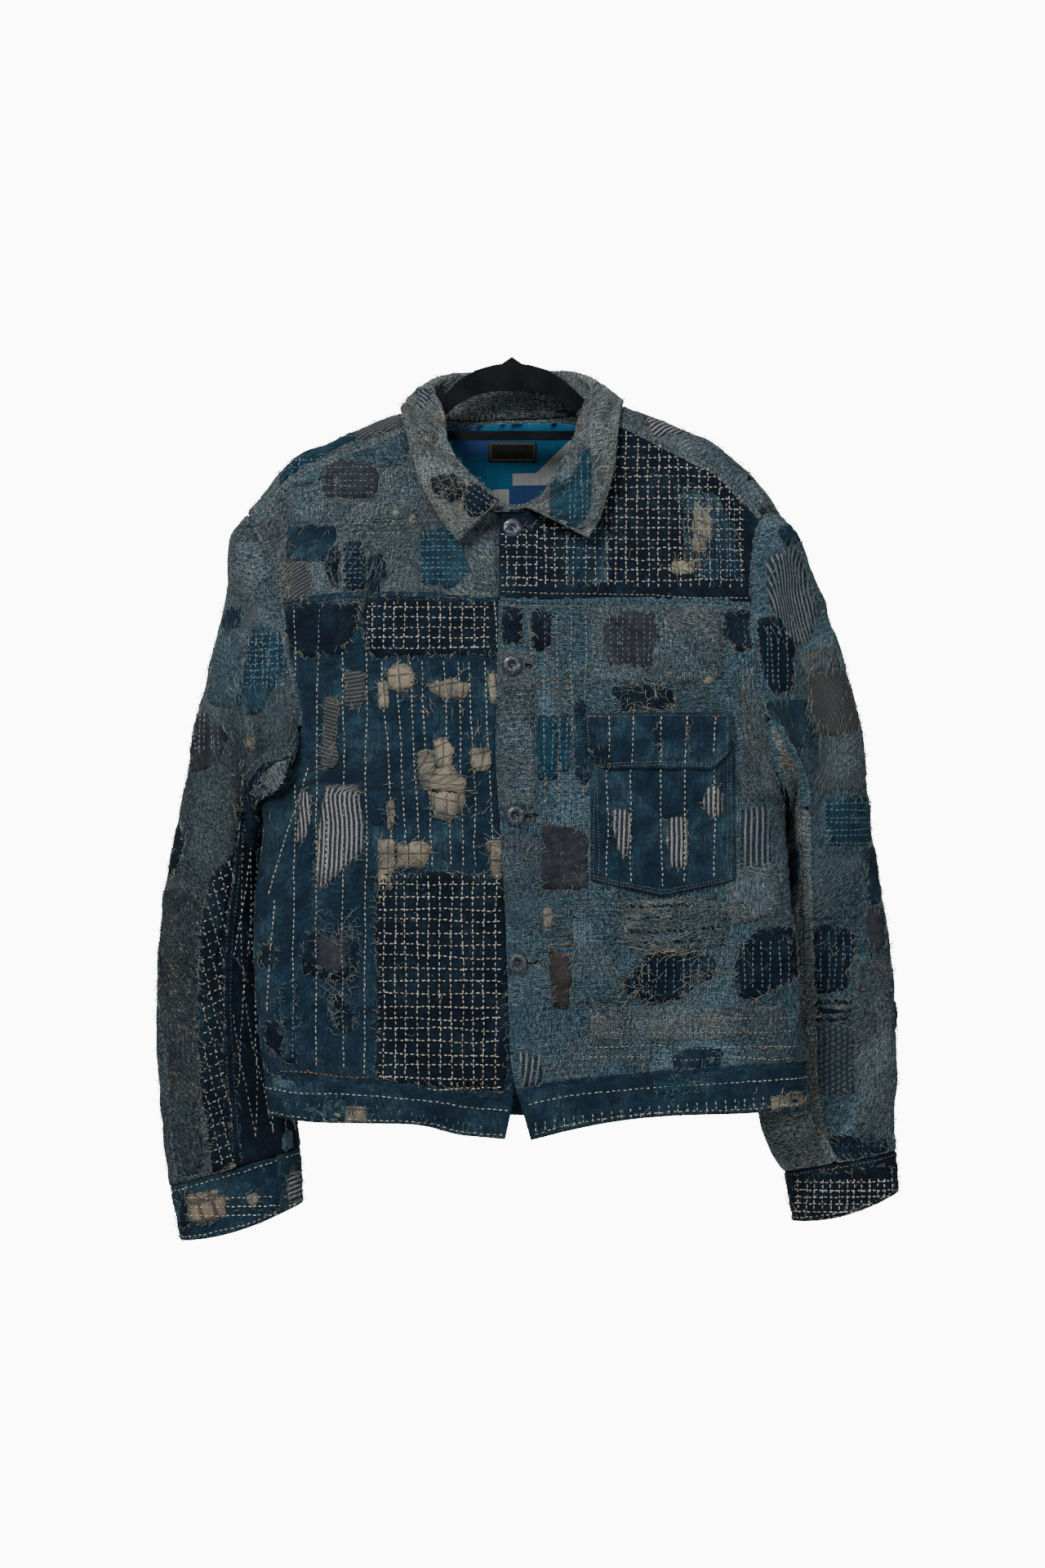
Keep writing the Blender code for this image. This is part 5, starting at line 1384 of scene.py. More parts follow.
def boro_cloth(name, tints, fleck, pitch=(0.0017, 0.0025), pale=SLATE, fall=0.0):
    """The darned ground: fibres and dashes that run level or upright by area, in a patchwork of tints, with
    small pits between the rows where the navy below shows, flecks of straw, and with fall painted shade
    below."""
    made, tree, shader, where = surface(name)
    warp = add(tree, "ShaderNodeTexNoise", {"Vector": where, "Scale": 360.0, "Detail": 2.0})
    away = add(tree, "ShaderNodeVectorMath", {0: warp.outputs["Color"], 1: (0.5, 0.5, 0.5)},
               operation="SUBTRACT")
    small = add(tree, "ShaderNodeVectorMath", {0: away.outputs[0], "Scale": 0.0013}, operation="SCALE")
    bent = add(tree, "ShaderNodeVectorMath", {0: where, 1: small.outputs[0]}, operation="ADD").outputs[0]
    patchwork = add(tree, "ShaderNodeTexVoronoi", {"Vector": bent, "Scale": 17.0, "Randomness": 0.85},
                    distance="CHEBYCHEV")
    tone = add(tree, "ShaderNodeSeparateColor", {0: patchwork.outputs["Color"]}).outputs
    turned = add(tree, "ShaderNodeMapping", {"Vector": bent, "Rotation": (0, 0, math.pi / 2)}).outputs[0]
    level = use(tree, DARNED, Cloth=bent, Pitch=pitch[0], Dash=pitch[1], Wander=0.0018)
    upright = use(tree, DARNED, Cloth=turned, Pitch=pitch[0] * 1.15, Dash=pitch[1] * 1.1, Wander=0.0018)
    way = ranged(tree, tone[1], 0.35, 0.65)
    thread = mixed(tree, way, level["Thread"], upright["Thread"])
    chance = mixed(tree, way, level["Random"], upright["Random"])
    along = add(tree, "ShaderNodeMapping", {"Vector": bent, "Scale": (160.0, 950.0, 1.0)}).outputs[0]
    upwards = add(tree, "ShaderNodeMapping", {"Vector": bent, "Scale": (950.0, 160.0, 1.0)}).outputs[0]
    fibre = mixed(tree, way, clouds(tree, along, 1.0, 3.0, 0.32, 0.68),
                  clouds(tree, upwards, 1.0, 3.0, 0.32, 0.68))
    ground = mixed(tree, ranged(tree, tone[0], 0.2, 0.8), (*tints[0], 1), (*tints[1], 1))
    ground = mixed(tree, ranged(tree, tone[2], 0.68, 0.82), ground, (*tints[2], 1))
    mottle = clouds(tree, where, 34.0, 4.0, 0.36, 0.70)
    ground = mixed(tree, maths(tree, "MULTIPLY", mottle, 0.55), ground, (*tints[1], 1))
    worn = clouds(tree, where, 21.0, 4.0, 0.50, 0.74)
    ground = mixed(tree, maths(tree, "MULTIPLY", worn, 0.45), ground, (*pale, 1))
    deep = maths(tree, "MULTIPLY", ranged(tree, tone[0], 0.80, 0.86), 0.55)
    ground = mixed(tree, deep, ground, (*FADE, 1))
    lit = mixed(tree, maths(tree, "MULTIPLY", fibre, 0.55), ground, (*pale, 1))
    lit = mixed(tree, maths(tree, "MULTIPLY", maths(tree, "POWER", chance, 3.0), 0.5), lit, (*pale, 1))
    straw = maths(tree, "MULTIPLY", ranged(tree, chance, 1 - fleck, 1 - 0.5 * fleck),
                  maths(tree, "MULTIPLY", fibre, clouds(tree, where, 30.0, 2.0, 0.40, 0.62)))
    lit = mixed(tree, straw, lit, (*TAN, 1))
    missing = ranged(tree, chance, 0.20, 0.05)
    shown = maths(tree, "MULTIPLY", maths(tree, "MULTIPLY_ADD", thread, 0.52, 0.48),
                  maths(tree, "MULTIPLY_ADD", missing, -0.45, 1.0))
    pit = ranged(tree,
            maths(tree, "MULTIPLY_ADD", shown, -0.22, clouds(tree, bent, 620.0, 2.0, 0.30, 0.75)), 0.30,
            0.62)
    shown = maths(tree, "MULTIPLY", shown, maths(tree, "MULTIPLY_ADD", pit, -0.62, 1.0))
    shade = mixed(tree, shown, (*PIT, 1), lit)
    rags = add(tree, "ShaderNodeTexVoronoi", {"Vector": bent, "Scale": 33.0, "Randomness": 0.9},
               distance="CHEBYCHEV")
    rag = add(tree, "ShaderNodeSeparateColor", {0: rags.outputs["Color"]}).outputs
    sewn = mixed(tree, ranged(tree, rag[1], 0.45, 0.55), sewn_rows(tree, bent, 0.0048, 0.0060),
                 sewn_rows(tree, turned, 0.0048, 0.0060))
    sewn = maths(tree, "MULTIPLY", sewn, ranged(tree, rag[2], 0.42, 0.50))
    shade = mixed(tree, maths(tree, "MULTIPLY", sewn, 0.55), shade, (*pale, 1))
    aged = maths(tree, "MULTIPLY", clouds(tree, where, 27.0, 4.0, 0.52, 0.70), 0.30)
    shade = mixed(tree, maths(tree, "MULTIPLY", aged, shown), shade, (0.135, 0.125, 0.098, 1))
    tone_and_painted_shade = maths(tree, "MULTIPLY_ADD", fibre, 0.6, 0.72)
    broad = clouds(tree, where, 7.0, 2.0, 0.40, 0.66)
    tone_and_painted_shade = maths(tree, "MULTIPLY", tone_and_painted_shade, maths(tree, "MULTIPLY_ADD", broad, -0.28, 1.10))
    tone_and_painted_shade = maths(tree, "MULTIPLY", tone_and_painted_shade, maths(tree, "MULTIPLY_ADD", rag[0], 0.40, 0.82))
    # Painted shade: with fall set, the colour darkens towards the bottom of the piece, by its height.
    if fall:
        height = add(tree, "ShaderNodeSeparateXYZ",
                     {0: add(tree, "ShaderNodeTexCoord").outputs["Object"]}).outputs["Z"]
        low = ranged(tree, height, -0.20, -0.50)
        tone_and_painted_shade = maths(tree, "MULTIPLY", tone_and_painted_shade, maths(tree, "MULTIPLY_ADD", low, -fall, 1.0))
    colour = add(tree, "ShaderNodeVectorMath", {0: shade, "Scale": tone_and_painted_shade}, operation="SCALE").outputs[0]
    relief = maths(tree, "MULTIPLY_ADD", fibre, 0.45, shown)
    finish(tree, shader, colour, relief, 0.0014)
    return made


def dyed_cloth(name, deep, faded, pale, wear=1.0, threads=900.0, relief=0.0013):
    """Plain indigo cloth, faded in clouds, with its weave as relief."""
    made, tree, shader, where = surface(name)
    dye = use(tree, FADED, Cloth=where, Deep=(*deep, 1), Faded=(*faded, 1), Pale=(*pale, 1), Wear=wear)
    fine = use(tree, WEAVE, Cloth=where, Threads=threads)
    rubbed = add(tree, "ShaderNodeMapping", {"Vector": where, "Scale": (140.0, 185.0, 1.0)}).outputs[0]
    ridge = clouds(tree, rubbed, 1.0, 4.0, 0.30, 0.72)
    speck = clouds(tree, where, 700.0, 3.0, 0.30, 0.72)
    tone = maths(tree, "MULTIPLY_ADD", fine["Slub"], 0.9, 0.34)
    tone = maths(tree, "MULTIPLY_ADD", ridge, 0.55, tone)
    tone = maths(tree, "MULTIPLY_ADD", speck, 0.45, tone)
    tone = maths(tree, "MULTIPLY", tone,
                 maths(tree, "MULTIPLY_ADD", clouds(tree, where, 55.0, 3.0, 0.34, 0.68), 0.50, 0.74))
    shade = add(tree, "ShaderNodeVectorMath", {0: dye["Color"], "Scale": tone},
                operation="SCALE").outputs[0]
    relief_of = maths(tree, "MULTIPLY_ADD", fine["Slub"], 0.8,
                      maths(tree, "MULTIPLY_ADD", ridge, 1.3, fine["Height"]))
    finish(tree, shader, shade, relief_of, relief)
    return made


def striped_cloth(name, ground, stripe, pitch, share=0.5, cross=None, wear=0.6, axis="X"):
    """Stripes along the cloth's own map: the share of each pitch that is inked, with soft woven edges."""
    made, tree, shader, where = surface(name)
    wobble = add(tree, "ShaderNodeTexNoise", {"Vector": where, "Scale": 60.0, "Detail": 2.0}).outputs["Fac"]
    parts = add(tree, "ShaderNodeSeparateXYZ", {0: where}).outputs
    lines = []
    for key, size in ((axis, pitch), ("Y" if axis == "X" else "X", cross)):
        if size:
            place = maths(tree, "MULTIPLY_ADD", wobble, 0.0014, parts[key])
            turn = maths(tree, "PINGPONG", maths(tree, "DIVIDE", place, size), 0.5)
            lines.append(ranged(tree, turn, share / 2 + 0.05, share / 2 - 0.05))
    ink = lines[0] if len(lines) == 1 else maths(tree, "MAXIMUM", *lines)
    fray = clouds(tree, where, 500.0, 2.0, 0.3, 0.7)
    colour = mixed(tree, maths(tree, "MULTIPLY", ink, maths(tree, "MULTIPLY_ADD", fray, 0.15, 0.85)),
                   (*ground, 1), (*stripe, 1))
    grime = clouds(tree, where, 45.0, 3.0, 0.3, 0.75)
    colour = mixed(tree, maths(tree, "MULTIPLY", grime, wear), colour, (*NAVY, 1))
    fine = use(tree, WEAVE, Cloth=where, Threads=800.0)
    tone = maths(tree, "MULTIPLY_ADD", clouds(tree, where, 650.0, 3.0, 0.30, 0.72), 0.55, 0.68)
    colour = add(tree, "ShaderNodeVectorMath", {0: colour, "Scale": tone}, operation="SCALE").outputs[0]
    finish(tree, shader, colour, maths(tree, "MULTIPLY_ADD", ink, 0.5, fine["Height"]), 0.0004)
    return made


def thread_stuff(name, colour, dark):
    """Cotton thread: its tone wanders over a centimetre, with a fine twist as relief."""
    made = bpy.data.materials.new(name)
    made.use_nodes = True
    tree = made.node_tree
    shader = tree.nodes["Principled BSDF"]
    shader.inputs["Roughness"].default_value = 0.85
    shader.inputs["Specular IOR Level"].default_value = 0.1
    where = add(tree, "ShaderNodeTexCoord").outputs["Object"]
    soil = clouds(tree, where, 110.0, 2.0, 0.3, 0.7)
    twist = add(tree, "ShaderNodeTexNoise",
                {"Vector": where, "Scale": 1500.0, "Detail": 1.0}).outputs["Fac"]
    finish(tree, shader, mixed(tree, soil, (*colour, 1), (*dark, 1)), twist, 0.0003)
    return made


BORO = {
    "slate": boro_cloth("boro slate",
                        ((0.046, 0.096, 0.130), (0.016, 0.056, 0.093), (0.062, 0.080, 0.100)), 0.08),
    # The sleeve cloth gets painted shade that darkens it towards its bottom (fall).
    "sleeve": boro_cloth("boro sleeve",
                         ((0.059, 0.094, 0.114), (0.022, 0.053, 0.077), (0.080, 0.083, 0.083)), 0.14,
                         pale=(0.165, 0.212, 0.232), fall=0.34),
    "worn": boro_cloth("boro worn dark",
                       ((0.028, 0.039, 0.045), (0.012, 0.028, 0.040), (0.041, 0.040, 0.038)), 0.16,
                       pale=(0.088, 0.102, 0.104)),
    "pale": boro_cloth("boro pale", ((0.110, 0.148, 0.168), (0.052, 0.090, 0.114), (0.148, 0.146, 0.130)),
                       0.20,
                       pale=(0.32, 0.345, 0.33)),
    "weathered": boro_cloth("boro weathered",
                            ((0.072, 0.112, 0.136), (0.027, 0.062, 0.090), (0.094, 0.098, 0.098)),
                            0.16, pale=(0.20, 0.25, 0.27)),
}
DENIM = dyed_cloth("navy denim", NAVY, FADE, PALE, 1.0)
DARK = dyed_cloth("dark navy", DEEP, (0.0120, 0.0320, 0.0500), FADE, 0.9)
FABRICS = {
    "denim": DENIM,
    "dark": DARK,
    "teal": dyed_cloth("teal cloth", TEAL, (0.020, 0.072, 0.108), PALE, 0.7),
    "umber": dyed_cloth("brown grey cloth", (0.038, 0.033, 0.031), (0.070, 0.060, 0.054), PALE, 0.8),
    "mauve": dyed_cloth("mauve grey cloth", MAUVE, (0.050, 0.053, 0.062), PALE, 0.8),
    "tan": striped_cloth("tan cloth", TAN, (0.085, 0.074, 0.060), 0.0105, 0.12, cross=0.0125, wear=0.70),
    "ticking": striped_cloth("ticking stripes", (0.310, 0.300, 0.275), (0.004, 0.013, 0.034), 0.0042, 0.60,
                             wear=0.25),
    "brown": striped_cloth("brown fine stripes", (0.036, 0.038, 0.041), (0.118, 0.120, 0.115), 0.0034,
                           0.38, wear=0.3,
                           axis="Y"),
    "check": striped_cloth("grey check", (0.075, 0.092, 0.096), (0.016, 0.028, 0.036), 0.0050, 0.42,
                           cross=0.0050,
                           wear=0.35),
    "sky": dyed_cloth("pale blue lining cloth", (0.09, 0.15, 0.21), (0.16, 0.22, 0.27), PALE, 0.8),
    "cord": striped_cloth("grey cords", (0.190, 0.210, 0.212), (0.007, 0.016, 0.029), 0.0054, 0.64,
                          wear=0.35),
    "plaid": striped_cloth("tan plaid", (0.26, 0.20, 0.14), (0.080, 0.070, 0.065), 0.0125, 0.30,
                           cross=0.0195, wear=0.35),
    "slate": BORO["slate"],
    "weathered": BORO["weathered"],
    "worn": BORO["worn"],
}
STITCH = {
    "cream": thread_stuff("cream thread", CREAM, (0.33, 0.29, 0.22)),
    "ice": thread_stuff("blue white thread", ICE, (0.09, 0.15, 0.20)),
    "gold": thread_stuff("orange thread", (0.42, 0.20, 0.07), (0.22, 0.12, 0.06)),
    "straw": thread_stuff("straw thread", (0.42, 0.38, 0.29), (0.170, 0.160, 0.130)),
    "slate": thread_stuff("slate thread", (0.205, 0.265, 0.280), (0.090, 0.135, 0.150)),
}
print("cloths:", len(FABRICS), "threads:", len(STITCH))

# %% [markdown]
# ## The cut pieces
#
# Now each coarse grid becomes a fine shell that stands in for its solid. The front gets the smallest
# cells, because it is seen most, and the sides and back somewhat larger ones. The dark pieces are navy
# work cloth and the others the darned ground, as on the real jacket.

# %% Shells of every piece
# Columns: z of the bell, its reach, how far in, in mm
HEAD = {LEFT: (-218.0, 38.0, 7.5), RIGHT: (-152.0, 24.0, 7.0)}
CUFF_SAG = 3.0
CUFF_BOW = 7.0


def radial(grid, centre):
    """1 if the grid's cross product points away from the centre line, else -1."""
    return np.sign(((grid - centre) * normals_of(grid)).sum())


def settled(grid, hand):
    """The sleeve head drawn in by a bell across its outline, as worn cloth sits closer than its seam."""
    x, z = grid[..., 0] * hand, grid[..., 2]
    middle, reach, depth = HEAD[hand]
    inward = depth * np.exp(-(((z - middle) / reach) ** 2)) * np.clip((x - 225) / 25, 0, 1)
    return grid - np.stack([hand * inward, 0 * x, 0 * x], axis=-1)


def bowed(band):
    """A cuff whose open end hangs lower, most in its middle: a sag that grows along the rows times a bow
    across."""
    x = band[..., 0]
    share = (x - x.min()) / (x.max() - x.min())
    end = np.linspace(0, 1, len(band))[:, None]
    if band[0, :, 2].mean() < band[-1, :, 2].mean():
        end = end[::-1]
    drop = end**1.5 * (CUFF_SAG + CUFF_BOW * np.sin(math.pi * share))
    return band - np.stack([0 * x, 0 * x, drop], axis=-1)


def make_cloths():
    """Every piece of cloth by name, from the same grids as its solid."""
    made = {}
    sides = {"front_right": (1, 0), "front_left": (1, 0), "back": (1, 1)}
    for name, grid in panels().items():
        left, right = (TURN_EASE if side else SEAM_EASE for side in sides.get(name, (0, 0)))
        top = YOKE_EASE if "yoke" in name or name == "back" else SEAM_EASE
        grid = eased(grid, bottom=top, top=top, left=left, right=right)
        wall, step = (BAND, 2.4) if name == "waistband" else (SHELL, 2.2 if "front" in name else 3.8)
        centre = np.stack([np.full(grid.shape[:2], 6.0), 0 * grid[..., 1], grid[..., 2]], axis=-1)
        made[name] = Cloth(name, grid, wall, step, radial(grid, centre), (1.2, 1.1))
    for hand, word in ((LEFT, "right"), (RIGHT, "left")):
        grid, angles = sleeve(hand)
        grid = settled(grid, hand)
        first = int(np.argmin(np.abs(angles - UNDER_SLEEVE_FROM)))
        last = int(np.argmin(np.abs(angles - UNDER_SLEEVE_TO)))
        centre = np.broadcast_to(grid.mean(axis=1, keepdims=True), grid.shape)
        facing = radial(grid, centre)
        parts = {
            "sleeve_upper_" + word: grid[:, first : last + 1],
            "sleeve_under_" + word: np.concatenate([grid[:, last:], grid[:, 1 : first + 1]], axis=1),
        }
        for name, part in parts.items():
            part = eased(part, bottom=0, left=SLEEVE_EASE, right=SLEEVE_EASE)
            made[name] = Cloth(name, part, SHELL, 3.0 if "upper" in name else 3.6, facing, (1.7, 1.2))
        band = bowed(cuff(hand))
        centre = np.broadcast_to(band.mean(axis=1, keepdims=True), band.shape)
        made["cuff_" + word] = Cloth("cuff_" + word, band, BAND, 2.1, radial(band, centre), (0.4, 1.0))
    made["collar"] = Cloth("collar", collar(), SHELL, 2.0, 1, (0.35, 0.9))
    front = np.sign(-normals_of(pocket())[..., 1].mean())
    made["pocket"] = Cloth("pocket", pocket(), POCKET_WALL, 1.9, front, (0.25, 0.6))
    made["pocket_flap"] = Cloth("pocket_flap", flap(), POCKET_WALL, 1.7, front, (0.2, 0.6))
    inward = np.sign(-normals_of(lining())[..., 1].mean())
    made["back_lining"] = Cloth("back_lining", lining(), LINING, 5.0, inward, (0.4, 0.3))
    made["neck_tab"] = Cloth("neck_tab", tab(), TAB["wall"], 1.2, inward, (0.0, 0.1))
    return made


CLOTHS = make_cloths()
leaf = CLOTHS["collar"]
if leaf.normals[-6:, leaf.u.shape[1] // 2, 1].mean() < 0:
    leaf = CLOTHS["collar"] = Cloth("collar", collar(), SHELL, 2.0, -1, (0.35, 0.9))
for name, piece in CLOTHS.items():
    print(f"{name}: {piece.width:.0f} x {piece.length:.0f} mm, {piece.u.size} points")

# %% [markdown]
# ## Patches
#
# Rags are laid over the ground with their raw edges showing, or lie behind a tear. Each one here is a thin
# closed sheet of its own: its outline is read from the picture in pixels, frayed by noise, found again on
# the piece's fine surface, and filled with rings that shrink to its middle. Painting the patches into one
# material would cost nothing, but it would lose their edges, their thickness and their shadows.

# %% Outlines of patches, and how they are filled
def outline(numbers):
    """Corners from x and y pairs in pixels, or a box from its four sides."""
    if len(numbers) == 4:
        x0, y0, x1, y1 = numbers
        numbers = (x0, y0, x1, y0, x1, y1, x0, y1)
    return np.array(numbers, float).reshape(-1, 2)


def frayed(corners, ragged, step, kind):
    """A closed outline read at even steps, its corners softened, moved in and out by two sizes of noise."""
    ring = np.concatenate([corners, corners[:1]])
    run = np.concatenate([[0], np.cumsum(np.linalg.norm(np.diff(ring, axis=0), axis=1))])
    count = max(16, int(run[-1] / step))
    at = np.linspace(0, run[-1], count, endpoint=False)
    points = np.stack([np.interp(at, run, ring[:, k]) for k in (0, 1)], axis=-1)
    for _ in range(2):
        points = 0.5 * points + 0.25 * (np.roll(points, 1, axis=0) + np.roll(points, -1, axis=0))
    ahead = np.roll(points, -1, axis=0) - np.roll(points, 1, axis=0)
    away = unit(np.stack([ahead[:, 1], -ahead[:, 0]], axis=-1))
    wave = noise(at, 0 * at, 9.0, kind) + 0.6 * noise(at, 0 * at, 3.1, kind + 5)
    return points + ragged * away * wave[:, None]


def patch_arrays(cloth, i, j, lift, turn, curl, kind):
    """A thin closed sheet inside a ring of (row, column) places: rings from the middle to the edge on top,
    every third ring below, and the two joined at the edge. The top stands `lift` over the cloth and its
    edge curls a little."""
    middle_i, middle_j = i.mean(), j.mean()
    reach = np.hypot(i - middle_i, j - middle_j).mean() * cloth.step
    rings = max(2, int(reach / 5.2))
    count = len(i)
    share = np.linspace(0, 1, rings + 1)[1:, None]
    rows, columns = middle_i + share * (i - middle_i), middle_j + share * (j - middle_j)
    edge = np.broadcast_to(np.exp(-(1 - share) * reach / 2.2), rows.shape)
    wave = noise(rows * cloth.step, columns * cloth.step, 6.0)
    height = lift + 0.22 * wave + edge * (curl * noise(rows * cloth.step, columns * cloth.step, 4.0,
                                                       kind + 3) - 0.15)
    top = cloth.at(rows, columns, height)
    below = cloth.at(rows[::-3][::-1], columns[::-3][::-1], -0.9)
    centre = cloth.at(np.array([middle_i, middle_i]), np.array([middle_j, middle_j]),
                      np.array([lift, -0.9]))
    points = np.concatenate([centre, top.reshape(-1, 3), below.reshape(-1, 3)])

    def band(start, number):
        index = start + np.arange(number * count).reshape(number, count)
        ahead = np.roll(index, -1, axis=1)
        return triangles(np.stack([index[:-1], index[1:], ahead[1:], ahead[:-1]], axis=-1).reshape(-1,
                4)), index

    upper, top_index = band(2, rings)
    lower, low_index = band(2 + rings * count, len(below))
    fans = [np.stack([np.full(count, end), index[0], np.roll(index[0], -1)], axis=-1)
            for end, index in ((0, top_index), (1, low_index))]
    skirt = np.stack([top_index[-1], low_index[-1], np.roll(low_index[-1], -1),
                      np.roll(top_index[-1], -1)], axis=-1)
    faces = np.concatenate([upper, fans[0], lower[:, ::-1], fans[1][:, ::-1], triangles(skirt)])
    places_i = np.concatenate([[middle_i] * 2, rows.ravel(), rows[::-3][::-1].ravel()])
    places_j = np.concatenate([[middle_j] * 2, columns.ravel(), columns[::-3][::-1].ravel()])
    flat = blended(np.stack([cloth.u, cloth.v], axis=-1), places_i, places_j)
    cosine, sine = math.cos(math.radians(turn)), math.sin(math.radians(turn))
    uv = np.stack([flat[:, 0] * cosine - flat[:, 1] * sine, flat[:, 0] * sine + flat[:, 1] * cosine],
                  axis=-1)
    return points, outward_faces(points - points.mean(axis=0), faces), uv + 13.7 * kind


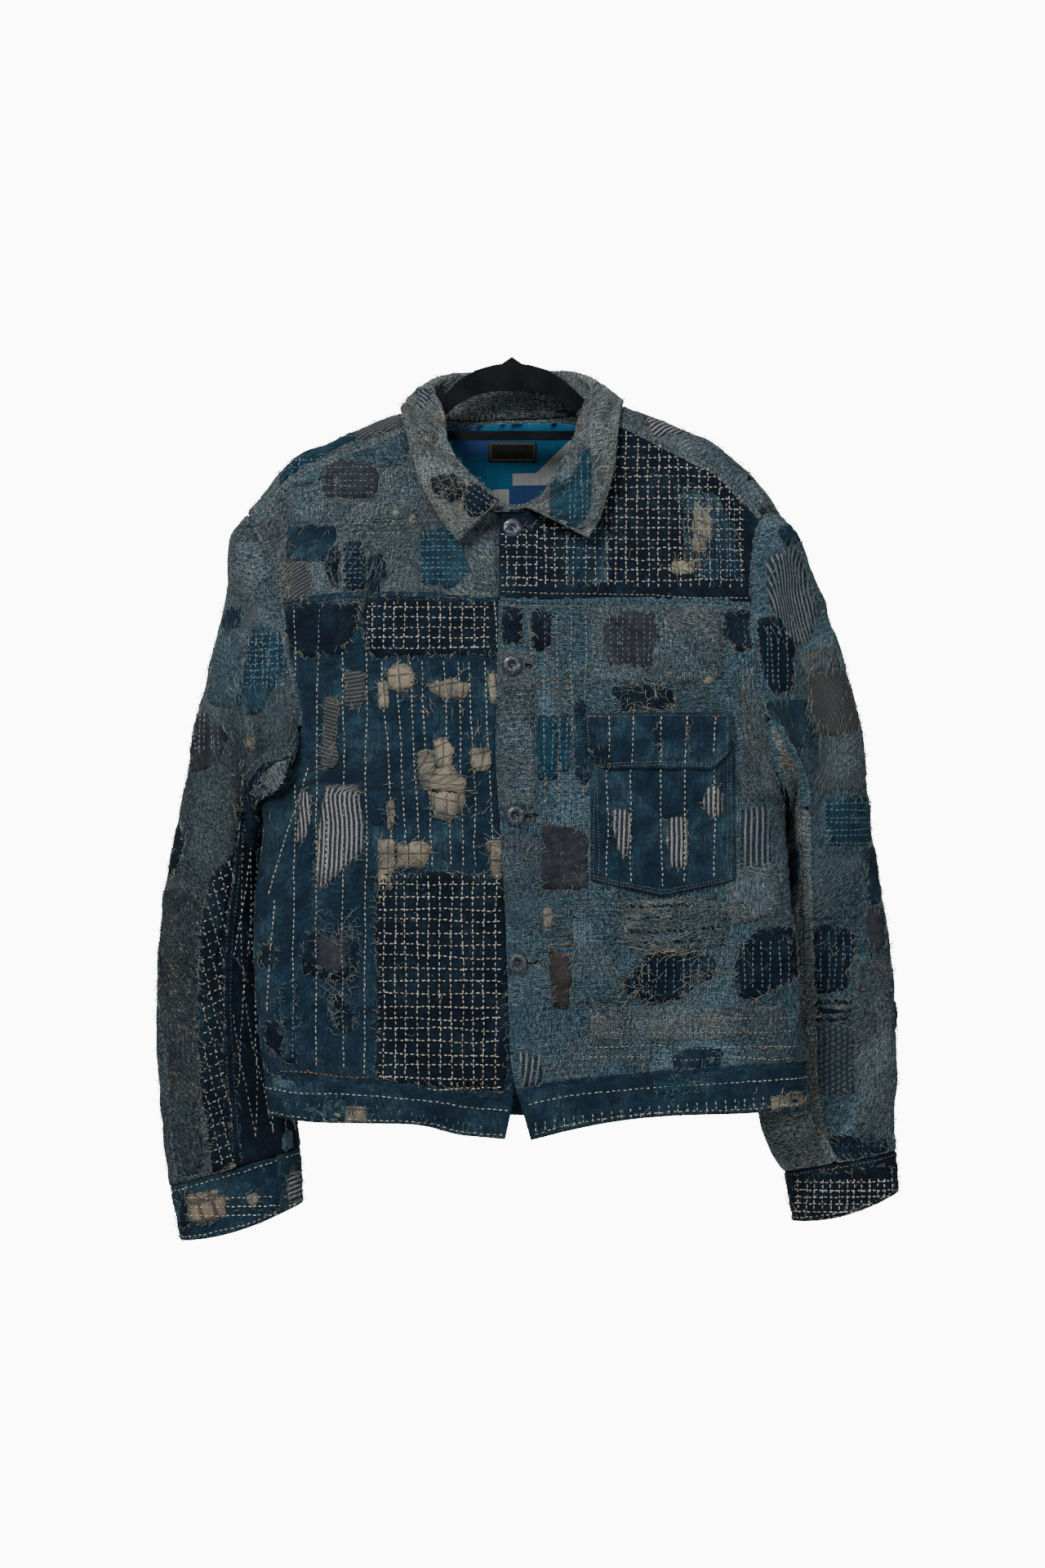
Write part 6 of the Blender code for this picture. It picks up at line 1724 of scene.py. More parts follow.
# %% The patches that the picture shows
# Columns: piece, cloth, ragged, turn, outline in pixels
PATCHES = (
    # the front on the left of the picture
    ("front_right", "dark", 1.5, 0, (445, 735, 612, 733, 612, 806, 560, 803, 500, 806, 460, 808, 448, 790)),
    ("front_right", "dark", 2.2, 0, (350, 742, 400, 742, 442, 740, 440, 770, 425, 800, 380, 806, 352, 790)),
    ("front_right", "dark", 1.0, 0,
     (464, 1068, 540, 1066, 621, 1070, 622, 1200, 621, 1331, 540, 1326, 464, 1318)),
    ("front_right", "ticking", 1.2, 3,
     (401, 963, 440, 961, 448, 1000, 445, 1042, 418, 1068, 392, 1089, 390, 1055)),
    ("front_right", "ticking", 1.4, 3, (371, 968, 384, 970, 384, 1000, 374, 1034, 366, 1030, 368, 1000)),
    ("front_right", "dark", 2.0, 0, (378, 1139, 440, 1136, 444, 1160, 436, 1194, 404, 1196, 373, 1190)),
    ("front_right", "mauve", 1.6, 0, (388, 1146, 432, 1143, 430, 1186, 392, 1188)),
    ("front_right", "dark", 1.6, 0, (320, 1157, 341, 1155, 342, 1180, 322, 1184)),
    ("front_right", "dark", 2.0, 0, (325, 1246, 348, 1250, 357, 1272, 352, 1290, 330, 1286)),
    ("front_right", "dark", 1.8, 0, (409, 1216, 420, 1212, 436, 1240, 432, 1262, 418, 1260)),
    ("front_right", "tan", 1.6, 4, (477, 819, 500, 815, 510, 826, 506, 846, 488, 850, 476, 840)),
    ("front_right", "tan", 1.6, 0, (465, 836, 477, 833, 479, 872, 466, 872)),
    ("front_right", "tan", 2.4, 8, (528, 836, 552, 833, 578, 838, 572, 854, 545, 858, 530, 852)),
    ("front_right", "tan", 1.8, 0, (598, 828, 610, 826, 611, 862, 600, 864)),
    ("front_right", "tan", 2.2, 10, (513, 922, 530, 918, 536, 940, 532, 967, 518, 966)),
    ("front_right", "tan", 2.0, -6, (532, 907, 548, 903, 557, 920, 554, 940, 536, 940)),
    ("front_right", "tan", 2.4, 6,
     (531, 946, 556, 937, 572, 958, 572, 984, 552, 1004, 534, 1000, 528, 968)),
    ("front_right", "tan", 2.0, 0, (577, 914, 600, 916, 605, 938, 594, 945, 578, 940)),
    ("front_right", "tan", 1.4, 0, (476, 981, 486, 979, 485, 1015, 477, 1016)),
    ("front_right", "tan", 1.6, 0, (465, 1027, 485, 1026, 486, 1060, 484, 1088, 466, 1088)),
    ("front_right", "tan", 2.0, 0, (486, 1032, 526, 1030, 529, 1048, 520, 1064, 488, 1062)),
    ("front_right", "tan", 1.8, 0, (598, 1027, 616, 1026, 619, 1052, 614, 1077, 602, 1070)),
    ("front_right", "brown", 1.6, 0, (400, 856, 419, 858, 416, 900, 405, 946, 396, 942, 398, 900)),
    ("front_right", "brown", 1.6, 0, (424, 822, 452, 824, 450, 856, 438, 872, 425, 864)),
    ("front_right", "brown", 1.5, 0, (336, 1314, 361, 1314, 358, 1326, 337, 1326)),
    ("front_right", "denim", 1.2, 0, (346, 1200, 364, 1200, 366, 1300, 350, 1300)),
    # the front on the right of the picture
    ("front_left", "teal", 0.8, 0, (657, 878, 682, 876, 683, 955, 658, 957)),
    ("front_left", "teal", 0.8, 0, (684, 875, 699, 876, 698, 944, 685, 946)),
    ("front_left", "mauve", 1.2, 0, (663, 1008, 700, 1012, 719, 1020, 719, 1088, 664, 1088)),
    ("front_left", "umber", 1.2, 90, (671, 1156, 696, 1166, 700, 1200, 696, 1233, 676, 1230)),
    ("front_left", "dark", 2.6, 0, (748, 842, 780, 838, 822, 843, 824, 868, 790, 872, 758, 872)),
    ("front_left", "dark", 2.4, 0,
     (759, 1197, 772, 1187, 795, 1165, 830, 1162, 868, 1165, 875, 1178, 868, 1197,
                                    849, 1203, 837, 1218, 810, 1224, 791, 1222, 768, 1214)),
    ("front_left", "dark", 2.4, 0,
     (895, 1184, 906, 1153, 922, 1138, 966, 1131, 978, 1160, 976, 1197, 945, 1207,
                                    918, 1224, 902, 1218)),
    ("front_left", "cord", 1.0, 0, (902, 988, 938, 988, 942, 1040, 938, 1084, 905, 1084)),
    ("front_left", "cord", 1.0, 0, (633, 1284, 661, 1282, 664, 1310, 660, 1332, 640, 1332)),
    ("front_left", "dark", 1.4, 0, (614, 746, 640, 744, 640, 790, 616, 792)),
    ("front_left", "dark", 1.4, 0, (652, 747, 675, 745, 674, 798, 653, 800)),
    ("front_left", "dark", 2.4, 0, (885, 752, 918, 748, 921, 792, 898, 800, 884, 782)),
    ("front_left", "tan", 1.2, 0, (858, 826, 871, 825, 871, 838, 858, 839)),
    ("front_left", "denim", 1.4, 0, (822, 1284, 850, 1278, 884, 1280, 886, 1308, 824, 1313)),
    ("front_left", "weathered", 1.4, 0, (770, 1100, 860, 1096, 890, 1110, 884, 1158, 800, 1160, 760, 1150)),
    ("front_left", "weathered", 1.2, 0, (722, 745, 880, 745, 884, 830, 830, 838, 722, 834)),
    ("front_left", "mauve", 1.6, 0, (740, 752, 800, 750, 806, 790, 800, 818, 745, 820, 737, 790)),
    ("front_left", "weathered", 1.2, 90, (612, 800, 654, 800, 655, 990, 612, 994)),
    ("front_left", "denim", 1.4, 0, (702, 858, 716, 858, 720, 960, 704, 964)),
    ("front_left", "weathered", 1.4, 90, (905, 820, 958, 812, 966, 900, 958, 975, 906, 980)),
    ("front_left", "weathered", 1.4, 0, (720, 1230, 890, 1228, 960, 1230, 962, 1262, 840, 1270, 722, 1268)),
    ("front_left", "slate", 1.4, 90, (700, 1100, 756, 1096, 752, 1226, 704, 1228)),
    ("front_left", "tan", 1.6, 0, (772, 1108, 786, 1108, 786, 1124, 773, 1124)),
    ("front_left", "tan", 1.4, 0, (664, 1108, 676, 1110, 677, 1136, 665, 1134)),
    # yokes
    ("yoke_front_right", "weathered", 1.2, 0, (352, 600, 420, 590, 420, 640, 352, 640)),
    ("yoke_front_right", "weathered", 1.4, 90, (500, 560, 560, 580, 596, 640, 500, 646)),
    ("yoke_front_right", "denim", 1.4, 0, (352, 645, 412, 645, 414, 690, 352, 688)),
    ("yoke_front_right", "slate", 1.4, 0, (384, 560, 500, 530, 500, 572, 420, 576, 352, 600)),
    ("yoke_front_right", "mauve", 1.5, 0, (394, 566, 460, 563, 466, 590, 462, 612, 396, 611)),
    ("yoke_front_right", "weathered", 0.9, 90,
     (358, 620, 430, 617, 512, 621, 514, 637, 430, 640, 358, 643)),
    ("yoke_front_right", "dark", 2.6, 0, (402, 676, 416, 670, 420, 696, 418, 722, 404, 720, 400, 696)),
    ("yoke_front_right", "dark", 2.0, 0, (420, 668, 446, 664, 452, 690, 448, 724, 424, 722)),
    ("yoke_front_right", "dark", 2.6, 0, (452, 682, 470, 680, 476, 705, 466, 730, 452, 728)),
    ("yoke_front_right", "teal", 1.5, 0, (515, 652, 552, 648, 582, 652, 580, 700, 556, 722, 516, 718)),
    ("yoke_front_right", "brown", 2.2, 0, (346, 692, 372, 690, 386, 712, 378, 742, 352, 740)),
    ("yoke_front_right", "tan", 1.0, 0, (481, 628, 490, 627, 490, 634, 482, 634)),
    ("yoke_front_right", "tan", 1.0, 0, (501, 632, 510, 631, 510, 639, 502, 639)),
    ("yoke_front_right", "weathered", 1.5, 0, (560, 650, 607, 648, 608, 722, 584, 724)),
    ("yoke_front_left", "denim", 1.0, 0, (835, 600, 872, 604, 900, 650, 908, 712, 870, 716, 838, 690)),
    ("yoke_front_left", "tan", 2.2, 0, (846, 618, 868, 616, 871, 650, 862, 680, 847, 676)),
    ("yoke_front_left", "tan", 1.4, 0, (820, 690, 850, 689, 850, 705, 821, 706)),
    ("yoke_front_left", "denim", 1.4, 0, (700, 640, 745, 650, 742, 718, 700, 722, 690, 690)),
    ("back_yoke", "ticking", 1.4, 12, (790, 507, 828, 512, 838, 532, 800, 536)),
    ("back_yoke", "teal", 1.2, 0,
     (342, 592, 354, 562, 392, 540, 440, 522, 444, 536, 404, 554, 372, 578, 350, 602)),
    ("back_yoke", "brown", 1.2, 0, (432, 512, 492, 502, 494, 528, 436, 540)),
    ("back_yoke", "weathered", 1.6, 30, (872, 562, 920, 580, 948, 626, 920, 640, 890, 600)),
    # sleeves
    ("sleeve_upper_right", "teal", 2.4, 0,
     (314, 768, 338, 770, 357, 790, 352, 822, 336, 852, 316, 880, 294, 864,
                                            292, 840, 304, 804)),
    ("sleeve_upper_right", "mauve", 2.0, 0,
     (234, 876, 252, 868, 282, 900, 270, 938, 240, 948, 228, 940, 230, 905)),
    ("sleeve_under_right", "weathered", 1.6, 0,
     (312, 960, 345, 932, 388, 912, 386, 948, 350, 984, 318, 1006)),
    ("sleeve_upper_right", "weathered", 1.5, 90, (276, 640, 340, 636, 345, 700, 300, 740, 272, 720)),
    ("sleeve_upper_right", "slate", 1.5, 0, (262, 780, 300, 774, 300, 840, 290, 868, 256, 862)),
    ("sleeve_upper_right", "denim", 1.8, 0, (276, 748, 300, 744, 300, 770, 272, 776)),
    ("sleeve_upper_left", "weathered", 1.5, 90, (1000, 900, 1056, 900, 1062, 966, 1004, 970)),
    ("sleeve_upper_left", "slate", 1.5, 0, (970, 1040, 1056, 1036, 1058, 1126, 972, 1128)),
    ("sleeve_upper_left", "denim", 1.8, 0, (1060, 1036, 1078, 1036, 1082, 1106, 1062, 1108)),
    ("sleeve_upper_left", "weathered", 1.8, 90, (972, 1225, 1040, 1222, 1042, 1246, 974, 1248)),
    ("sleeve_upper_right", "tan", 1.4, 0, (305, 905, 315, 904, 316, 916, 306, 917)),
    ("sleeve_upper_right", "dark", 2.6, 20, (292, 985, 318, 968, 322, 990, 302, 1014, 290, 1008)),
    ("sleeve_upper_right", "dark", 1.8, 0, (204, 1012, 224, 1008, 226, 1040, 214, 1074, 200, 1070)),
    ("sleeve_upper_right", "worn", 2.0, 0,
     (198, 1090, 246, 1084, 244, 1200, 242, 1330, 250, 1432, 216, 1446,
                                                 206, 1330, 192, 1210)),
    ("sleeve_upper_left", "cord", 1.8, -28, (936, 686, 972, 668, 1002, 742, 988, 792, 960, 792, 940, 740)),
    ("sleeve_upper_left", "dark", 2.0, 0, (918, 762, 950, 754, 972, 790, 968, 846, 944, 850, 922, 806)),
    ("sleeve_upper_left", "brown", 1.6, 90,
     (985, 826, 1030, 818, 1050, 840, 1050, 896, 1010, 904, 990, 880)),
    ("sleeve_upper_left", "teal", 2.0, 0, (1006, 978, 1060, 972, 1070, 1000, 1064, 1036, 1014, 1036)),
    ("sleeve_upper_left", "dark", 2.6, 0,
     (970, 1140, 1010, 1130, 1044, 1140, 1048, 1180, 1036, 1214, 996, 1220,
                                           972, 1196)),
    ("sleeve_upper_left", "denim", 1.6, 0, (950, 650, 975, 640, 984, 664, 960, 672)),
    ("sleeve_upper_left", "weathered", 1.6, 45, (975, 800, 1020, 790, 1030, 816, 984, 824)),
    ("sleeve_upper_left", "denim", 1.6, 20, (930, 860, 985, 858, 996, 905, 960, 930, 934, 905)),
    ("sleeve_upper_left", "mauve", 1.6, 0, (1060, 1112, 1084, 1112, 1086, 1160, 1064, 1170)),
    ("sleeve_upper_left", "check", 1.8, 0, (988, 1256, 1046, 1252, 1052, 1340, 992, 1344)),
    ("sleeve_upper_left", "dark", 0.9, 0, (974, 1225, 1010, 1223, 1048, 1226, 1046, 1230, 976, 1231)),
    ("sleeve_upper_left", "dark", 0.9, 0, (972, 1236, 1020, 1235, 1050, 1238, 1020, 1242, 974, 1241)),
    ("sleeve_upper_left", "dark", 0.8, 0, (976, 1248, 1040, 1246, 1040, 1250, 978, 1252)),
    ("front_left", "dark", 0.8, 0, (756, 1106, 850, 1104, 850, 1107, 758, 1110)),
    ("front_left", "dark", 0.8, 0, (764, 1121, 862, 1119, 862, 1122, 766, 1125)),
    ("front_left", "dark", 0.9, 0, (758, 1136, 884, 1133, 884, 1137, 760, 1140)),
    ("front_left", "dark", 0.9, 0, (772, 1151, 868, 1147, 866, 1151, 774, 1155)),
    ("front_left", "weathered", 1.4, 90, (884, 1060, 950, 1056, 956, 1120, 890, 1130)),
    ("sleeve_upper_left", "weathered", 1.8, 0, (1040, 1180, 1092, 1176, 1096, 1400, 1052, 1396)),
    ("sleeve_upper_left", "dark", 2.0, 0,
     (966, 1398, 1030, 1392, 1088, 1394, 1088, 1432, 1020, 1438, 970, 1440)),
    ("sleeve_upper_left", "dark", 1.4, 0, (1094, 1226, 1101, 1226, 1102, 1264, 1096, 1264)),
    ("sleeve_upper_right", "dark", 1.6, 0, (318, 968, 300, 1010, 282, 1050, 260, 1075, 247, 1130, 244, 1180,
                                            242, 1245, 246, 1330, 262, 1442, 300, 1434, 300, 1250, 296,
                                            1100,
                                            300, 1030, 312, 990)),
    ("sleeve_under_right", "brown", 1.4, 0, (252, 1290, 268, 1286, 282, 1400, 262, 1430)),
    ("cuff_right", "plaid", 1.2, 0, (228, 1464, 262, 1456, 277, 1462, 276, 1492, 242, 1500, 230, 1496)),
    ("cuff_right", "ticking", 0.8, 90, (350, 1440, 368, 1434, 368, 1470, 352, 1476)),
    ("sleeve_under_right", "sky", 0.8, 0, (344, 1384, 358, 1384, 358, 1412, 346, 1412)),
    ("cuff_right", "tan", 1.0, 12, (300, 1464, 317, 1460, 318, 1474, 302, 1476)),
    ("cuff_right", "dark", 1.2, 0, (216, 1470, 228, 1464, 230, 1500, 222, 1510)),
    ("cuff_left", "dark", 1.0, 0, (972, 1440, 1094, 1428, 1096, 1476, 1060, 1490, 976, 1490)),
    # collar, pocket and band
    ("collar", "cord", 1.0, 70, (508, 478, 530, 474, 534, 508, 512, 514)),
    ("collar", "dark", 2.4, 0, (526, 590, 556, 584, 574, 598, 566, 622, 548, 618, 532, 606)),
    ("collar", "dark", 1.4, 0, (574, 592, 590, 600, 611, 618, 596, 634, 577, 640, 566, 622)),
    ("collar", "teal", 1.4, 0, (676, 560, 722, 550, 728, 600, 714, 654, 672, 640)),
    ("collar", "weathered", 1.4, 0, (724, 558, 738, 560, 736, 640, 722, 648)),
    ("pocket", "ticking", 1.6, 3, (747, 990, 768, 990, 772, 1020, 768, 1046, 760, 1052, 750, 1020)),
    ("pocket", "ticking", 1.6, 0, (816, 1002, 838, 1000, 842, 1030, 838, 1060, 818, 1061, 814, 1030)),
    ("pocket", "ticking", 1.4, 0, (860, 966, 872, 961, 883, 970, 882, 998, 866, 1002, 858, 984)),
    ("pocket_flap", "dark", 0.4, 0, (801, 890, 806, 890, 807, 921, 801, 921)),
    ("pocket_flap", "brown", 0.9, 0, (836, 884, 842, 884, 842, 915, 837, 915)),
    ("front_left", "dark", 0.3, 0, (640, 815, 655, 814, 655, 819, 640, 820)),
    ("front_left", "dark", 0.3, 0, (643, 996, 660, 995, 660, 1000, 643, 1001)),
    ("front_left", "dark", 0.3, 0, (646, 1173, 664, 1172, 664, 1177, 646, 1178)),
    ("yoke_front_left", "dark", 0.3, 0, (640, 646, 654, 645, 654, 650, 640, 651)),
    ("pocket_flap", "dark", 1.6, 0, (722, 916, 745, 914, 748, 938, 732, 940)),
    ("waistband", "tan", 1.2, 0, (400, 1352, 452, 1350, 452, 1372, 402, 1373)),
    ("waistband", "tan", 1.2, 0, (940, 1338, 984, 1336, 984, 1356, 942, 1358)),
    ("waistband", "slate", 1.2, 0, (336, 1316, 362, 1315, 362, 1330, 337, 1330)),
    ("waistband", "teal", 1.2, 0, (800, 1320, 850, 1318, 850, 1332, 802, 1334)),
)

# %% Patches of the hidden sides
# Columns: piece, count, smallest, largest in mm, cloths
SCATTERED = (
    ("back", 34, 30, 120,
     ("dark", "denim", "teal", "mauve", "weathered", "slate", "ticking", "tan", "brown", "denim")),
    ("back_yoke", 12, 25, 70, ("dark", "teal", "mauve", "weathered", "denim", "tan")),
    ("sleeve_under_left", 7, 25, 70, ("denim", "slate", "teal", "weathered", "mauve")),
    ("sleeve_under_right", 5, 25, 60, ("dark", "denim", "dark")),
    ("collar", 5, 14, 30, ("denim", "weathered", "teal")),
    ("waistband", 6, 14, 34, ("slate", "teal", "tan", "dark")),
)


def scattered_outline(cloth, low, high):
    """A rough box of random size at a random place of the cloth, as ring corners in mm of rows and
    columns."""
    wide, tall = draw.uniform(low, high, 2) * (1.0, 0.8)
    rows, columns = np.array(cloth.u.shape) * cloth.step
    middle = draw.uniform((0.1, 0.06), (0.9, 0.94)) * (rows, columns)
    corners = np.array([(-0.5, -0.5), (-0.5, 0.5), (0.5, 0.5), (0.5, -0.5)]) + draw.uniform(-0.07, 0.07,
                                                                                            (4, 2))
    return corners * (tall, wide) + middle


def ring_places(cloth, ring):
    """A ring in mm of rows and columns as places on the cloth, kept just inside its edges."""
    limit = np.array(cloth.u.shape) - 1.6
    return np.clip(ring / cloth.step, 0.6, limit).T


PATCH_EDGES = []
PATCH_MESHES = {}
PATCH_BOXES = {}


def keep_patch(cloth, i, j, fabric, turn, number):
    """Adds one patch's arrays to its piece's list, one level above those that its box meets, and its edge
    to the places that fray."""
    box = (i.min(), i.max(), j.min(), j.max())
    under = [level for (i0, i1, j0, j1), level in PATCH_BOXES.get(cloth.name, [])
             if i0 < box[1] and box[0] < i1 and j0 < box[3] and box[2] < j1]
    level = 1 + max(under, default=-1)
    PATCH_BOXES.setdefault(cloth.name, []).append((box, level))
    lift = 0.45 + 0.17 * level
    points, faces, uv = patch_arrays(cloth, i, j, lift, turn, 0.5, number)
    PATCH_MESHES.setdefault(cloth.name, []).append((points, faces, uv, fabric))
    PATCH_EDGES.append((cloth, i, j, lift, fabric))


for number, (piece, fabric, ragged, turn, numbers) in enumerate(PATCHES):
    cloth = CLOTHS[piece]
    x, z = px(outline(numbers))
    ring = frayed(np.stack([x, z], axis=-1), 0.65 * ragged, 2.8, number)
    i, j = cloth.seen(ring[:, 0], ring[:, 1])
    i, j = ring_places(cloth, np.stack([i, j], axis=-1) * cloth.step)
    keep_patch(cloth, i, j, fabric, turn, number)
for piece, count, low, high, fabrics in SCATTERED:
    for number in range(count):
        ring = frayed(scattered_outline(CLOTHS[piece], low, high), 1.0, 3.2, 200 + number)
        i, j = ring_places(CLOTHS[piece], ring)
        fabric = fabrics[number % len(fabrics)]
        keep_patch(CLOTHS[piece], i, j, fabric, 90 * (number % 2) + 5 * draw.standard_normal(),
                   200 + number)
print("patches:", len(PATCH_EDGES), "triangles:",
      sum(len(p[1]) for each in PATCH_MESHES.values() for p in each))


def joined_arrays(parts):
    """Several meshes end to end: points, faces renumbered, maps, and each face's own cloth."""
    starts = np.cumsum([0] + [len(p[0]) for p in parts[:-1]])
    return (np.concatenate([p[0] for p in parts]),
            np.concatenate([p[1] + s for p, s in zip(parts, starts)]),
            np.concatenate([p[2] for p in parts]), [p[3] for p in parts], [len(p[1]) for p in parts])

# %% [markdown]
# ## Running stitches
#
# The hand stitching is thick cotton pulled in and out of the cloth, so each stitch is a small bar that
# rises from the cloth and dives back into it. A line of dashes in a material would look flat beside them.
# Thousands are needed, so a stitch has only twelve triangles, and all those of one piece are one mesh.

# %% A bar for each stitch, all at once
STITCH_MESHES = {}


def stitch_line(cloth, i, j, colour="cream", pitch=4.7, length=3.4, width=1.2, out=0.15):
    """Stitches along a line of (row, column) places: one every pitch, its length and its place a little
    uneven."""
    if len(i) < 3:
        return
    track = cloth.at(i, j)
    run = np.concatenate([[0], np.cumsum(np.linalg.norm(np.diff(track, axis=0), axis=1))])
    count = int(run[-1] / pitch)
    if count < 1:
        return
    starts = (np.arange(count) + draw.uniform(-0.09, 0.09, count)) * pitch
    ends = starts + length * draw.uniform(0.82, 1.12, count)
    sway = draw.uniform(-0.35, 0.35, (2, count)) / cloth.step
    one = [np.interp(starts, run, a) + s for a, s in zip((i, j), sway)]
    two = [np.interp(ends, run, a) + s for a, s in zip((i, j), sway)]
    a, b, normal = cloth.at(*one, out), cloth.at(*two, out), cloth.out(*one)
    STITCH_MESHES.setdefault((cloth.name, colour), []).append((a, b, normal, np.full(count, width)))


def stitch_arrays(parts):
    """Every stitch is a tip, two three-cornered rings and a tip: 8 points and 12 triangles."""
    a, b, normal, width = (np.concatenate([p[k] for p in parts]) for k in range(4))
    ahead = b - a
    side = unit(np.cross(unit(ahead), normal)) * width[:, None] / 2
    rise = normal * width[:, None] * 0.62
    near, far = a + 0.2 * ahead, a + 0.8 * ahead
    sunk = normal * 0.35
    rings = [near - side - sunk, near + side - sunk, near + rise, far - side - sunk, far + side - sunk,
             far + rise]
    points = np.stack([a - sunk, *rings, b - sunk], axis=1)
    shape = [(0, 2, 1), (0, 3, 2), (0, 1, 3), (1, 2, 5), (1, 5, 4), (2, 3, 6), (2, 6, 5), (3, 1, 4),
             (3, 4, 6),
             (7, 4, 5), (7, 5, 6), (7, 6, 4)]
    faces = np.array(shape)[None] + 8 * np.arange(len(a))[:, None, None]
    first = points[0]
    return points.reshape(-1, 3), faces.reshape(-1, 3), outward_faces(first - first.mean(axis=0),
                                                                      np.array(shape))


def seen_line(cloth, points, step=2.5, side=FRONT):
    """Places along a line given in pixels, at even steps."""
    x, z = px(points)
    run = np.concatenate([[0], np.cumsum(np.hypot(np.diff(x), np.diff(z)))])
    at = np.linspace(0, run[-1], max(3, int(run[-1] / step)))
    x, z = np.interp(at, run, x), np.interp(at, run, z)
    i, j = cloth.seen(x, z, side)
    there = np.hypot(*(cloth.at(i, j)[:, [0, 2]] - np.stack([x, z], axis=-1)).T) < 2.0
    return i[there], j[there]


def wavering(x0, y0, x1, y1, sway, kind):
    """A straight line in pixels that wanders sideways by noise."""
    t = np.linspace(0, 1, 14)
    points = np.stack([x0 + (x1 - x0) * t, y0 + (y1 - y0) * t], axis=-1)
    length = math.hypot(x1 - x0, y1 - y0)
    away = np.array([y1 - y0, x0 - x1]) / length
    return points + sway * away * noise(t * length, 0 * t, 55.0, kind)[:, None]


# %% Lines of stitches that the picture shows
# Columns: piece, thread, height over the cloth, x0, y0, x1, y1
LINES = (
    ("front_right", "cream", 0.15, 364, 748, 363, 905), ("front_right", "cream", 0.15, 392, 748, 390, 1305),
    ("front_right", "cream", 0.15, 424, 800, 422, 1310),
    ("front_right", "cream", 0.15, 453, 750, 450, 1312),
    ("front_right", "cream", 0.15, 365, 960, 362, 1300),
    ("front_right", "cream", 0.15, 380, 940, 330, 1100),
    ("front_right", "cream", 0.15, 338, 1100, 331, 1240),
    ("front_right", "cream", 0.15, 470, 812, 486, 1064),
    ("front_right", "cream", 0.15, 488, 812, 501, 1064),
    ("front_right", "cream", 0.15, 503, 812, 517, 1064),
    ("front_right", "cream", 0.15, 517, 812, 533, 1062),
    ("front_right", "cream", 0.15, 545, 812, 553, 1062),
    ("front_right", "cream", 0.15, 562, 812, 569, 1062),
    ("front_right", "cream", 0.15, 576, 812, 584, 1062),
    ("front_right", "cream", 0.15, 596, 812, 604, 1062),
    ("front_right", "cream", 0.95, 404, 965, 402, 1084),
    ("collar", "ice", 1.0, 576, 597, 605, 617), ("collar", "ice", 1.0, 571, 606, 601, 626),
    ("collar", "ice", 1.0, 575, 616, 597, 633), ("collar", "ice", 1.0, 572, 626, 588, 637),
    ("yoke_front_right", "slate", 0.2, 356, 644, 520, 642),
    ("yoke_front_right", "slate", 0.2, 420, 564, 503, 562),
    ("yoke_front_right", "slate", 0.2, 360, 617, 512, 618),
    ("yoke_front_right", "straw", 0.2, 430, 656, 500, 655),
    ("front_right", "cream", 0.15, 610, 812, 617, 1062), ("front_right", "gold", 0.1, 345, 1309, 460, 1314),
    ("pocket", "cream", 0.2, 742, 942, 742, 1076), ("pocket", "cream", 0.2, 771, 942, 771, 1080),
    ("pocket", "cream", 0.2, 808, 942, 808, 1090), ("pocket", "cream", 0.9, 835, 942, 835, 1085),
    ("pocket", "cream", 0.2, 871, 942, 871, 1078), ("pocket_flap", "cream", 0.2, 745, 878, 743, 936),
    ("pocket_flap", "cream", 0.2, 774, 878, 772, 938), ("pocket_flap", "cream", 0.2, 809, 878, 806, 938),
    ("pocket_flap", "cream", 0.2, 838, 878, 836, 938), ("pocket_flap", "cream", 0.2, 874, 878, 871, 930),
    ("pocket_flap", "gold", 0.2, 718, 880, 738, 880), ("pocket_flap", "gold", 0.2, 868, 878, 888, 877),
    ("front_left", "gold", 0.15, 657, 833, 694, 833), ("front_left", "gold", 0.15, 657, 849, 694, 849),
    ("front_left", "gold", 0.15, 657, 833, 657, 849), ("front_left", "gold", 0.15, 694, 833, 694, 849),
    ("front_left", "gold", 0.15, 673, 1153, 707, 1153), ("front_left", "gold", 0.15, 673, 1168, 707, 1168),
    ("front_left", "gold", 0.15, 673, 1153, 673, 1168), ("front_left", "gold", 0.15, 707, 1153, 707, 1168),
    ("front_left", "gold", 0.15, 660, 1012, 720, 1010),
    ("yoke_front_right", "straw", 0.15, 352, 639, 600, 641),
    ("yoke_front_right", "straw", 0.15, 352, 736, 608, 728),
    ("yoke_front_left", "straw", 0.15, 614, 728, 918, 734),
    ("yoke_front_right", "straw", 0.15, 430, 560, 600, 600),
    ("yoke_front_right", "slate", 0.15, 352, 700, 600, 700),
)
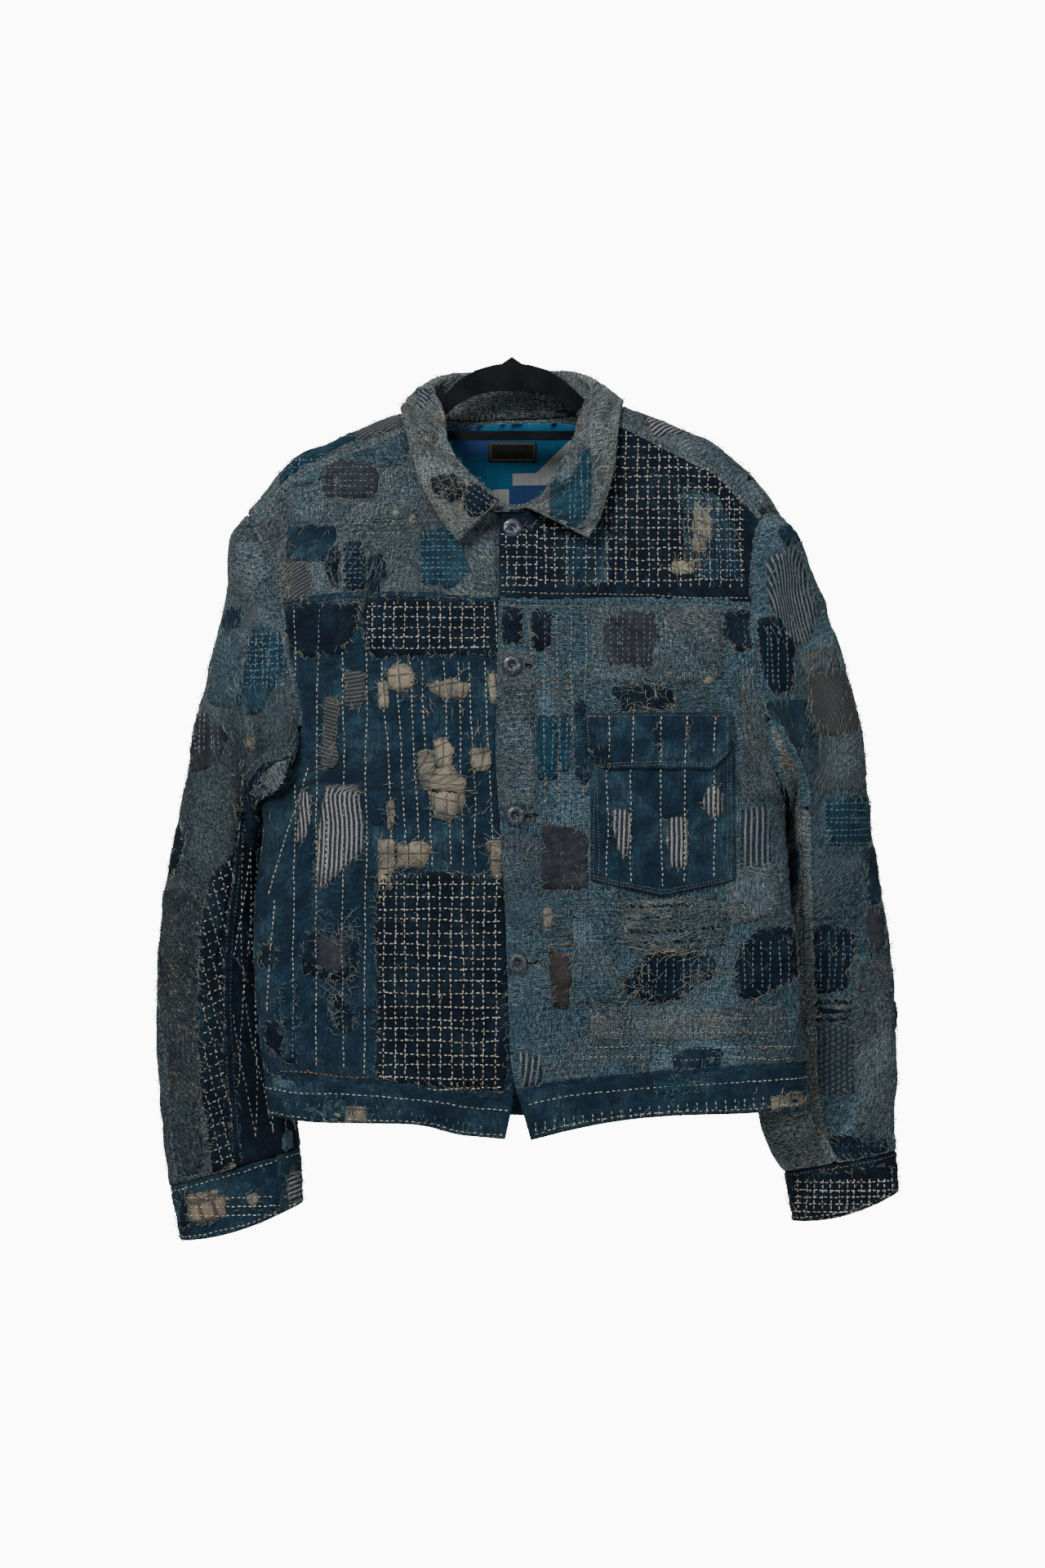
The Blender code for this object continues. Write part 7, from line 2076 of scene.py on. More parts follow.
# Columns: piece, thread, height, x0, y0, x1, y1, across, down, sway
GRIDS = (
    ("front_right", "cream", 1.3, 466, 1070, 620, 1330, 13.5, 0, 1.6),
    ("front_right", "cream", 1.3, 466, 1074, 620, 1330, 0, 14.6, 3.0),
    ("front_right", "cream", 0.95, 452, 740, 608, 802, 13.5, 12.5, 1.5),
    ("yoke_front_left", "cream", 0.25, 660, 530, 915, 725, 12.6, 12.6, 1.6),
    ("yoke_front_left", "cream", 0.25, 614, 652, 662, 722, 12.6, 12.6, 1.4),
    ("yoke_front_left", "ice", 0.3, 845, 610, 905, 716, 9.5, 0, 1.0),
    ("yoke_front_right", "ice", 0.9, 516, 654, 580, 718, 0, 7.0, 1.0),
    ("yoke_front_right", "ice", 0.9, 422, 670, 450, 722, 0, 6.5, 1.0),
    ("yoke_front_right", "slate", 0.9, 396, 571, 464, 610, 0, 7.5, 1.0),
    ("front_left", "ice", 1.1, 768, 1170, 868, 1218, 10.0, 0, 1.2),
    ("front_left", "ice", 1.1, 902, 1150, 972, 1212, 11.0, 0, 1.2),
    ("front_left", "slate", 0.7, 742, 756, 804, 816, 8.0, 0, 0.8),
    ("front_left", "ice", 0.7, 662, 880, 698, 952, 9.0, 0, 0.8),
    ("front_left", "straw", 0.15, 640, 756, 730, 990, 17.0, 0, 2.5),
    ("front_left", "straw", 0.15, 720, 1240, 975, 1300, 0, 15.0, 3.5),
    ("front_left", "slate", 0.15, 720, 1100, 890, 1160, 0, 8.0, 2.0),
    ("front_left", "slate", 0.15, 905, 760, 985, 980, 10.0, 0, 2.0),
    ("cuff_left", "cream", 0.8, 975, 1444, 1094, 1486, 9.5, 9.0, 0.8),
    ("cuff_right", "cream", 0.3, 232, 1462, 364, 1500, 0, 11.0, 1.0),
    ("collar", "ice", 0.7, 692, 562, 724, 644, 8.0, 0, 0.8),
    ("sleeve_upper_right", "ice", 0.9, 304, 776, 354, 848, 8.5, 8.5, 1.5),
    ("sleeve_upper_right", "slate", 0.9, 236, 874, 274, 926, 7.5, 0, 1.0),
    ("sleeve_upper_left", "ice", 0.9, 924, 768, 966, 846, 8.0, 0, 2.0),
    ("sleeve_upper_left", "ice", 0.9, 974, 1140, 1044, 1214, 9.0, 0, 1.5),
    ("sleeve_upper_left", "ice", 0.9, 1008, 980, 1066, 1034, 0, 8.0, 1.2),
    ("sleeve_upper_left", "slate", 0.9, 972, 1400, 1086, 1436, 8.0, 8.0, 1.2),
    ("back_yoke", "ice", 0.8, 354, 562, 430, 594, 8.0, 8.0, 1.0),
)


def stitch_grid(piece, colour, out, x0, y0, x1, y1, across, down, sway):
    """Wandering lines in pixels, `across` apart if it isn't zero, and others `down` apart."""
    cloth = CLOTHS[piece]
    if across:
        for n, x in enumerate(np.arange(x0 + across / 2, x1, across)):
            line = wavering(x + draw.uniform(-1, 1), y0, x + draw.uniform(-2, 2), y1, sway, n)
            stitch_line(cloth, *seen_line(cloth, line), colour, out=out)
    if down:
        for n, y in enumerate(np.arange(y0 + down / 2, y1, down)):
            line = wavering(x0, y + draw.uniform(-1, 1), x1, y + draw.uniform(-2, 2), sway, n + 40)
            stitch_line(cloth, *seen_line(cloth, line), colour, out=out)


for number, (piece, colour, out, *ends) in enumerate(LINES):
    stitch_line(CLOTHS[piece], *seen_line(CLOTHS[piece], wavering(*ends, 2.0, number)), colour, out=out)
for row in GRIDS:
    stitch_grid(*row)
UNDER_EDGE = ((957, 345), (1015, 312), (1050, 282), (1075, 260), (1130, 247), (1180, 244), (1330, 246),
              (1440, 262))
t = np.linspace(0, 1, 160)
steep = [(x + 0.26 * (y - 1200), y) for x in np.arange(150, 400, 13.0) for y in [985 + 447 * t]]
flat = [(x, y - 0.45 * (x - 270)) for y in np.arange(1000, 1450, 15.0) for x in [240 + 70 * t]]
for number, (x, y) in enumerate(steep + flat):
    inside = (x > np.interp(y, *np.array(UNDER_EDGE, float).T) + 3) & (y < 1430)
    if inside.sum() > 6:
        line = np.stack([x + 1.5 * noise(y, 0 * y + number, 40.0), y], axis=-1)[inside]
        places = seen_line(CLOTHS["sleeve_upper_right"], line)
        stitch_line(CLOTHS["sleeve_upper_right"], *places, "cream", 5.4, 3.2, 0.95, 1.1)

# %% Stitches along edges and over the hidden pieces
def along_row(cloth, share, inset=None):
    """Places along one row: a share of the way up, or a distance in mm in from the end."""
    rows, columns = cloth.u.shape
    i = share * (rows - 1) if inset is None else (inset / cloth.step if share == 0 else rows - 1 - inset
                                                  / cloth.step)
    j = np.linspace(1, columns - 2, columns)
    return np.full(columns, i) + 0.3 * noise(j * cloth.step, 0 * j, 30.0, 3), j


def along_column(cloth, share, first=0.0, last=1.0):
    rows, columns = cloth.u.shape
    i = np.linspace(1 + first * rows, last * rows - 2, rows)
    return i, np.full(rows, share * (columns - 1)) + 0.8 * noise(i * cloth.step, 0 * i, 40.0,
                                                                 int(90 * share))


# Columns: piece, thread, which end (0 low, 1 high), inset in mm, pitch, length, width
EDGES = (
    ("waistband", "cream", 0, 3.5, 5.6, 3.6, 1.0), ("waistband", "cream", 1, 11.0, 5.2, 3.6, 1.1),
    ("front_right", "straw", 1, 4.0, 3.2, 2.2, 0.6), ("front_left", "straw", 1, 4.0, 3.2, 2.2, 0.6),
    ("back", "straw", 1, 5.0, 3.4, 2.3, 0.6), ("back_yoke", "straw", 0, 5.0, 3.4, 2.3, 0.6),
    ("cuff_left", "cream", 0, 4.0, 5.0, 3.4, 1.0), ("cuff_right", "cream", 0, 4.0, 5.0, 3.4, 1.0),
    ("cuff_right", "cream", 1, 4.0, 5.0, 3.4, 1.0), ("cuff_left", "straw", 1, 3.0, 3.6, 2.4, 0.7),
    ("collar", "straw", 1, 5.0, 3.6, 2.4, 0.7), ("pocket", "straw", 1, 2.2, 2.6, 1.7, 0.55),
    ("pocket_flap", "straw", 0, 3.0, 2.6, 1.7, 0.55), ("pocket_flap", "straw", 0, 5.4, 2.6, 1.7, 0.55),
    ("pocket", "straw", 0, 2.4, 2.6, 1.7, 0.55), ("pocket", "straw", 0, 5.0, 2.6, 1.7, 0.55),
    ("pocket_flap", "straw", 1, 2.4, 2.6, 1.7, 0.55), ("neck_tab", "slate", 0, 1.4, 2.0, 1.3, 0.35),
    ("neck_tab", "slate", 1, 1.4, 2.0, 1.3, 0.35),
)
for piece, colour, end, inset, pitch, length, width in EDGES:
    stitch_line(CLOTHS[piece], *along_row(CLOTHS[piece], end, inset), colour, pitch, length, width)
for name, shares in (("pocket", (0.024, 0.052, 0.948, 0.976)), ("pocket_flap", (0.024, 0.976))):
    for share in shares:
        stitch_line(CLOTHS[name], *along_column(CLOTHS[name], share), "straw", 2.6, 1.7, 0.55)
for share in np.linspace(0.05, 0.95, 17):
    stitch_line(CLOTHS["back"],
                *along_column(CLOTHS["back"], share, *((0.0, 0.55) if share < 0.5 else (0.4, 1.0))))
for share in np.linspace(0.5, 0.98, 9):
    stitch_line(CLOTHS["back"], *along_row(CLOTHS["back"], share), "slate", out=0.4)
for share in np.linspace(0.03, 0.97, 12):
    stitch_line(CLOTHS["back_yoke"], *along_column(CLOTHS["back_yoke"], share, 0.02, 0.5), "straw")
for word, count, thread in (("right", 11, "cream"), ("left", 5, "slate")):
    under = CLOTHS["sleeve_under_" + word]
    rows, columns = under.u.shape
    for start in np.linspace(-0.5, 1.1, count):
        i = np.linspace(4, rows - 5, rows)
        for slant in (0.55, -0.4):
            j = (start + slant * i / rows + (0.4 if slant < 0 else 0)) * columns
            inside = (j > 1) & (j < columns - 2)
            if inside.sum() > 8:
                stitch_line(under, i[inside], j[inside], thread, 5.6, 3.4, 0.95)
HEM_PLACES = ((645, 1388), (700, 1378), (760, 1370), (850, 1362), (935, 1356))
for x in np.arange(644, 936, 11.5):
    foot = np.interp(x, *np.array(HEM_PLACES, float).T)
    line = np.array([(x, foot - 17), (x + 1, foot - 3)])
    stitch_line(CLOTHS["waistband"], *seen_line(CLOTHS["waistband"], line, 1.0), "cream", 4.9, 3.6, 1.1)
for x in np.arange(352, 596, 14.0):
    foot = np.interp(x, (352, 460, 540, 596), (1358, 1360, 1374, 1386))
    line = np.array([(x, foot - 12), (x, foot - 4)])
    stitch_line(CLOTHS["waistband"], *seen_line(CLOTHS["waistband"], line, 1.0), "slate", 4.9, 3.6, 1.0)
count = sum(len(part[0]) for parts in STITCH_MESHES.values() for part in parts)
print("stitches:", count)

# %% [markdown]
# ## Felled seams and folds at the armpit
#
# Where two pieces are sewn, one edge laps over the other and is topstitched, so no gap shows between
# them. Each such seam is one flat ribbon here, along the middle of the two facing edges and a little wider
# than the gap. The cloth that bunches up under the arm is one soft fold on each side.

# %% Ribbons along seams
RIBBONS = {}


def rim(cloth, side):
    """Points and outward directions of one edge of a piece."""
    cut = {"low": np.s_[0], "high": np.s_[-1], "left": np.s_[:, 0], "right": np.s_[:, -1]}[side]
    return cloth.points[cut], cloth.normals[cut]


def rolling(values, reach=4):
    """Each row averaged with its neighbours, with the ends kept."""
    padded = np.concatenate([np.repeat(values[:1], reach, axis=0), values,
                             np.repeat(values[-1:], reach, axis=0)])
    return sum(padded[k : k + len(values)] for k in range(2 * reach + 1)) / (2 * reach + 1)


def ribbon(owner, edge, others, lap=3.2, thick=0.75, stitch=None, widest=9.0):
    """A flat closed strip from a piece's edge to the nearest points of the other edges, lapped on to
    both."""
    points, normals = edge
    targets = np.concatenate([p for p, _ in others])
    out = np.concatenate([n for _, n in others])
    found = np.argmin(((points[:, None] - targets[None]) ** 2).sum(axis=2), axis=1)
    toward = rolling(targets[found] - points)
    gap = np.linalg.norm(toward, axis=1, keepdims=True)
    toward = toward * np.minimum(1, widest / np.maximum(gap, 1e-6))
    path = rolling(points + toward / 2, 2)
    ahead = unit(np.gradient(path, axis=0))
    normal = rolling(unit(normals + 0.6 * out[found]))
    normal = unit(normal - ahead * (normal * ahead).sum(axis=1, keepdims=True))
    across = np.cross(ahead, normal)
    run = np.concatenate([[0], np.cumsum(np.linalg.norm(np.diff(path, axis=0), axis=1))])
    half = np.minimum(gap, widest) / 2 + lap + 0.5 * noise(run, 0 * run, 9.0, 2)[:, None]
    turns = np.radians(np.arange(0, 360, 36))
    wide, tall = np.sign(np.cos(turns)) * np.abs(np.cos(turns)) ** 0.6, np.sin(turns)
    ripple = (0.35 * np.sin(run / 1.5) + 0.4 * noise(run, 0 * run, 7.0, 6))[:, None, None]
    rings = (path[:, None] + across[:, None] * half[:, None] * wide[:, None]
             + normal[:, None] * (0.35 + thick * tall[:, None] + ripple * (tall[:, None] > 0)))
    count, sides = rings.shape[:2]
    index = np.arange(count * sides).reshape(count, sides)
    ahead_index = np.roll(index, -1, axis=1)
    quads = np.stack([index[:-1], index[1:], ahead_index[1:], ahead_index[:-1]], axis=-1).reshape(-1, 4)
    caps = [np.stack([np.full(sides - 2, row[0]), row[1:-1], row[2:]], axis=-1) for row in (index[0],
            index[-1][::-1])]
    faces = np.concatenate([triangles(quads), *caps])
    uv = np.stack([np.broadcast_to(wide * half, (count, sides)), np.repeat(run[:, None], sides, axis=1)],
                  axis=-1)
    flat = rings.reshape(-1, 3)
    faces = turned_out(flat, faces, flat.mean(axis=0))
    RIBBONS.setdefault(owner, []).append((flat, faces, uv.reshape(-1, 2)))
    for share in (() if stitch is None else (-0.55, 0.55)):
        stitch_path(owner, stitch, path + across * half * share + normal * (thick + 0.35), normal, 3.6,
                    2.4, 0.7)


def turned_out(points, faces, middle):
    return outward_faces(points - middle, faces)


def stitch_path(owner, colour, track, normal, pitch, length, width):
    """Stitches along a free path in mm."""
    run = np.concatenate([[0], np.cumsum(np.linalg.norm(np.diff(track, axis=0), axis=1))])
    starts = np.arange(0, run[-1] - length, pitch)
    ends = starts + length * draw.uniform(0.8, 1.1, len(starts))

    def read(table, at):
        return np.stack([np.interp(at, run, table[:, k]) for k in range(3)], axis=-1)

    part = (read(track, starts), read(track, ends), unit(read(normal, starts)), np.full(len(starts), width))
    STITCH_MESHES.setdefault((owner, colour), []).append(part)


for word in ("right", "left"):
    upper, under = CLOTHS["sleeve_upper_" + word], CLOTHS["sleeve_under_" + word]
    both = [rim(under, "left"), rim(under, "right")]
    for side in ("left", "right"):
        points, normals = rim(upper, side)
        if points[0, 2] < points[-1, 2]:
            points, normals = points[::-1], normals[::-1]
        head = int(0.30 * len(points))
        ribbon(upper.name, (points[: head + 1], normals[: head + 1]), both, stitch="slate")
        ribbon(under.name, (points[head:], normals[head:]), both, stitch="slate")
    body = [rim(CLOTHS[name], side) for name in ("front_" + word, "yoke_front_" + word, "back", "back_yoke")
            for side in ("left", "right")]
    end = min(("low", "high"), key=lambda side: -rim(upper, side)[0][:, 2].max())
    for piece in (upper, under):
        ribbon(upper.name, rim(piece, end), body, stitch="straw", widest=14.0)


def end_of(cloth, way):
    """The edge of a panel at its top (1) or its foot (-1)."""
    return rim(cloth, max(("low", "high"), key=lambda side: way * rim(cloth, side)[0][:, 2].mean()))


for name in ("front_left", "front_right", "back"):
    ribbon("waistband", end_of(CLOTHS[name], -1), [end_of(CLOTHS["waistband"], 1)], lap=2.0, thick=0.5)
for word in ("right", "left"):
    front, yoke = CLOTHS["front_" + word], CLOTHS["yoke_front_" + word]
    ribbon(front.name, end_of(front, 1), [end_of(yoke, -1)], lap=2.2, thick=0.5)
    ribbon("back_yoke", end_of(yoke, 1), [rim(CLOTHS["back_yoke"], side) for side in ("low", "high")],
           stitch="straw")
ribbon("back", end_of(CLOTHS["back"], 1), [rim(CLOTHS["back_yoke"], side) for side in ("low", "high")],
       lap=2.4)


def armpit_fold(owner, middle, half, lean):
    """A soft bunch of cloth: an upright lens with two creases, leaning sideways by `lean` mm at its
    foot."""
    rows, columns = 26, 30
    down, turn = np.meshgrid(np.linspace(0, math.pi, rows), np.linspace(0, 2 * math.pi, columns),
                             indexing="ij")
    size = np.sin(down) * (1 + 0.14 * np.sin(3 * turn + 2 * down))
    grid = np.stack([
        middle[0] + half[0] * size * np.cos(turn) - lean * np.cos(down),
        middle[1] + half[1] * size * np.sin(turn),
        middle[2] + half[2] * np.cos(down),
    ], axis=-1)
    grid[:, -1] = grid[:, 0]
    points, faces = grid.reshape(-1, 3), triangles(cells_of(rows, columns))
    uv = np.stack([turn * 9.0, down * half[2]], axis=-1).reshape(-1, 2)
    RIBBONS.setdefault(owner, []).append((points, outward_faces(points - points.mean(axis=0), faces), uv))


ARMPIT_DEPTH = 22.0
ARMPIT_PIXELS = {"left": (962, 990), "right": (326, 1010)}
ARMPIT_SIZE = {"left": (17.0, 9.0, 62.0), "right": (15.0, 9.0, 70.0)}
ARMPIT_LEAN = {"left": 6.0, "right": -6.0}
for word in ("left", "right"):
    pit_x, pit_z = px(ARMPIT_PIXELS[word])
    armpit_fold("sleeve_under_" + word, (pit_x, ARMPIT_DEPTH, pit_z), ARMPIT_SIZE[word], ARMPIT_LEAN[word])
print("ribbons:", sum(len(each) for each in RIBBONS.values()))

# %% [markdown]
# ## Loose threads
#
# Torn edges end in curls of pale thread, and the darned ground is hairy all over. Each thread is a
# three-sided tube along a path that turns by random steps over the cloth and lifts off it in a soft arc.
# A hair system would need far more geometry and its own renderer, and would not export as a mesh.

# %% Threads as three-sided tubes
THREAD_MESHES = {}


def curled(cloth, i, j, heading, length, colour, lift=0.9, curl=0.9, radius=0.28, base=0.25, knots=4):
    """Threads from (row, column) places: the heading in radians turns at each step, and the height is an
    arc."""
    count = len(i)
    turns = np.cumsum(draw.normal(0, curl, (count, knots - 1)), axis=1) + np.asarray(heading)[:, None]
    step = (np.asarray(length) / (knots - 1) / cloth.step)[:, None]
    rows = i[:, None] + np.pad(np.cumsum(step * np.sin(turns), axis=1), ((0, 0), (1, 0)))
    columns = j[:, None] + np.pad(np.cumsum(step * np.cos(turns), axis=1), ((0, 0), (1, 0)))
    limit = np.array(cloth.u.shape) - 1.2
    rows, columns = np.clip(rows, 0.1, limit[0]), np.clip(columns, 0.1, limit[1])
    t = np.linspace(0, 1, knots)
    bend = draw.uniform(0.2, 1.0, (count, 1)) * np.sin(math.pi * t * draw.uniform(0.6, 1.1, (count, 1)))
    path = cloth.at(rows, columns, base + lift * bend)
    THREAD_MESHES.setdefault((cloth.name, colour), []).append((path, cloth.out(rows, columns), radius))


def thread_arrays(parts):
    """Tubes of three sides round each path, closed by a triangle at each end."""
    points, faces, start = [], [], 0
    for path, normal, radius in parts:
        count, knots = path.shape[:2]
        ahead = unit(np.gradient(path, axis=1))
        side = unit(np.cross(ahead, normal))
        up = np.cross(side, ahead)
        thin = radius * np.linspace(1.0, 0.7, knots)[:, None, None]
        turn = np.radians([0, 120, 240])
        ring = path[:, :,
                None] + thin * (np.cos(turn)[:, None] * up[:, :, None] + np.sin(turn)[:, None] * side[:, :,
                                                                                                      None])
        k, a = np.meshgrid(np.arange(knots - 1), np.arange(3), indexing="ij")
        b = (a + 1) % 3
        quads = np.stack([3 * k + a, 3 * k + b, 3 * k + 3 + b, 3 * k + 3 + a], axis=-1).reshape(-1, 4)
        last = 3 * (knots - 1)
        shape = np.concatenate([triangles(quads), [(0, 2, 1), (last, last + 1, last + 2)]])
        first = ring[0].reshape(-1, 3)
        shape = outward_faces(first - first.mean(axis=0), shape)
        points.append(ring.reshape(-1, 3))
        faces.append((shape[None] + start + 3 * knots * np.arange(count)[:, None, None]).reshape(-1, 3))
        start += ring.size // 3
    return np.concatenate(points), np.concatenate(faces)


# %% Frays round every patch
for cloth, i, j, lift, fabric in PATCH_EDGES:
    around = np.hypot(np.diff(i, append=i[0]), np.diff(j, append=j[0])).sum() * cloth.step
    front = cloth.name not in ("back", "back_yoke", "sleeve_under_left", "sleeve_under_right")
    count = int(around / (2.5 if front else 10.0))
    if cloth.name in ("pocket", "pocket_flap", "cuff_left"):
        count //= 2
    pick = draw.integers(0, len(i), count)
    ahead = (pick + 1) % len(i)
    heading = np.arctan2(i[ahead] - i[pick], j[ahead] - j[pick]) + draw.normal(0, 0.45, count)
    size = draw.uniform(3.0, 8.0, count)
    colour = "straw" if fabric in ("dark", "ticking", "tan", "plaid", "brown") else "slate"
    half = count // 2
    curled(cloth, i[pick][:half], j[pick][:half], heading[:half], size[:half], colour, 0.9, 0.8, base=lift)
    curled(cloth, i[pick][half:], j[pick][half:], heading[half:], size[half:], "slate", 1.1, 0.9, base=lift)

# %% A fine web over the darned ground, and frayed hems
# Columns: piece, threads per square decimetre, lift
WEB = (("front_left", 68, 0.8), ("yoke_front_right", 62, 0.8), ("front_right", 5, 0.7),
       ("yoke_front_left", 9, 0.7),
       ("sleeve_upper_left", 30, 1.5), ("sleeve_upper_right", 32, 1.5), ("collar", 50, 0.8),
       ("back_yoke", 10, 0.9),
       ("back", 3, 0.9), ("sleeve_under_right", 5, 0.9), ("sleeve_under_left", 5, 0.9),
       ("waistband", 8, 0.8),
       ("cuff_left", 26, 0.9), ("cuff_right", 24, 0.9))
for name, density, lift in WEB:
    cloth = CLOTHS[name]
    count = int(density * cloth.area / 1e4)
    rows, columns = cloth.u.shape
    i, j = draw.uniform(1, rows - 2, count), draw.uniform(1, columns - 2, count)
    for colour, share in (("straw", slice(0, count // 3)), ("slate", slice(count // 3, count))):
        heading = draw.integers(0, 4, count)[share] * math.pi / 2 + draw.normal(0, 0.3, count)[share]
        curled(cloth, i[share], j[share], heading, draw.uniform(4, 11, count)[share], colour, lift, 0.8)
FUZZ = (("sleeve_upper_left", 300), ("sleeve_upper_right", 300), ("back_yoke", 120), ("collar", 130),
        ("cuff_right", 50), ("cuff_left", 50), ("back", 60))
for name, count in FUZZ:
    cloth = CLOTHS[name]
    edge_on = np.abs(cloth.normals[..., 1]) < 0.45
    spots = np.argwhere(edge_on[1:-1, 1:-1]) + 1.0
    pick = spots[draw.integers(0, len(spots), count)]
    curled(cloth, pick[:, 0], pick[:, 1], draw.uniform(0, 6.28, count), draw.uniform(3, 8, count), "slate",
           3.0, 1.1)
FRAYED_ENDS = (("waistband", 0, 150), ("cuff_left", 0, 30), ("cuff_right", 0, 60), ("collar", 1, 60))
for name, end, count in FRAYED_ENDS:
    cloth = CLOTHS[name]
    rows, columns = cloth.u.shape
    i = np.full(count, 1.0 if end == 0 else rows - 2.0)
    curled(cloth, i, draw.uniform(1, columns - 2, count), draw.uniform(0, 6.28, count),
           draw.uniform(4, 10, count), "slate", 1.4, 0.8)

# %% Long torn threads, where the ground has worn through
# Columns: piece, thread, x0, y0, x1, y1, count, heading, its spread, curl, shortest, longest
TORN = (
    ("yoke_front_right", "slate", 400, 704, 424, 724, 12, 1.57, 0.10, 0.30, 20, 34),
    ("yoke_front_right", "slate", 450, 704, 484, 726, 14, 1.57, 0.14, 0.34, 18, 32),
    ("yoke_front_right", "slate", 390, 590, 420, 610, 5, 1.20, 0.30, 0.45, 14, 26),
    ("yoke_front_right", "straw", 342, 690, 362, 738, 26, 1.57, 0.40, 0.70, 9, 17),
    ("front_right", "straw", 528, 900, 600, 1004, 30, 1.57, 0.60, 0.70, 8, 15),
    ("front_right", "straw", 464, 1026, 530, 1066, 22, 1.57, 0.60, 0.70, 8, 15),
    ("front_right", "straw", 476, 814, 580, 872, 26, 0.00, 0.80, 0.70, 8, 15),
    ("front_right", "straw", 594, 1026, 622, 1080, 14, 1.57, 0.50, 0.60, 8, 18),
    ("front_right", "slate", 384, 1116, 440, 1150, 30, 0.00, 0.90, 0.95, 9, 17),
    ("front_right", "slate", 400, 1196, 440, 1262, 26, 1.57, 0.50, 0.80, 9, 17),
    ("collar", "straw", 528, 588, 576, 632, 52, 0.60, 0.90, 0.90, 7, 14),
    ("collar", "straw", 724, 556, 738, 646, 16, 1.60, 0.35, 0.60, 9, 18),
    ("front_left", "straw", 760, 1180, 800, 1226, 22, 0.60, 0.70, 0.80, 9, 16),
    ("front_left", "straw", 836, 1186, 892, 1212, 22, -0.20, 0.80, 0.90, 9, 16),
    ("front_left", "slate", 836, 1186, 892, 1212, 16, -0.20, 0.80, 0.90, 9, 16),
    ("front_left", "straw", 800, 1160, 870, 1168, 16, 0.00, 0.20, 0.30, 14, 26),
    ("front_left", "slate", 760, 1102, 872, 1156, 60, 0.00, 0.16, 0.25, 14, 26),
    ("front_left", "straw", 758, 838, 830, 876, 30, 0.10, 0.50, 0.50, 9, 18),
    ("yoke_front_left", "straw", 838, 612, 872, 706, 24, 1.57, 0.50, 0.70, 8, 15),
    ("sleeve_upper_left", "straw", 966, 1130, 1050, 1224, 22, 0.60, 0.90, 0.80, 9, 16),
    ("sleeve_upper_left", "slate", 940, 680, 1000, 790, 30, 0.70, 0.60, 0.80, 8, 15),
    ("sleeve_upper_right", "slate", 272, 770, 356, 860, 40, 0.80, 0.80, 0.90, 8, 15),
)
for name, colour, x0, y0, x1, y1, count, heading, spread, curl, low, high in TORN:
    x, z = px(draw.uniform((x0, y0), (x1, y1), (count, 2)))
    i, j = CLOTHS[name].seen(x, z)
    curled(CLOTHS[name], i, j, draw.normal(heading, spread, count), draw.uniform(low, high, count), colour,
           1.1, curl,
           radius=0.27, base=0.9, knots=6)
count = sum(len(part[0]) for parts in THREAD_MESHES.values() for part in parts)
print("threads:", count)

# %% [markdown]
# ## Putting the jacket together
#
# Every shell takes the place of its solid. The size it was cut to, the lengths measured over its own grid, is
# worked out but not passed on. Its patches, stitches and threads go with it.

# %% Objects
SURFACE = {
    "front_left": BORO["slate"], "yoke_front_right": BORO["weathered"], "back_yoke": BORO["weathered"],
    "back": BORO["slate"], "sleeve_upper_left": BORO["slate"], "sleeve_upper_right": BORO["sleeve"],
    "collar": BORO["pale"], "yoke_front_left": DARK, "sleeve_under_right": DARK,
    "sleeve_under_left": BORO["pale"],
    "cuff_left": DARK, "waistband": DENIM,
}


def lining_cloth():
    """Printed lining: generic blocks of teal, royal blue, pale grey and tan, as a large cell pattern."""
    made, tree, shader, where = surface("printed lining", 0.8, 0.1)
    blocks = add(tree, "ShaderNodeTexVoronoi", {"Vector": where, "Scale": 13.0, "Randomness": 0.8},
                 distance="MANHATTAN")
    pick = add(tree, "ShaderNodeSeparateColor", {0: blocks.outputs["Color"]}).outputs[0]
    colour = mixed(tree, ranged(tree, pick, 0.30, 0.31), (0.007, 0.082, 0.165, 1), (0.014, 0.045, 0.150, 1))
    colour = mixed(tree, ranged(tree, pick, 0.60, 0.61), colour, (0.26, 0.27, 0.27, 1))
    colour = mixed(tree, ranged(tree, pick, 0.88, 0.89), colour, (0.26, 0.20, 0.13, 1))
    fine = use(tree, WEAVE, Cloth=where, Threads=1500.0)
    tone = maths(tree, "MULTIPLY_ADD", fine["Slub"], 0.5, 0.75)
    shade = add(tree, "ShaderNodeVectorMath", {0: colour, "Scale": tone}, operation="SCALE").outputs[0]
    finish(tree, shader, shade, fine["Height"], 0.0002)
    return made


def tab_cloth():
    """A bare woven tab: near black satin with fine ribs and a plain gold line along its edge."""
    made, tree, shader, where = surface("woven tab", 0.5, 0.1)
    fine = use(tree, WEAVE, Cloth=where, Threads=2500.0)
    colour = mixed(tree, fine["Slub"], (0.004, 0.004, 0.005, 1), (0.014, 0.013, 0.013, 1))
    parts = add(tree, "ShaderNodeSeparateXYZ", {0: where}).outputs
    aside = maths(tree, "SUBTRACT", maths(tree, "ABSOLUTE", parts["X"]), CLOTHS["neck_tab"].width / 2000)
    above = maths(tree, "SUBTRACT", maths(tree, "ABSOLUTE", parts["Y"]), CLOTHS["neck_tab"].length / 2000)
    from_edge = maths(tree, "ABSOLUTE", maths(tree, "ADD", maths(tree, "MAXIMUM", aside, above), 0.0019))
    colour = mixed(tree, ranged(tree, from_edge, 0.0006, 0.0003), colour, (0.13, 0.090, 0.045, 1))
    finish(tree, shader, colour, fine["Height"], 0.0002)
    return made


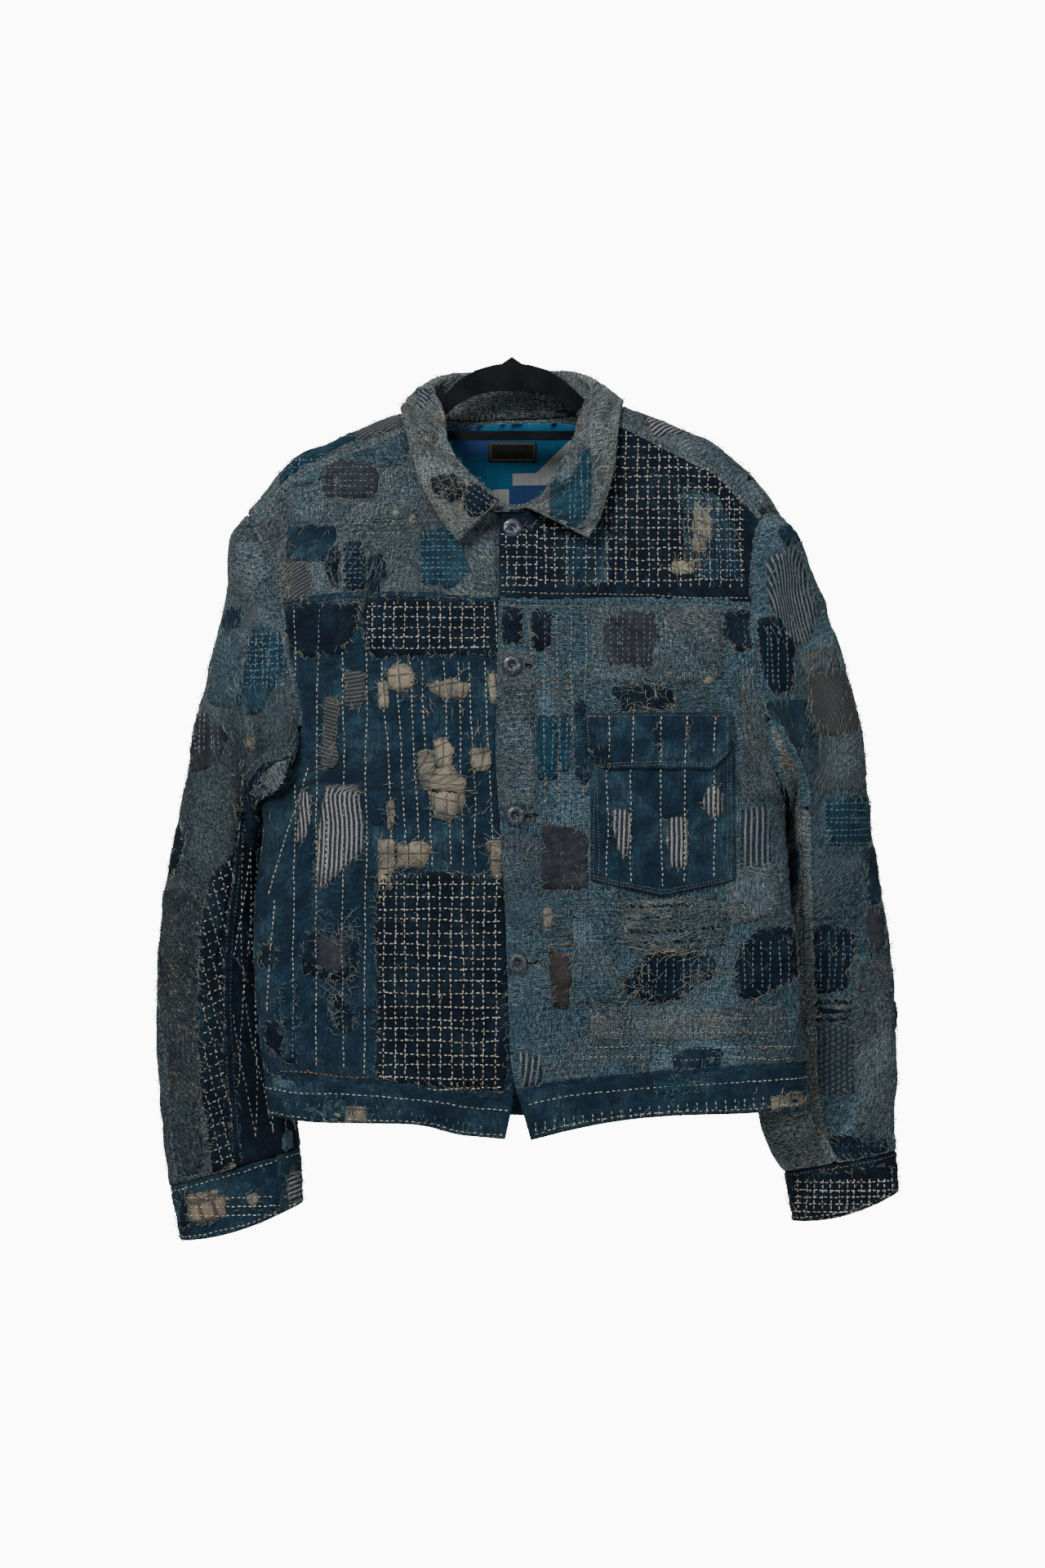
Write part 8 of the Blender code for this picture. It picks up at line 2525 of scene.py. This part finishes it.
def flocked():
    """Velvet flocking on the hanger: near black, soft, with lint."""
    made, tree, shader, _ = surface("black flocking", 1.0, 0.05)
    where = add(tree, "ShaderNodeTexCoord").outputs["Object"]
    lint = clouds(tree, where, 900.0, 2.0, 0.62, 0.8)
    cloud = clouds(tree, where, 40.0, 2.0, 0.3, 0.7)
    colour = mixed(tree, cloud, (0.0030, 0.0042, 0.0060, 1), (0.0075, 0.0095, 0.0120, 1))
    colour = mixed(tree, maths(tree, "MULTIPLY", lint, 0.5), colour, (0.05, 0.06, 0.065, 1))
    finish(tree, shader, colour, lint, 0.0003)
    return made


def worn_metal():
    """Grey coated steel of the buttons: brighter where it is rubbed."""
    made, tree, shader, _ = surface("worn button metal", 0.42, 0.0, 0.85)
    where = add(tree, "ShaderNodeTexCoord").outputs["Object"]
    rubbed = clouds(tree, where, 600.0, 3.0, 0.35, 0.7)
    colour = mixed(tree, rubbed, (0.035, 0.040, 0.052, 1), (0.17, 0.18, 0.21, 1))
    socket(tree, shader, "Roughness", ranged(tree, rubbed, 0.0, 1.0, 0.6, 0.35))
    finish(tree, shader, colour, rubbed, 0.0001)
    return made


SURFACE["back_lining"], SURFACE["neck_tab"] = lining_cloth(), tab_cloth()
total = 0
for name, cloth in CLOTHS.items():
    points, faces, uv = shell_arrays(cloth)
    shell = mesh_object(name + "_cloth", points, faces, uv, slots=[SURFACE.get(name, DENIM)])
    extras = []
    if name in PATCH_MESHES:
        points, faces, uv, fabrics, counts = joined_arrays(PATCH_MESHES[name])
        kinds = sorted(set(fabrics))
        owners = np.repeat([kinds.index(f) for f in fabrics], counts)
        extras.append(mesh_object(name + "_patches", points, faces, uv, slots=[FABRICS[k] for k in kinds],
                                  face_slots=owners))
    for key, parts in STITCH_MESHES.items():
        if key[0] == name:
            points, faces, _ = stitch_arrays(parts)
            extras.append(mesh_object(f"{name}_stitches_{key[1]}", points, faces, slots=[STITCH[key[1]]]))
    for key, parts in THREAD_MESHES.items():
        if key[0] == name:
            points, faces = thread_arrays(parts)
            extras.append(mesh_object(f"{name}_threads_{key[1]}", points, faces, slots=[STITCH[key[1]]]))
    if name in RIBBONS:
        points, faces, uv, _, _ = joined_arrays([(*part, None) for part in RIBBONS[name]])
        extras.append(mesh_object(name + "_seams", points, faces, uv, slots=[SURFACE.get(name, DENIM)]))
    for piece in (shell, *extras):
        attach(piece, "root")
        total += len(piece.data.polygons)
    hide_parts(name)
    width, length = cloth.width * METRES, cloth.length * METRES
print("triangles that the scene adds:", total)
for kind in ("_cloth", "_patches", "_stitches", "_threads", "_seams"):
    print(kind, sum(len(o.data.polygons) for o in bpy.data.objects if kind in o.name and o.type == "MESH"))

# %% [markdown]
# ## Hanger and buttons
#
# Their solids already have the real shape, so they stay and only get finishes: flocking on the hanger,
# and worn grey metal on the four ring buttons.

# %% Finishes of the solids that stay
BUTTON_COUNT = 4
FLOCK, METAL = flocked(), worn_metal()
for name in ("hanger_arms", "hanger_bar"):
    frame["nodes"][name].material_slots[0].material = FLOCK
for number in range(1, BUTTON_COUNT + 1):
    frame["nodes"][f"button_{number}"].material_slots[0].material = METAL

# %% [markdown]
# ## Camera, light and floor
#
# The picture is a cut-out on near white, seen straight from the front. A long lens keeps the sleeves from
# spreading. Two large soft lights from the front give the flat studio look, and the floor far below is
# one pale dish that rises behind the jacket, so that no horizon shows.

# %% Camera
DISTANCE = 4.6
FRAME_HEIGHT = 1.3728
LENS = 90.0
AIM_X = 0.0093
AIM_Z = -0.374
data = bpy.data.cameras.new("camera")
data.lens = LENS
data.sensor_width = 2 * LENS * math.tan(math.atan(FRAME_HEIGHT / 2 / DISTANCE))
camera = bpy.data.objects.new("camera", data)
camera.location = (AIM_X, -DISTANCE, AIM_Z)
camera.rotation_euler = (math.pi / 2, 0, 0)
bpy.context.scene.collection.objects.link(camera)
bpy.context.scene.camera = camera


# %% Lights
def soft_light(name, place, target, size, power):
    """A square lamp at a place, turned to face a target."""
    lamp = bpy.data.lights.new(name, "AREA")
    lamp.shape, lamp.size, lamp.energy = "SQUARE", size, power
    made = bpy.data.objects.new(name, lamp)
    made.location = place
    from_target = np.array(place, float) - np.array(target, float)
    flat = math.hypot(from_target[0], from_target[1])
    made.rotation_euler = (math.atan2(flat, from_target[2]), 0, math.atan2(from_target[0], -from_target[1]))
    bpy.context.scene.collection.objects.link(made)


soft_light("key", (-1.5, -2.2, 1.9), (0, 0, -0.35), 1.1, 120)
soft_light("fill", (2.2, -2.4, 0.2), (0, 0, -0.4), 2.2, 30)
soft_light("back", (0.3, 3.0, 1.6), (0, 0, -0.4), 2.4, 70)

# %% Floor and surroundings
WORLD_STRENGTH = 0.35
world = bpy.data.worlds.new("studio")
world.use_nodes = True
world.node_tree.nodes["Background"].inputs["Color"].default_value = (1, 1, 1, 1)
world.node_tree.nodes["Background"].inputs["Strength"].default_value = WORLD_STRENGTH
bpy.context.scene.world = world


def dish(radius=9.0, rise=5.0, depth=-1.9, turns=64, rings=24):
    """A floor that curves up into a wall: a flat disc, a quarter circle and a straight rise, spun round
    Z."""
    angle = np.linspace(0, math.pi / 2, rings)
    profile = np.concatenate([
        [(0.01, depth), (radius - 3, depth)],
        np.stack([radius - 3 + 3 * np.sin(angle), depth + 3 - 3 * np.cos(angle)], axis=-1),
        [(radius, depth + 3 + rise)],
    ])
    turn = np.linspace(0, 2 * math.pi, turns + 1)
    grid = np.stack([
        profile[:, :1] * np.cos(turn), profile[:, :1] * np.sin(turn),
        np.repeat(profile[:, 1:], turns + 1, axis=1)
    ], axis=-1)
    made = mesh_object("floor", grid.reshape(-1, 3) / METRES, triangles(cells_of(*grid.shape[:2])))
    pale = bpy.data.materials.new("pale floor")
    pale.use_nodes = True
    tree = pale.node_tree
    shader = tree.nodes["Principled BSDF"]
    shader.inputs["Base Color"].default_value = (0.82, 0.82, 0.82, 1)
    shader.inputs["Roughness"].default_value = 0.9
    shader.inputs["Emission Color"].default_value = (1, 1, 1, 1)
    seen = add(tree, "ShaderNodeLightPath").outputs["Is Camera Ray"]
    socket(tree, shader, "Emission Strength", maths(tree, "MULTIPLY", seen, FLOOR_GLOW))
    made.data.materials.append(pale)
    return made


FLOOR_GLOW = 10.5
dish()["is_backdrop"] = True

# %% Sizes and the end
low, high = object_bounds()
sizes = {"cad": CAD_BOX, "scene": [list(low), list(high)]}
print("scene box in metres:", np.round(sizes["scene"], 4).tolist())
